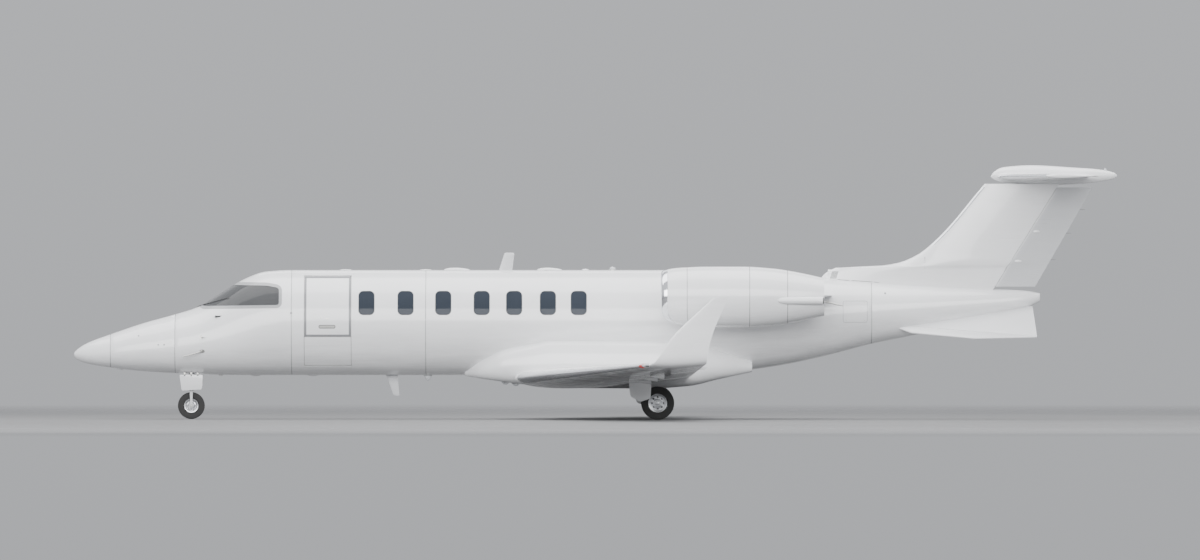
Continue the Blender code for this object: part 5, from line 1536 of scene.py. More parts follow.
def wheel_half(centre, face, rim, half, hub, holes=8):
    """Outer half of a cast wheel: flange, dish with windows and hub; face is +1 or -1 along Y."""
    y = face * half
    waist = (hub + rim) / 2
    profile = [(y * 0.01, rim - 0.002), (y * 0.86, rim - 0.002), (y * 0.92, rim + 0.008),
               (y * 1.06, rim + 0.010), (y * 1.06, rim + 0.004), (y * 1.00, rim - 0.004),
               (y * 0.95, rim - 0.012), (y * 0.62, rim - 0.016), (y * 0.38, rim - 0.024), (y * 0.26, waist),
               (y * 0.34, hub + 0.026), (y * 0.58, hub + 0.014), (y * 0.80, hub + 0.006),
               (y * 0.80, hub - 0.012), (y * 0.01, hub - 0.012), (y * 0.01, hub + 0.010),
               (y * 0.05, hub + 0.028), (y * 0.05, rim - 0.028), (y * 0.01, rim - 0.014)]
    shape = turned(profile, centre, "Y", 64, closed=True)
    tools = []
    for k in range(holes):
        angle = 2 * math.pi * k / holes
        spot = Vector(centre) + Vector((waist * math.cos(angle), 0, waist * math.sin(angle)))
        tools.append(rod([spot - SIDE * 0.2, spot + SIDE * 0.2], (rim - hub) * 0.18, 20))
    return shape, tools


def bolt_ring(centre, y, radius, count, size, high):
    """Hexagon bolt heads with washers, round an axis along Y."""
    shapes = []
    face = math.copysign(1.0, high)
    for k in range(count):
        angle = 2 * math.pi * (k + 0.5) / count
        spot = Vector(centre) + Vector((radius * math.cos(angle), y, radius * math.sin(angle)))
        shapes.append(turned([(0.0, 0.0), (0.0, size * 1.5), (face * 0.0015, size * 1.5),
                              (face * 0.0015, size), (high * 0.85, size), (high, size * 0.85),
                              (high, 0.0)], spot, "Y", 6))
    return joined(shapes)


def make_main_gear():
    radius, width, rim = MAIN_TYRE
    half = width / 2 * WHEEL_HALF_SHARE
    step = TWIN_SPACING / 2
    for side, label in SIDES:
        hub = Vector((MAIN_X, side * MAIN_Y, radius))
        body = "main_wheels_" + label
        shapes, bolts, discs = [], [], []
        for face, place in ((1, "outer"), (-1, "inner")):
            centre = hub + SIDE * (side * face * step)
            dress("main_tyre_%s_%s_tread" % (label, place), tyre_shape(centre, radius, width, rim + 0.001, 4),
                  TYRE, body, stands_for=("main_tyre_%s_%s" % (label, place),))
            out = side * face
            shape, tools = wheel_half(centre, out, rim, half, 0.050)
            shapes.append(carve(shape, [joined(tools)]))
            bolts.append(bolt_ring(centre, out * half * 0.80, 0.052, 8, 0.0055, out * 0.008))
            discs.append(turned([(out * half * 0.80 - out * 0.002, 0.0), (out * half * 0.80, 0.034),
                                 (out * half * 1.15, 0.034), (out * half * 1.22, 0.028),
                                 (out * half * 1.22, 0.0)], centre, "Y", 32))
        axle = turned(barrel(step, 0.0295), hub, "Y", 32)
        dress("main_wheel_castings_" + label, joined(shapes + discs), WHEEL_ALLOY, body,
              stands_for=("main_rims_" + label,))
        dress("main_wheel_bolts_" + label, joined(bolts + [axle]), PLAIN_STEEL, body)
        make_main_leg(side, label)


def make_main_leg(side, label):
    """Strut down from the wing, trailing link with an eye round the axle, damper and brake pipes."""
    y = side * MAIN_Y
    radius = MAIN_TYRE[0]
    shapes = []
    shapes.append(rod([(LEG_X, y, z) for z, _ in STRUT], [thick for _, thick in STRUT], 32))
    shapes.append(turned(barrel(0.052, 0.055, (0.006, 0.009)), (LEG_X, y, PIVOT_Z), "Y", 40))
    link = [(LEG_X, y, PIVOT_Z), (LEG_X + 0.09, y, PIVOT_Z - 0.006), (LEG_X + 0.18, y, PIVOT_Z - 0.022),
            (MAIN_X - 0.050, y, radius + 0.004)]
    shapes.append(rod(link, [0.036, 0.034, 0.030, 0.030], 28))
    shapes.append(turned(barrel(0.031, 0.057, (0.005, 0.007), 0.0312), (MAIN_X, y, radius), "Y", 48,
                         closed=True))
    for z in LEG_COLLARS_Z:
        shapes.append(turned([(-0.008, 0.0), (-0.010, 0.046), (-0.006, 0.053), (0.006, 0.053), (0.010, 0.046),
                              (0.008, 0.0)],
                             (LEG_X, y, z), "Z", 32))
    dress("main_leg_casting_" + label, joined(shapes), GEAR_WHITE, stands_for=("main_leg_" + label,))
    make_damper(y, label)
    make_brakes(y, label)
    make_main_door(side, label)


def make_damper(y, label):
    """Damper between the trailing link and the leg, with the pins of both and of the link."""
    low, high = Vector((LEG_X + 0.135, y, PIVOT_Z - 0.010)), Vector((LEG_X + 0.048, y, 0.540))
    damper = rod([low, low.lerp(high, 0.08), low.lerp(high, 0.45)], [0.016, 0.021, 0.021], 24)
    dress("main_damper_body_" + label,
          joined([damper, rod([low.lerp(high, 0.72), high], [0.024, 0.024], 24)]),
          GEAR_WHITE)
    dress("main_damper_rod_" + label, rod([low.lerp(high, 0.42), low.lerp(high, 0.75)], 0.0125, 20), CHROME)
    pins = [turned(barrel(0.060, 0.018, (0.006, 0.004)), (LEG_X, y, PIVOT_Z), "Y", 24)]
    pins += [turned(barrel(0.032, 0.010), spot, "Y", 20) for spot in (low, high)]
    dress("main_leg_pins_" + label, joined(pins), PLAIN_STEEL)


def make_brakes(y, label):
    """Two pipes down the leg and a brake housing inside each wheel."""
    radius = MAIN_TYRE[0]
    pipes = []
    for across in (0.018, -0.018):
        route = [(LEG_X - 0.047, y + across, 0.620), (LEG_X - 0.050, y + across, 0.450),
                 (LEG_X - 0.052, y + across, PIVOT_Z - 0.010),
                 (LEG_X - 0.010, y + across * 1.6, PIVOT_Z - 0.064),
                 (LEG_X + 0.120, y + across * 1.6, PIVOT_Z - 0.052),
                 (MAIN_X - 0.060, y + across * 1.4, radius - 0.046)]
        pipes.append(rod(bent(route), 0.0045, 10))
    dress("brake_pipes_" + label, joined(pipes), BLACK_TRIM)
    stacks = []
    for face in (1, -1):
        inner = face * 0.036
        stacks.append(turned([(inner, 0.034), (inner, 0.098), (inner + face * 0.010, 0.104),
                              (inner + face * 0.024, 0.104),
                              (inner + face * 0.024, 0.034)], (MAIN_X, y, radius), "Y", 48, closed=True))
    dress("brake_housings_" + label, joined(stacks), BRAKE_CARBON)


def make_main_door(side, label):
    """Door sheet outside the leg, on two stays."""
    y = side * MAIN_Y
    outline = soften([(LEG_X + x, z) for x, z in MAIN_DOOR], 0.035)
    panel = gear_door(outline, y + side * DOOR_OUT, side, 0.014, 0.012)
    dress("main_door_panel_" + label, panel, WHITE, stands_for=("main_door_" + label,))
    stays = []
    for x in (LEG_X - 0.06, LEG_X + 0.06):
        stays.append(rod([(x, y + side * out, DOOR_STAY_Z) for out in (0.040, DOOR_OUT + 0.002)], 0.008, 12))
    dress("main_door_stays_" + label, joined(stays), PLAIN_STEEL)


def make_nose_wheel(hub):
    radius, width, rim = NOSE_TYRE
    half = width / 2 * WHEEL_HALF_SHARE
    dress("nose_tyre_tread", tyre_shape(hub, radius, width, rim + 0.001, 2), TYRE, "nose_wheel",
          stands_for=("nose_tyre",))
    shapes = []
    for face in (1, -1):
        shape, tools = wheel_half(hub, face, rim, half, 0.038, 6)
        shapes.append(carve(shape, [joined(tools)]))
        shapes.append(turned([(face * half * 0.78, 0.0), (face * half * 0.78, 0.030),
                              (face * half * 1.1, 0.030), (face * half * 1.1, 0.0)],
                             hub, "Y", 28))
    dress("nose_wheel_casting", joined(shapes), WHEEL_ALLOY, "nose_wheel",
          stands_for=("nose_rim",))
    axle = turned(barrel(0.117, 0.0195, (0.004, 0.0035)), hub, "Y", 28)
    dress("nose_axle", axle, PLAIN_STEEL, "nose_wheel")


def make_nose_leg():
    """Leg with its collar, drag strut and cross tube in the bay."""
    leg = rod([(NOSE_GEAR_X, 0, z) for z, _ in NOSE_STRUT], [thick for _, thick in NOSE_STRUT], 32)
    collar = turned([(-0.012, 0.0), (-0.014, 0.047), (-0.010, 0.056), (0.010, 0.056), (0.014, 0.047),
                     (0.012, 0.0)],
                    (NOSE_GEAR_X, 0, NOSE_COLLAR_Z), "Z", 32)
    drag = rod([(NOSE_GEAR_X + x, 0, z) for x, z, _ in DRAG_STRUT], [thick for _, _, thick in DRAG_STRUT], 20)
    cross = rod([(NOSE_GEAR_X, y, CROSS_TUBE_Z) for y in (-0.148, 0.148)], 0.025, 24)
    dress("nose_leg_casting", joined([leg, collar, drag, cross]), GEAR_WHITE, stands_for=("nose_leg",))


def make_taxi_lamp():
    lamp = turned([(0.0, 0.0), (0.0, 0.040), (0.030, 0.046), (0.036, 0.044), (0.036, 0.040), (0.010, 0.034),
                   (0.006, 0.0)],
                  (TAXI_LAMP_X, 0, TAXI_LAMP_Z), "X", 32)
    flipped = Matrix.Rotation(math.pi, 4, "Z")
    bmesh.ops.transform(lamp, matrix=Matrix.Translation((2 * TAXI_LAMP_X, 0, 0)) @ flipped, verts=lamp.verts)
    bracket = rod([(NOSE_GEAR_X - 0.036, 0, NOSE_COLLAR_Z), (TAXI_LAMP_X - 0.002, 0, TAXI_LAMP_Z)], 0.010, 12)
    dress("taxi_lamp_shell", joined([lamp, bracket]), BLACK_TRIM)
    lens = turned([(-0.028, 0.0), (-0.026, 0.020), (-0.020, 0.039), (-0.017, 0.039), (-0.017, 0.0)],
                  (TAXI_LAMP_X - 0.008, 0, TAXI_LAMP_Z), "X", 32)
    dress("taxi_lamp_lens", lens, CLEAR_LENS)


def make_nose_fork(hub):
    """Crown, two arms with eyes round the axle, and the chromed piston."""
    fork = [rod([(NOSE_GEAR_X, 0, 0.512), (NOSE_GEAR_X, 0, 0.560)], 0.040, 28)]
    crown = block((NOSE_GEAR_X - 0.048, -0.097, 0.482), (NOSE_GEAR_X + 0.048, 0.097, 0.524), 0.014, 3)
    fork.append(crown)
    for side in (1, -1):
        rows = []
        for z, x_half, inner, outer in FORK_ARM:
            rows.append([Vector((NOSE_GEAR_X + cx * x_half, side * cy, z))
                         for cx, cy in ((-1, inner + 0.006), (-0.7, inner), (0.7, inner), (1, inner + 0.006),
                                        (1, outer - 0.006), (0.7, outer), (-0.7, outer),
                                        (-1, outer - 0.006))])
        fork.append(skin_mesh(rows))
        fork.append(turned([(side * 0.071, 0.0208), (side * 0.071, 0.036), (side * 0.075, 0.040),
                            (side * 0.094, 0.040), (side * 0.098, 0.036),
                            (side * 0.098, 0.0208)], hub, "Y", 40, closed=True))
    dress("nose_fork_casting", joined(fork), GEAR_WHITE, "steering", stands_for=("nose_fork",))
    piston = rod([(NOSE_GEAR_X, 0, 0.520), (NOSE_GEAR_X, 0, COLLAR_Z - 0.001)], 0.031, 32)
    dress("nose_piston", piston, CHROME, "steering")


def make_nose_doors():
    low, high = NOSE_BAY
    for side, label in SIDES:
        y = side * (high[1] + 0.012)
        outline = soften([(low[0] + 0.012, 0.752), (high[0] - 0.012, 0.752), (high[0] - 0.030, 0.502),
                          (low[0] + 0.050, 0.482)], 0.03)
        arms = [block((x - 0.016, min(y, y + side * 0.012), 0.730),
                      (x + 0.016, max(y, y + side * 0.012), 0.792), 0.003)
                for x in NOSE_HINGE_X]
        dress("nose_door_panel_" + label, gear_door(outline, y, side, 0.012), WHITE,
              stands_for=("nose_door_" + label,))
        dress("nose_door_hinges_" + label, joined(arms), PLAIN_STEEL)


def make_nose_gear():
    hub = Vector((NOSE_GEAR_X, 0, NOSE_TYRE[0]))
    make_nose_wheel(hub)
    make_nose_leg()
    make_taxi_lamp()
    make_nose_fork(hub)
    make_nose_doors()


# Cabin and cockpit inside

FLOOR_TOP = 0.935
COCKPIT_FRONT_X = -6.500
BULKHEAD_X = 1.540
LINING_INSET = 0.0885
SEAT_WIDE = 0.460
SEAT_BASE_Z, SEAT_TOP_Z = 1.180, 1.330
SEAT_DEEP = 0.540
SEAT_REAR = -SEAT_DEEP / 2
ARM_Z = SEAT_TOP_Z + 0.120
HEADREST_Z, SHELL_TOP_Z, BACK_TOP_Z = 1.930, 1.990, 1.860
CUSHION_VOXEL = 0.010
CUSHION_CAP = 0.016
SIMULATION_FRAMES = 20
# Seats: x, and 1 for facing the tail or -1 for facing the nose
CABIN_SEATS = ((-3.300, 1), (-2.050, -1), (-1.200, 1), (0.050, -1))
CABIN_SEAT_Y = 0.375
PILOT_SEAT_AT = (-5.560, 0.350)
BOARD_X = -6.215
DISPLAY_Z, DISPLAY_HIGH = 1.630, 0.165
KNOB_Y, KNOB_ROWS_Z = 0.240, (1.37, 1.42, 1.47)
BOARD_Z = (1.310, 1.745)
DIVIDER_X, DOORWAY_HALF = (-5.140, -5.112), 0.260
LEDGE_Z, LEDGE_FOOT_Z = 1.600, 1.240
# Half sections of a ceiling light strip and of the glareshield: (y, z) and (x, z)
LIGHT_STRIP = ((0.30, 2.372), (0.20, 2.392), (0.20, 2.412), (0.34, 2.388))
GLARESHIELD = ((-6.440, 1.745), (-6.180, 1.760), (-6.165, 1.752), (-6.180, 1.740), (-6.440, 1.725))
GLARESHIELD_HALF = 0.600
# Flight displays: y, width
DISPLAYS = ((-0.39, 0.22), (-0.13, 0.21), (0.13, 0.21), (0.39, 0.22))
WHEEL_Y = 0.350


def cushion_block(size, bulge, waist):
    """Starting form of a cushion: a soft-edged block, crowned on top, whose sides pull in between corners."""
    bm = block([-s / 2 for s in size], [s / 2 for s in size], min(size) * 0.28, 3)
    bmesh.ops.subdivide_edges(bm, edges=bm.edges[:], cuts=3, use_grid_fill=True)
    for vert in bm.verts:
        u, v = vert.co.x / (size[0] / 2), vert.co.y / (size[1] / 2)
        crown = max(0.0, 1 - u * u) * max(0.0, 1 - v * v)
        if vert.co.z > 0:
            vert.co.z += bulge * crown
        vert.co.x *= 1 - waist * max(0.0, 1 - v * v) * abs(u)
        vert.co.y *= 1 - waist * max(0.0, 1 - u * u) * abs(v)
    return bm


def stuffed(bm, pressure=4.0):
    """The cushion's cover blown up over its stuffing by a short cloth run, then frozen as a mesh."""
    mesh = bpy.data.meshes.new("cover")
    bm.to_mesh(mesh)
    bm.free()
    cover = bpy.data.objects.new("cover", mesh)
    bpy.context.collection.objects.link(cover)
    remesh = cover.modifiers.new("even mesh", "REMESH")
    remesh.mode = "VOXEL"
    remesh.voxel_size = CUSHION_VOXEL
    graph = bpy.context.evaluated_depsgraph_get()
    even = bpy.data.meshes.new_from_object(cover.evaluated_get(graph))
    cover.modifiers.clear()
    cover.data = even
    bpy.data.meshes.remove(mesh)
    start = [vert.co.copy() for vert in even.vertices]
    cloth = cover.modifiers.new("stuffing", "CLOTH")
    cloth.settings.use_pressure = True
    cloth.settings.uniform_pressure_force = pressure
    cloth.settings.tension_stiffness = 12.0
    cloth.settings.bending_stiffness = 0.6
    cloth.settings.quality = 4
    cloth.settings.effector_weights.gravity = 0.0
    scene = bpy.context.scene
    for number in range(1, SIMULATION_FRAMES + 1):
        scene.frame_set(number)
    graph = bpy.context.evaluated_depsgraph_get()
    blown = bpy.data.meshes.new_from_object(cover.evaluated_get(graph))
    cover.modifiers.clear()
    scene.frame_set(1)
    for vert, before in zip(blown.vertices, start):
        move = vert.co - before
        if move.length > CUSHION_CAP:
            vert.co = before + move.normalized() * CUSHION_CAP
    cover.data = blown
    bpy.data.meshes.remove(even)
    result = bmesh.new()
    result.from_mesh(cover.data)
    old = cover.data
    bpy.data.objects.remove(cover)
    bpy.data.meshes.remove(old)
    bmesh.ops.smooth_vert(result, verts=result.verts, factor=0.4, use_axis_x=True, use_axis_y=True,
                          use_axis_z=True)
    return result


def sewn(bm, channels, edge, depth=0.007, width=0.009):
    """Press sewn channels across a cushion, and one round its top face, into the cover."""
    for vert in bm.verts:
        if vert.co.z < 0:
            continue
        gap = min([abs(vert.co.x - x) for x in channels] + [abs(abs(vert.co.y) - edge)])
        vert.co.z -= depth * math.exp(-(gap / width) ** 2)
    return bm


def placed(bm, matrix):
    copy = bm.copy()
    bmesh.ops.transform(copy, matrix=matrix, verts=copy.verts)
    return copy


def seat_frame(x, y, facing_way):
    """Local axes of a seat: +X to its front, +Y to its left, +Z up, at the middle of its cushion."""
    turn = Matrix.Identity(4) if facing_way > 0 else Matrix.Rotation(math.pi, 4, "Z")
    return Matrix.Translation((x, y, 0)) @ turn


def make_seat(name, x, y, facing_way, cushions, hide, room):
    """Armchair on its pedestal: padded seat, back and head cushion, shells, armrests and belt."""
    frame_at = seat_frame(x, y, facing_way)
    base, back, head = cushions
    upright = Matrix.Translation((SEAT_REAR - 0.072, 0,
                                  (SEAT_TOP_Z + BACK_TOP_Z) / 2)) @ Matrix.Rotation(math.pi / 2, 4, "Y")
    spots = (("seat", base, Matrix.Translation((0.010, 0, SEAT_TOP_Z - 0.070))),
             ("back", back, upright),
             ("head", head,
              Matrix.Translation((SEAT_REAR - 0.068, 0, HEADREST_Z)) @ Matrix.Rotation(math.pi / 2, 4, "Y")))
    for part, shape, spot in spots:
        cushion = dress("%s_%s_cushion" % (name, part), placed(shape, frame_at @ spot), hide)
    make_seat_shell(name, frame_at, math.copysign(1.0, y) * facing_way, room)
    make_arm_pads(name, frame_at, hide)
    make_belt(name, frame_at)


def make_seat_shell(name, frame_at, foot, room):
    """Pan, back and side shells on a pedestal; foot is the side of the aisle."""
    half = SEAT_WIDE / 2
    shell = [block((SEAT_REAR - 0.138, -half + 0.012, SEAT_BASE_Z + 0.004),
                   (SEAT_DEEP / 2 - 0.030, half - 0.012, SEAT_BASE_Z + 0.040), 0.012),
             block((SEAT_REAR - 0.139, -half + 0.012, SEAT_BASE_Z + 0.020),
                   (SEAT_REAR - 0.118, half - 0.012, SHELL_TOP_Z), 0.009),
             block((-0.150, min(foot * 0.01, foot * -0.14), FLOOR_TOP),
                   (0.150, max(foot * 0.01, foot * -0.14), SEAT_BASE_Z + 0.010), 0.02)]
    for across in (1, -1):
        shell.append(block((SEAT_REAR - 0.030, across * half - 0.012 - 0.012 * across,
                            SEAT_BASE_Z + 0.030),
                           (SEAT_DEEP / 2 - 0.060, across * half + 0.012 - 0.012 * across,
                            ARM_Z), 0.010))
    dress(name + "_shell", placed(joined(shell), frame_at), room)


def make_arm_pads(name, frame_at, hide):
    half = SEAT_WIDE / 2
    arms = []
    for across in (1, -1):
        rows = []
        for along in steps(SEAT_REAR - 0.020, SEAT_DEEP / 2 - 0.050, 0.03):
            share = (along - SEAT_REAR + 0.020) / (SEAT_DEEP - 0.030)
            round_off = math.sqrt(max(0.04, 1 - (2 * share - 1) ** 6))
            middle = Vector((along, across * (half - 0.024), ARM_Z))
            rows.append(oval(middle, SIDE * (0.024 * round_off), UP * (0.032 * round_off), 16))
        arms.append(skin_mesh(rows))
    pads = dress(name + "_arm_pads", placed(joined(arms), frame_at), hide)


def make_belt(name, frame_at):
    """Both halves of a lap belt and its buckle."""
    half = SEAT_WIDE / 2
    belt = []
    for across in (1, -1):
        rows = []
        for share in steps(0.0, 1.0, 0.05):
            spot = Vector((-0.200 + 0.170 * share, across * (half - 0.045) * (1 - share),
                           SEAT_TOP_Z + 0.014 + 0.012 * math.sin(math.pi * share)))
            rows.append([spot + Vector((dx, 0, dz))
                         for dx, dz in ((-0.022, 0), (0.022, 0), (0.022, 0.0025), (-0.022, 0.0025))])
        belt.append(skin_mesh(rows))
    dress(name + "_belt", placed(joined(belt), frame_at), WEBBING)
    buckle = placed(block((-0.062, -0.030, SEAT_TOP_Z + 0.012), (0.002, 0.030, SEAT_TOP_Z + 0.030), 0.006),
                    frame_at)
    dress(name + "_buckle", buckle, CHROME)


def floor_panel(start, end, half_low, thick=0.020):
    """Floor between the walls, with its far edges against the lining."""
    rows = []
    for x in steps(start, end, 0.15):
        reach = min(half_low, abs(skin_at(x, FLOOR_TOP, 1, CABIN_WALL + 0.006).y))
        rows.append([Vector((x, -reach, FLOOR_TOP - thick)), Vector((x, reach, FLOOR_TOP - thick)),
                     Vector((x, reach, FLOOR_TOP)), Vector((x, -reach, FLOOR_TOP))])
    return skin_mesh(rows)


def make_lining():
    """Wall and ceiling lining with its openings, and the light strips along the ceiling."""
    lining = hull_tube(CABIN_X + 0.010, BULKHEAD_X, LINING_INSET + 0.004, LINING_INSET, 0.001)
    cut = window_cutters(CABIN_X, CABIN_END_X, -0.012)
    lining = carve(lining, [joined(cut + [prism(door_outline(0.004), -1.2, DOOR_INNER_Y)])])
    dress("cabin_wall_lining", lining, LINING)
    ceiling = []
    for side in (1, -1):
        rows = []
        for x in steps(CABIN_X + 0.12, BULKHEAD_X - 0.02, 0.25):
            rows.append([Vector((x, y, z)) for y, z in LIGHT_STRIP])
        ceiling.append(facing(skin_mesh(rows), side))
    dress("ceiling_light_strips", joined(ceiling), LINING)


def make_floors():
    carpet = carve(floor_panel(CABIN_X + 0.02, BULKHEAD_X, 0.60),
                   [block((DOOR_X[0] - 0.05, -0.9, 0.8), (DOOR_X[1] + 0.05, -0.29, 1.0))])
    dress("cabin_carpet", carpet, CARPET, stands_for=("cabin_floor",))
    dress("cockpit_carpet", floor_panel(COCKPIT_FRONT_X, CABIN_X - 0.02, 0.60), COCKPIT_TRIM,
          stands_for=("cockpit_floor",))


def make_side_ledges():
    ledges = []
    for side in (1, -1):
        start = -3.95 if side < 0 else CABIN_X + 0.3
        rows = []
        for x in steps(start, BULKHEAD_X - 0.02, 0.2):
            wall = abs(skin_at(x, LEDGE_Z, 1, CABIN_WALL + 0.004).y)
            foot = abs(skin_at(x, LEDGE_FOOT_Z, 1, CABIN_WALL + 0.006).y)
            rows.append([Vector((x, wall - inwards, LEDGE_Z - down))
                         for inwards, down in ((0.0, 0.0), (0.105, 0.006), (0.120, 0.020), (0.120, 0.040))]
                        + [Vector((x, foot - inwards, LEDGE_FOOT_Z)) for inwards in (0.004, 0.0)])
        ledges.append(facing(skin_mesh(rows), side))
    dress("side_ledges", joined(ledges), seat_hide("ledge hide", (0.36, 0.29, 0.21), 0.5))


def make_bulkheads():
    """Rear bulkhead, and the divider on both sides of the cockpit's doorway."""
    wall = carve(skin_mesh([skin_ring(x, CABIN_WALL + 0.002) for x in (BULKHEAD_X, 1.575)]),
                 [block((1.5, -0.30, 0.96), (BULKHEAD_X + 0.006, 0.30, 2.20), 0.02)])
    dress("rear_bulkhead", wall, LINING)
    divider = []
    for side in (1, -1):
        panel = carve(skin_mesh([skin_ring(x, CABIN_WALL + 0.006) for x in DIVIDER_X]),
                      [block((-5.3, -1.0, 0.0), (-5.0, DOORWAY_HALF, 3.0)),
                       block((-5.3, -1.0, 0.0), (-5.0, 1.0, FLOOR_TOP))])
        divider.append(facing(panel, side))
    dress("cockpit_divider", joined(divider), LINING)


def make_seats():
    """One set of cushions is stuffed and sewn, then placed in every seat."""
    base = sewn(stuffed(cushion_block((SEAT_DEEP - 0.045, SEAT_WIDE - 0.095, 0.100), 0.012, 0.03)),
                (-0.10, 0.0, 0.10), 0.135)
    back = sewn(stuffed(cushion_block((0.520, SEAT_WIDE - 0.060, 0.070), 0.014, 0.04)),
                (-0.13, 0.0, 0.13), 0.150)
    head = stuffed(cushion_block((0.125, 0.300, 0.075), 0.012, 0.05))
    cushions = (base, back, head)
    for number, (x, way) in enumerate(CABIN_SEATS, 1):
        for side, label in SIDES:
            make_seat("cabin_seat_%d_%s" % (number, label), x, side * CABIN_SEAT_Y, way, cushions,
                      SEAT_HIDE, LINING)
    for side, label in SIDES:
        make_seat("pilot_seat_" + label, PILOT_SEAT_AT[0], side * PILOT_SEAT_AT[1], -1, cushions, DARK_HIDE,
                  COCKPIT_TRIM)
    for shape in cushions:
        shape.free()


def make_interior():
    make_lining()
    make_floors()
    make_side_ledges()
    make_bulkheads()
    make_seats()
    make_instrument_board()
    make_glareshield()
    make_pedestal()
    make_control_wheels()


def display(x, y, z, wide, high):
    """Flight display: bezel and a dark screen with plain glowing bars."""
    bezel = carve(block((x - 0.004, y - wide / 2 - 0.012, z - high / 2 - 0.012),
                        (x + 0.014, y + wide / 2 + 0.012, z + high / 2 + 0.012), 0.004),
                  [block((x + 0.006, y - wide / 2, z - high / 2), (x + 0.05, y + wide / 2, z + high / 2))])
    return bezel, block((x, y - wide / 2 + 0.001, z - high / 2 + 0.001),
                        (x + 0.0065, y + wide / 2 - 0.001, z + high / 2 - 0.001))


def make_instrument_board():
    """Bay walls behind the pedals, and the board with its displays and knobs."""
    filler = carve(hull_plug(NOSE_SEAM_X + 0.010, COCKPIT_FRONT_X, CABIN_WALL + 0.001), [block(*NOSE_BAY)])
    dress("nose_bay_and_firewall", filler, GEAR_WHITE)
    board = carve(hull_plug(BOARD_X - 0.105, BOARD_X, CABIN_WALL + 0.006),
                  [block((-6.5, -0.9, 0.0), (-6.1, 0.9, BOARD_Z[0])),
                   block((-6.5, -0.9, BOARD_Z[1]), (-6.1, 0.9, 3.0))])
    bezels, screens = [], []
    for y, wide in DISPLAYS:
        bezel, screen = display(BOARD_X, y, DISPLAY_Z, wide, DISPLAY_HIGH)
        bezels.append(bezel)
        screens.append(screen)
    knobs = []
    for y in steps(-KNOB_Y, KNOB_Y, 0.06):
        for z in KNOB_ROWS_Z:
            knobs.append(turned([(0.0, 0.0), (0.0, 0.010), (0.014, 0.008), (0.016, 0.0)], (BOARD_X, y, z),
                                "X", 12))
    dress("instrument_board", joined([board] + bezels), COCKPIT_TRIM, stands_for=("instrument_panel",))
    material, tree, shader = finish("flight display", 0.12, Emission_Strength=0.6)
    bars = add(tree, "TexBrick", [(place(tree, (0.0, 22.0, 30.0)), "Vector")])
    bars.inputs["Color1"].default_value = (0.02, 0.10, 0.22, 1)
    bars.inputs["Color2"].default_value = (0.02, 0.16, 0.08, 1)
    bars.inputs["Mortar"].default_value = (0.004, 0.005, 0.007, 1)
    bars.inputs["Scale"].default_value = 1.0
    bars.inputs["Mortar Size"].default_value = 0.06
    tree.links.new(bars.outputs["Color"], shader.inputs["Base Color"])
    tree.links.new(bars.outputs["Color"], shader.inputs["Emission Color"])
    dress("display_screens", joined(screens), material)
    dress("panel_knobs", joined(knobs), BLACK_TRIM)


def make_glareshield():
    rows = []
    for share in steps(0.0, 1.0, 0.04):
        y = GLARESHIELD_HALF * (2 * share - 1)
        lift = 0.035 * (1 - (2 * share - 1) ** 4)
        rows.append([Vector((x, y, z + lift)) for x, z in GLARESHIELD])
    dress("glareshield", skin_mesh(rows), seat_hide("glareshield hide", (0.03, 0.03, 0.032), 0.65))


def make_pedestal():
    """Pedestal between the pilots, with two engine levers."""
    pedestal = block((BOARD_X, -0.095, FLOOR_TOP), (-5.900, 0.095, 1.300), 0.02)
    levers = [rod([(-6.02, y, 1.295), (-6.03, y, 1.380)], 0.006, 10) for y in (-0.02, 0.02)]
    grips = [block((-6.045, y - 0.014, 1.370), (-6.005, y + 0.014, 1.405), 0.008) for y in (-0.02, 0.02)]
    dress("centre_pedestal", joined([pedestal] + levers + grips), COCKPIT_TRIM)


def make_control_wheels():
    yokes = []
    for y in (-WHEEL_Y, WHEEL_Y):
        yokes.append(rod([(BOARD_X, y, 1.430), (-6.060, y, 1.450)], 0.016, 16))
        for across in (1, -1):
            yokes.append(rod(bent([(-6.060, y, 1.450), (-6.055, y + across * 0.110, 1.455),
                                   (-6.040, y + across * 0.140, 1.520),
                                   (-6.030, y + across * 0.120, 1.600)]), 0.013, 12))
    dress("control_wheels", joined(yokes), BLACK_TRIM)


# Cabin door: a lower leaf with steps and an upper leaf

DOOR_MIDDLE = (DOOR_X[0] + DOOR_X[1]) / 2
HINGE_RADIUS = 0.0038
HINGE_REACH = 0.280
GUTTER_RADIUS = 0.0128
# Each leaf: name, body, bottom, top, and the y and z of its hinge
LEAVES = (("door_steps", "door_steps_leaf", DOOR_Z[0] + DOOR_GAP, DOOR_Z[1] - DOOR_GAP / 2, -0.49409, 0.9088),
          ("door_upper", "door_upper_leaf", DOOR_Z[1] + DOOR_GAP / 2, DOOR_Z[2] - DOOR_GAP, -0.38926, 2.4282))
# Handle, with a dark plate of painted shade round its lever: x from and to, z from and to; locks: x, z, half
# width, half height; treads: z from and to
HANDLE = (-4.681, -4.398, 1.536, 1.597)
LOCKS = ((-4.644, 1.717, 0.016, 0.016), (-4.536, 1.698, 0.034, 0.014))
TREADS = ((1.010, 1.150), (1.210, 1.350))
TREAD_X = (-4.830, -4.230)


def leaf_layer(low, high, outer, wall, edge=0.0):
    """Part of the hull's wall inside a door leaf's outline."""
    shape = rounded(DOOR_X[0] + DOOR_GAP + edge, DOOR_X[1] - DOOR_GAP - edge, low + edge, high - edge,
                    DOOR_CORNER, 3)
    keep = prism(shape, -1.2, DOOR_INNER_Y - DOOR_GAP - edge)
    return carve(hull_tube(DOOR_X[0] - 0.05, DOOR_X[1] + 0.05, wall, outer), [keep], "INTERSECT")


def hinge_gutter(y, z):
    """Round channel along a hinge, cut from the leaf and from the hull."""
    return rod([(DOOR_X[0] - 0.004, y, z), (DOOR_X[1] + 0.004, y, z)], GUTTER_RADIUS, 20)


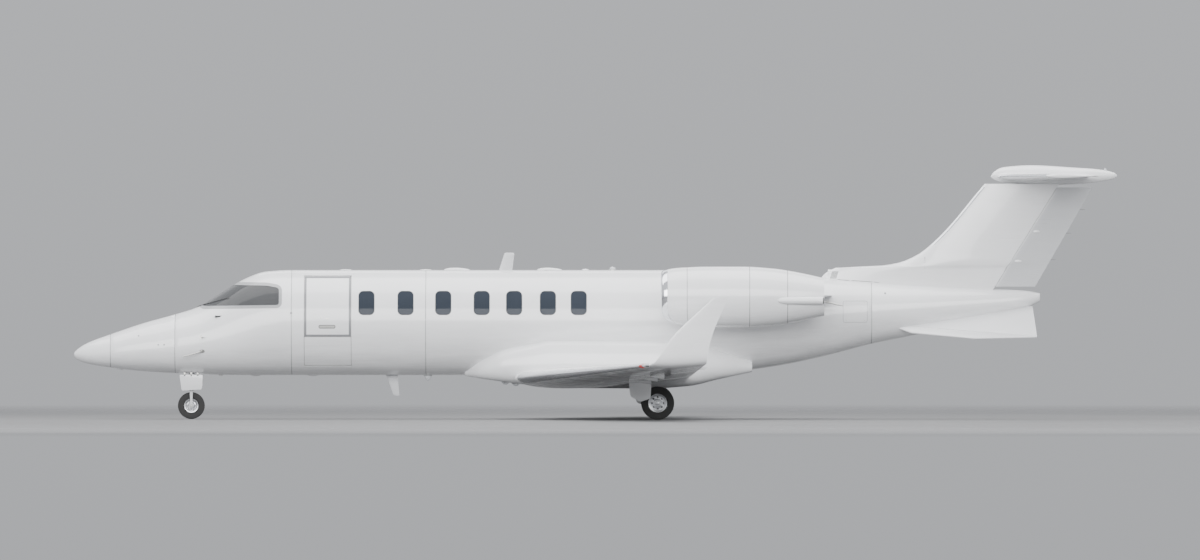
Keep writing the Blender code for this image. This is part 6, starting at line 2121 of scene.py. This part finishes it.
def make_doors():
    for name, body, low, high, y, z in LEAVES:
        skin = carve(leaf_layer(low, high, 0.0, 0.060), [hinge_gutter(y, z)])
        dress(name + "_skin", skin, WHITE, body, stands_for=(name,))
        dress(name + "_inner_panel", leaf_layer(low, high, 0.0605, 0.084, 0.012), LINING, body)
        knuckles = [[], []]
        for number, x in enumerate(steps(-HINGE_REACH, HINGE_REACH - 0.035, 0.035)):
            knuckles[number % 2].append(rod([(DOOR_MIDDLE + x + 0.001, y, z),
                                             (DOOR_MIDDLE + x + 0.034, y, z)],
                                            HINGE_RADIUS, 12))
        dress(name + "_hinge", joined(knuckles[0]), PLAIN_STEEL, body)
        dress(name + "_hinge_fixed", joined(knuckles[1]), PLAIN_STEEL)
    band = spread(rounded(DOOR_X[0] + DOOR_GAP + 0.002, DOOR_X[1] - DOOR_GAP - 0.002, LEAVES[1][2] + 0.002,
                          LEAVES[1][3] - 0.004, 0.010, 3), 0.04)
    dress("door_band", skin_band(band, grown(band, -0.034), -1), MID_GREY, "door_upper_leaf")
    handle = rounded(*HANDLE, 0.026, 6, 0.03)
    # Painted shade: a dark plate round the lever stands for the shade of a sunken grip.
    recess_shade = skin_plate(handle, -1, -0.0007, 0.003)
    lever = skin_plate(grown(handle, -0.011), -1, -0.0045, -0.0012)
    dress("door_handle_recess_shade", recess_shade, SEALANT, "door_upper_leaf")
    dress("door_handle", lever, PLAIN_STEEL, "door_upper_leaf")
    locks = []
    for x, z, wide, tall in LOCKS:
        locks.append(skin_plate(oval_outline(x, z, wide, tall, 16), -1, -0.0015, 0.002))
    dress("door_locks", joined(locks), PLAIN_STEEL, "door_upper_leaf")
    treads, ribs = [], []
    for low, high in TREADS:
        treads.append(skin_plate(spread(rounded(*TREAD_X, low, high, 0.015, 3), 0.05), -1, 0.083, 0.087))
        for z in steps(low + 0.015, high - 0.015, 0.018):
            ribs.append(skin_plate(spread(rounded(TREAD_X[0] + 0.015, TREAD_X[1] - 0.015, z - 0.004,
                                                  z + 0.004, 0.002, 2), 0.08), -1, 0.086, 0.0892))
    dress("step_treads", joined(treads), DARK_HIDE, "door_steps_leaf")
    dress("step_ribs", joined(ribs), PLAIN_STEEL, "door_steps_leaf")


# Aerials, probes, lights and small fittings

# Blades: name, foot x, tip x, foot height, tip height
AERIAL_BLADES = (("aerial_upper", (-1.640, -1.411), (-1.542, -1.373), 2.510, 2.820),
                 ("aerial_lower", (-3.552, -3.357), (-3.422, -3.320), 0.755, 0.395))
# Flush aerials on the crown and drain masts on the keel: x from and to, half width, height
TOP_AERIALS = ((-4.330, -4.127, 0.075, 0.016), (-2.975, -2.771, 0.075, 0.016), (-2.568, -2.127, 0.100, 0.048),
               (-0.990, -0.568, 0.100, 0.048), (-0.229, -0.110, 0.035, 0.024))
BELLY_MASTS = ((-8.130, -7.990, 0.030, 0.026), (-5.840, -5.668, 0.035, 0.022), (-4.870, -4.705, 0.035, 0.022))
TOP_BEACON_X, BELLY_BEACON_X = 0.288, -2.838
PITOT_AT, VANE_AT = (-6.655, 1.150), (-6.676, 1.390)
STATIC_PORTS = ((-5.146, 1.797, 0.016), (-7.400, 1.260, 0.012), (-7.300, 1.260, 0.012))
# Access panels on each side: x from and to, z from and to
SERVICE_PANELS = ((-1, ((4.190, 4.600, 1.640, 2.000),)),
                  (1, ((-8.000, -7.330, 1.150, 1.430), (-0.200, 0.080, 1.380, 1.560),
                       (4.150, 4.650, 1.620, 1.980), (-5.700, -5.300, 0.980, 1.180),
                       (-4.870, -4.210, 1.480, 2.380))))
JACK_PADS = ((0.100, 2.600, 0.628), (0.100, -2.600, 0.628), (-6.350, 0.0, 0.738))
LANDING_LAMPS = ((-1.525, 0.0), (-1.350, 0.420), (-1.350, -0.420))
AILERON_WICK_Y, ELEVATOR_WICK_Y, RUDDER_WICK_Z = (4.85, 5.25, 5.65), (1.20, 1.75, 2.30), (2.70, 3.15, 3.55)
HINGE_POD_Z = (2.675, 3.178)
# Seams of the dorsal fin in side view, at its root and across it
FIN_ROOT_SEAM = ((4.107, 2.364), (4.600, 2.330), (5.100, 2.292), (5.483, 2.264), (6.100, 2.232),
                 (6.760, 2.200))
FIN_CROSS_SEAM = ((5.581, 2.860), (5.581, 2.700), (5.581, 2.500), (5.581, 2.275))
GRILLE_X, GRILLE_LONG, GRILLE_SLATS, GRILLE_Z = 3.990, 0.110, 6, (2.380, 2.505)


def aerial_blade(foot, tip, start, end, thick):
    """Swept blade with a lens section; its tip rounds over."""
    rows = []
    for share in steps(0.0, 0.94, 0.08) + [0.97, 0.99, 1.0]:
        front, back = (foot[k] + (tip[k] - foot[k]) * share for k in (0, 1))
        squeeze = math.sqrt(max(0.02, 1 - max(0.0, (share - 0.92) / 0.08) ** 2))
        half, middle = (back - front) / 2 * (0.6 + 0.4 * squeeze), (front + back) / 2
        wide = (thick[0] + (thick[1] - thick[0]) * share) * squeeze
        z = start + (end - start) * share
        rows.append([Vector((middle - half * math.cos(math.pi * k / 12), wide * math.sin(math.pi * k / 12) *
                             (0.75 + 0.25 * math.cos(math.pi * k / 12)), z)) for k in range(24)])
    return skin_mesh(rows)


def hump(x0, x1, half, height, below=False):
    """Low streamlined bump on the top or bottom centre line."""
    rows = []
    for k in range(25):
        share = 1e-3 + (1 - 2e-3) * (1 - math.cos(math.pi * k / 24)) / 2
        fat = math.sqrt(share) * (1 - share) ** 0.65 / 0.545
        x = x0 + (x1 - x0) * share
        keel, top = hull_values(x)[:2]
        base, rise = (keel, -1) if below else (top, 1)
        wide, tall = max(half * fat, 0.0008), max(height * fat, 0.0008)
        rows.append([Vector((x, wide * math.cos(math.pi * t / 12),
                             base + rise * tall * math.sin(math.pi * t / 12)))
                     for t in range(13)] + [Vector((x, 0, base - rise * 0.012))])
    return skin_mesh(rows)


def lens_dome(x, y, z, radius, height, down=False):
    """Clear dome over a lamp, on top of a surface or hanging from it."""
    sign = -1 if down else 1
    profile = [(0.0, radius)] + [(height * math.sin(a), radius * math.cos(a)) for a in
                                 (math.pi / 2 * k / 8 for k in range(1, 8))] + [(height, 0.0)]
    profile = [(-0.012, 0.0), (-0.012, radius)] + profile
    return turned([(sign * along, r) for along, r in profile], (x, y, z), "Z", 28)


def beacon(name, x, z, radius, height, down=False):
    dress(name + "_lens", lens_dome(x, 0, z, radius, height, down), CLEAR_LENS)
    sign = -1 if down else 1
    foot = turned([(sign * a, r) for a, r in ((-0.020, 0.0), (-0.020, radius * 1.25), (0.004, radius * 1.20),
                                              (0.009, radius * 1.04), (0.009, 0.0))], (x, 0, z), "Z", 28)
    dress(name + "_base", foot, PLAIN_STEEL)


def panel_line(x0, x1, z0, z1, side, radius=0.03):
    """Outline of an access panel on the hull's side."""
    shape = spread(rounded(x0, x1, z0, z1, radius, 4), 0.04)
    return strip(shape + shape[:1], 0.005, lambda x, z, up: skin_at(x, z, side, -up), 0.0006, 0.002)


def fastener(x, z, side, radius=0.009):
    return skin_plate(oval_outline(x, z, radius, radius, 12), side, -0.0008, 0.002, 1)


def make_aerials():
    for name, foot, tip, start, end in AERIAL_BLADES:
        dress(name + "_blade", aerial_blade(foot, tip, start, end, (0.015, 0.007)), GREY_PAINT,
              stands_for=(name,))
    for number, (x0, x1, half, height) in enumerate(TOP_AERIALS, 1):
        dress("top_aerial_%d" % number, hump(x0, x1, half, height), WHITE)
    for number, (x0, x1, half, height) in enumerate(BELLY_MASTS, 1):
        dress("belly_mast_%d" % number, hump(x0, x1, half, height, below=True), WHITE)
    beacon("top_beacon", TOP_BEACON_X, hull_values(TOP_BEACON_X)[1], 0.058, 0.058)
    beacon("belly_beacon", BELLY_BEACON_X, hull_values(BELLY_BEACON_X)[0], 0.062, 0.092, down=True)
    dress("tail_light_lens", lens_dome(8.640, 0, 4.205, 0.026, 0.046), CLEAR_LENS)


def make_probes():
    tubes, plates, vanes, ports = [], [], [], []
    for side, _ in SIDES:
        foot = skin_at(*PITOT_AT, side, 0.006)
        out = Vector((0, side, 0))
        path = bent([foot, foot + out * 0.050 + Vector((-0.045, 0, -0.012)),
                     foot + out * 0.062 + Vector((-0.130, 0, -0.040)),
                     foot + out * 0.062 + Vector((-0.318, 0, -0.090))])
        radii = [0.016 - 0.006 * min(1.0, 2.0 * k / (len(path) - 1)) for k in range(len(path))]
        tubes.append(rod(path, radii, 20))
        centre = skin_at(*VANE_AT, side)
        for spot, long in ((PITOT_AT, 0.045), (VANE_AT, 0.030)):
            plates.append(skin_plate(oval_outline(*spot, long, 0.030, 20), side, -0.002, 0.002))
        vane = skin_mesh([[centre + out * reach + Vector((x, 0, z)) for x, z in
                           ((-0.014 + lean, 0.0), (0.0 + lean, thin), (0.052 + lean, 0.001),
                            (0.052 + lean, -0.001), (0.0 + lean, -thin))]
                          for reach, lean, thin in ((0.000, 0.0, 0.006), (0.060, 0.016, 0.003))])
        vanes.append(vane)
        for x, z, half in STATIC_PORTS:
            shape = rounded(x - half, x + half, z - half, z + half, half * 0.3, 3)
            ports.append(skin_plate(shape, side, -0.0012, 0.002, 2))
        ports += [fastener(-7.737, 1.412, side, 0.013), fastener(4.903, 2.131, side, 0.017)]
    dress("pitot_tubes", joined(tubes), PLAIN_STEEL)
    dress("probe_plates", joined(plates), PLAIN_STEEL)
    dress("flow_vanes", joined(vanes), PLAIN_STEEL)
    dress("static_ports", joined(ports), MID_GREY)
    wipers = []
    for side, _ in SIDES:
        low = [skin_at(x, z, side, -0.012) for x, z in ((-6.730, 1.935), (-6.520, 1.975), (-6.200, 2.060))]
        wipers.append(rod([skin_at(-6.760, 1.905, side, 0.004)] + low, 0.0055, 10))
    dress("windshield_air_pipes", joined(wipers), BLACK_TRIM)


def make_service_panels():
    lines, screws = [], []
    for side, places in SERVICE_PANELS:
        for x0, x1, z0, z1 in places:
            lines.append(panel_line(x0, x1, z0, z1, side))
            for x in (x0 + 0.05, x1 - 0.05):
                for z in (z0 + 0.03, z1 - 0.03):
                    screws.append(fastener(x, z, side, 0.006))
    dress("service_panel_lines", joined(lines), MID_GREY)
    dress("service_panel_latches", joined(screws), PLAIN_STEEL)


def make_jack_pads():
    pads = []
    for x, y, z in JACK_PADS:
        pads.append(turned([(0.060, 0.0), (0.060, 0.034), (0.003, 0.034), (0.0, 0.031), (0.0, 0.012),
                            (0.012, 0.006), (0.012, 0.0)], (x, y, z), "Z", 32))
    dress("jack_pads", joined(pads), PLAIN_STEEL)


def wing_lamp(side, low_y, high_y, share, grow):
    """Lens that follows the wing's leading edge between two places across."""
    rows = [wing_ring(y, *wing_values(y), 0.0, share, grow) for y in steps(low_y, high_y, 0.03)]
    return facing(skin_mesh(rows), side)


def make_lights():
    for side, label, lens in ((1, "right", GREEN_LENS), (-1, "left", RED_LENS)):
        dress("wing_light_lens_" + label, wing_lamp(side, 6.420, 6.560, 0.060, 0.0018), lens)
        dress("wing_strobe_lens_" + label, wing_lamp(side, 6.580, 6.660, 0.060, 0.0018), CLEAR_LENS)
    glasses, rims = [], []
    for x, y in LANDING_LAMPS:
        z = fairing_bottom(x, y)
        glasses.append(lens_dome(x, y, z, 0.062, 0.046, True))
        rims.append(turned([(0.0, 0.068), (0.006, 0.074), (0.014, 0.070), (0.014, 0.062), (0.0, 0.062)],
                           (x, y, z - 0.010), "Z", 28, closed=True))
    dress("landing_lamp_glass", joined(glasses), CLEAR_LENS)
    dress("landing_lamp_rims", joined(rims), CHROME)


def fairing_bottom(x, y):
    """Height of the belly fairing's underside."""
    ring = fairing_ring(x)
    below = sorted((point for point in ring if point.z < 0.9), key=lambda p: abs(abs(p.y) - abs(y)))
    return below[0].z


def wick(spot, long):
    """Thin tapered rod that trails from an edge."""
    spot = Vector(spot)
    return rod([spot - ALONG * 0.030, spot + ALONG * 0.020, spot + ALONG * long], [0.0035, 0.0028, 0.0012], 8)


def make_static_wicks():
    for side, label in SIDES:
        rods = []
        for y in AILERON_WICK_Y:
            centre, _, trailing = hinge_point(y)
            rods.append(wick((trailing, side * y, centre.z), 0.100))
        dress("aileron_wicks_" + label, joined(rods), BLACK_TRIM, "aileron_leaf_" + label)
    rods = []
    for y in ELEVATOR_WICK_Y:
        leading, chord = stab_values(y)[:2]
        for side in (1, -1):
            rods.append(wick((leading + chord, side * y, STAB_HEIGHT), 0.090))
    dress("elevator_wicks", joined(rods), BLACK_TRIM, "elevators")
    rods = []
    for z in RUDDER_WICK_Z:
        leading, chord = fin_values(z)[:2]
        rods.append(wick((leading + chord, 0, z), 0.090))
    dress("rudder_wicks", joined(rods), BLACK_TRIM, "rudder_leaf")


def tail_side(x, z, side, lift=0.0):
    """Outermost point of the fin, or of the hull below it, at a place in side view."""
    leading, chord, thick = fin_values(z)
    share = (x - leading) / chord
    half = chord * half_thickness(share, thick) if 0.0 < share < 1.0 else 0.0
    if z < hull_values(x)[1] - 0.002:
        half = max(half, abs(skin_at(x, z, 1).y))
    return Vector((x, side * (half + lift), z))


def tail_line(points, side, width=0.008):
    return strip(bent(points, 4), width, lambda x, z, up: tail_side(x, z, side, up), 0.0008, 0.003)


def hinge_pod(z, side, long=0.125, tall=0.032, deep=0.020):
    """Streamlined cover over a rudder hinge."""
    start = straight(RUDDER_HINGE, z) + 0.036
    rows = []
    for k in range(17):
        share = 1e-3 + (1 - 2e-3) * (1 - math.cos(math.pi * k / 16)) / 2
        fat = max(0.03, math.sqrt(share) * (1 - share) ** 0.65 / 0.545)
        centre = tail_side(start + long * share, z, side, -0.006)
        rows.append(oval(centre, SIDE * (side * deep * fat), UP * (tall * fat), 16))
    return skin_mesh(rows)


def make_tail_lines():
    lines = [tail_line(points, side) for points in (FIN_ROOT_SEAM, FIN_CROSS_SEAM) for side, _ in SIDES]
    dress("fin_seams", joined(lines), SEALANT)
    grilles = []
    for side, _ in SIDES:
        low, high = GRILLE_Z
        for k in range(GRILLE_SLATS):
            x = GRILLE_X + GRILLE_LONG * (k + 0.5) / GRILLE_SLATS
            grilles.append(tail_line([(x - 0.020, low), (x, (low + high) / 2), (x + 0.020, high)],
                                     side, 0.010))
    dress("dorsal_air_grilles", joined(grilles), SEALANT)
    dress("rudder_hinge_pods", joined([hinge_pod(z, side) for z in HINGE_POD_Z for side, _ in SIDES]), WHITE,
          "rudder_leaf")


def make_tail_fittings():
    inlet = []
    for scale, shift in ((1.0, 0.0), (0.80, 0.004)):
        rows = []
        for x in steps(3.940 + shift, 4.330, 0.03):
            share = (x - 3.940) / 0.390
            high = 2.535 - 0.010 * share
            wide = (0.052 + 0.012 * share) * scale
            base = 2.400
            rows.append(oval(Vector((x, 0, (high + base) / 2)), SIDE * wide,
                             UP * ((high - base) / 2 * scale)))
        inlet.append(rows)
    duct = carve(skin_mesh(inlet[0]), [skin_mesh([[p - ALONG * 0.02 for p in inlet[1][0]]] + inlet[1][1:8])])
    dress("ram_air_inlet", duct, WHITE)
    # Painted shade: a black plug closes the back of the inlet's hollow and stands for the shade deep in the
    # duct.
    ends = [inlet[1][6], inlet[1][7]]
    dress("ram_air_inlet_depth_shade", skin_mesh(ends), BLACK_TRIM)
    pipes = []
    for side, _ in SIDES:
        pipes.append(rod([(3.700, side * 0.980, 2.010), (3.900, side * 0.980, 1.985),
                          (4.178, side * 0.980, 1.922)],
                         [0.018, 0.016, 0.011], 16))
    dress("pylon_drain_pipes", joined(pipes), PLAIN_STEEL)


make_hull()
make_windows()
make_wings()
make_fairing()
make_tail()
make_engines()
make_main_gear()
make_nose_gear()
make_interior()
make_doors()
make_aerials()
make_probes()
make_service_panels()
make_jack_pads()
make_lights()
make_static_wicks()
make_tail_lines()
make_tail_fittings()


# Stage: floor, soft light and the picture's camera

FLOOR_HALF = 42.0
FLOOR_FADE_START = 13.0
FLOOR_TONES = ((0.165, 0.165, 0.167), (0.158, 0.158, 0.160))
# The sky brightens between two heights of view
SKY_HEIGHTS, SKY_STRENGTHS = (-0.22, 0.20), (0.01, 1.05)
LIGHT_AIM = (0.0, 0.0, 1.8)
# Softboxes: name, place, width and depth, watts
SOFTBOXES = (("overhead softbox", (0.0, 0.0, 16.0), (34.0, 12.0), 5000.0),
             ("side softbox", (-3.0, -30.0, 11.0), (44.0, 14.0), 13000.0),
             ("far softbox", (3.0, 24.0, 18.0), (30.0, 6.0), 1200.0))


def make_floor():
    """Pale floor that fades into the background."""
    floor_mesh = bpy.data.meshes.new("studio_floor")
    half = FLOOR_HALF
    floor_mesh.from_pydata([(-half, -half, 0), (half, -half, 0), (half, half, 0), (-half, half, 0)], [],
                           [(0, 1, 2, 3)])
    floor = bpy.data.objects.new("studio_floor", floor_mesh)
    bpy.context.collection.objects.link(floor)
    material, tree, shader = finish("pale studio floor", 0.75)
    film = place_effect(tree, FILM, Ripple_Scale=3.0, Patch_Scale=0.15)
    tree.links.new(mixed(tree, film["Patches"], *FLOOR_TONES), shader.inputs["Base Color"])
    tree.links.new(spread_map(tree, film["Patches"], 0.0, 1.0, 0.7, 0.8), shader.inputs["Roughness"])
    reach = add(tree, "VectorMath", [(place(tree), 0)], operation="LENGTH")
    fade = spread_map(tree, reach.outputs["Value"], FLOOR_FADE_START, FLOOR_HALF - 2.0, 1.0, 0.0)
    tree.links.new(fade, shader.inputs["Alpha"])
    floor_mesh.materials.append(material)


def make_sky():
    """Soft grey light from above, darker towards the floor."""
    world = bpy.data.worlds.new("studio")
    bpy.context.scene.world = world
    world.use_nodes = True
    sky = world.node_tree.nodes["Background"]
    sky.inputs["Color"].default_value = (0.94, 0.96, 1.0, 1.0)
    tree = world.node_tree
    height = add(tree, "SeparateXYZ", [(add(tree, "TexCoord").outputs["Generated"], "Vector")]).outputs["Z"]
    tree.links.new(spread_map(tree, height, *SKY_HEIGHTS, *SKY_STRENGTHS), sky.inputs["Strength"])


def make_softboxes():
    for name, place_at, size, power in SOFTBOXES:
        data = bpy.data.lights.new(name, "AREA")
        data.shape = "RECTANGLE"
        data.size, data.size_y = size
        data.energy = power
        light = bpy.data.objects.new(name, data)
        light.location = place_at
        light.rotation_euler = (Vector(LIGHT_AIM) - Vector(place_at)).to_track_quat("-Z", "Y").to_euler()
        bpy.context.collection.objects.link(light)


def make_camera():
    """Long lens level with the picture's middle, so that it matches the picture's scale."""
    data = bpy.data.cameras.new("picture camera")
    data.lens = LENS
    data.sensor_width = SENSOR
    data.clip_end = 2000.0
    camera = bpy.data.objects.new("picture camera", data)
    distance = LENS / SENSOR * PICTURE_WIDTH / PIXELS_PER_METRE
    camera.location = Vector(PICTURE_CENTRE) - SIDE * distance
    camera.rotation_euler = (math.pi / 2, 0, 0)
    bpy.context.collection.objects.link(camera)
    bpy.context.scene.camera = camera


make_floor()
make_sky()
make_softboxes()
make_camera()
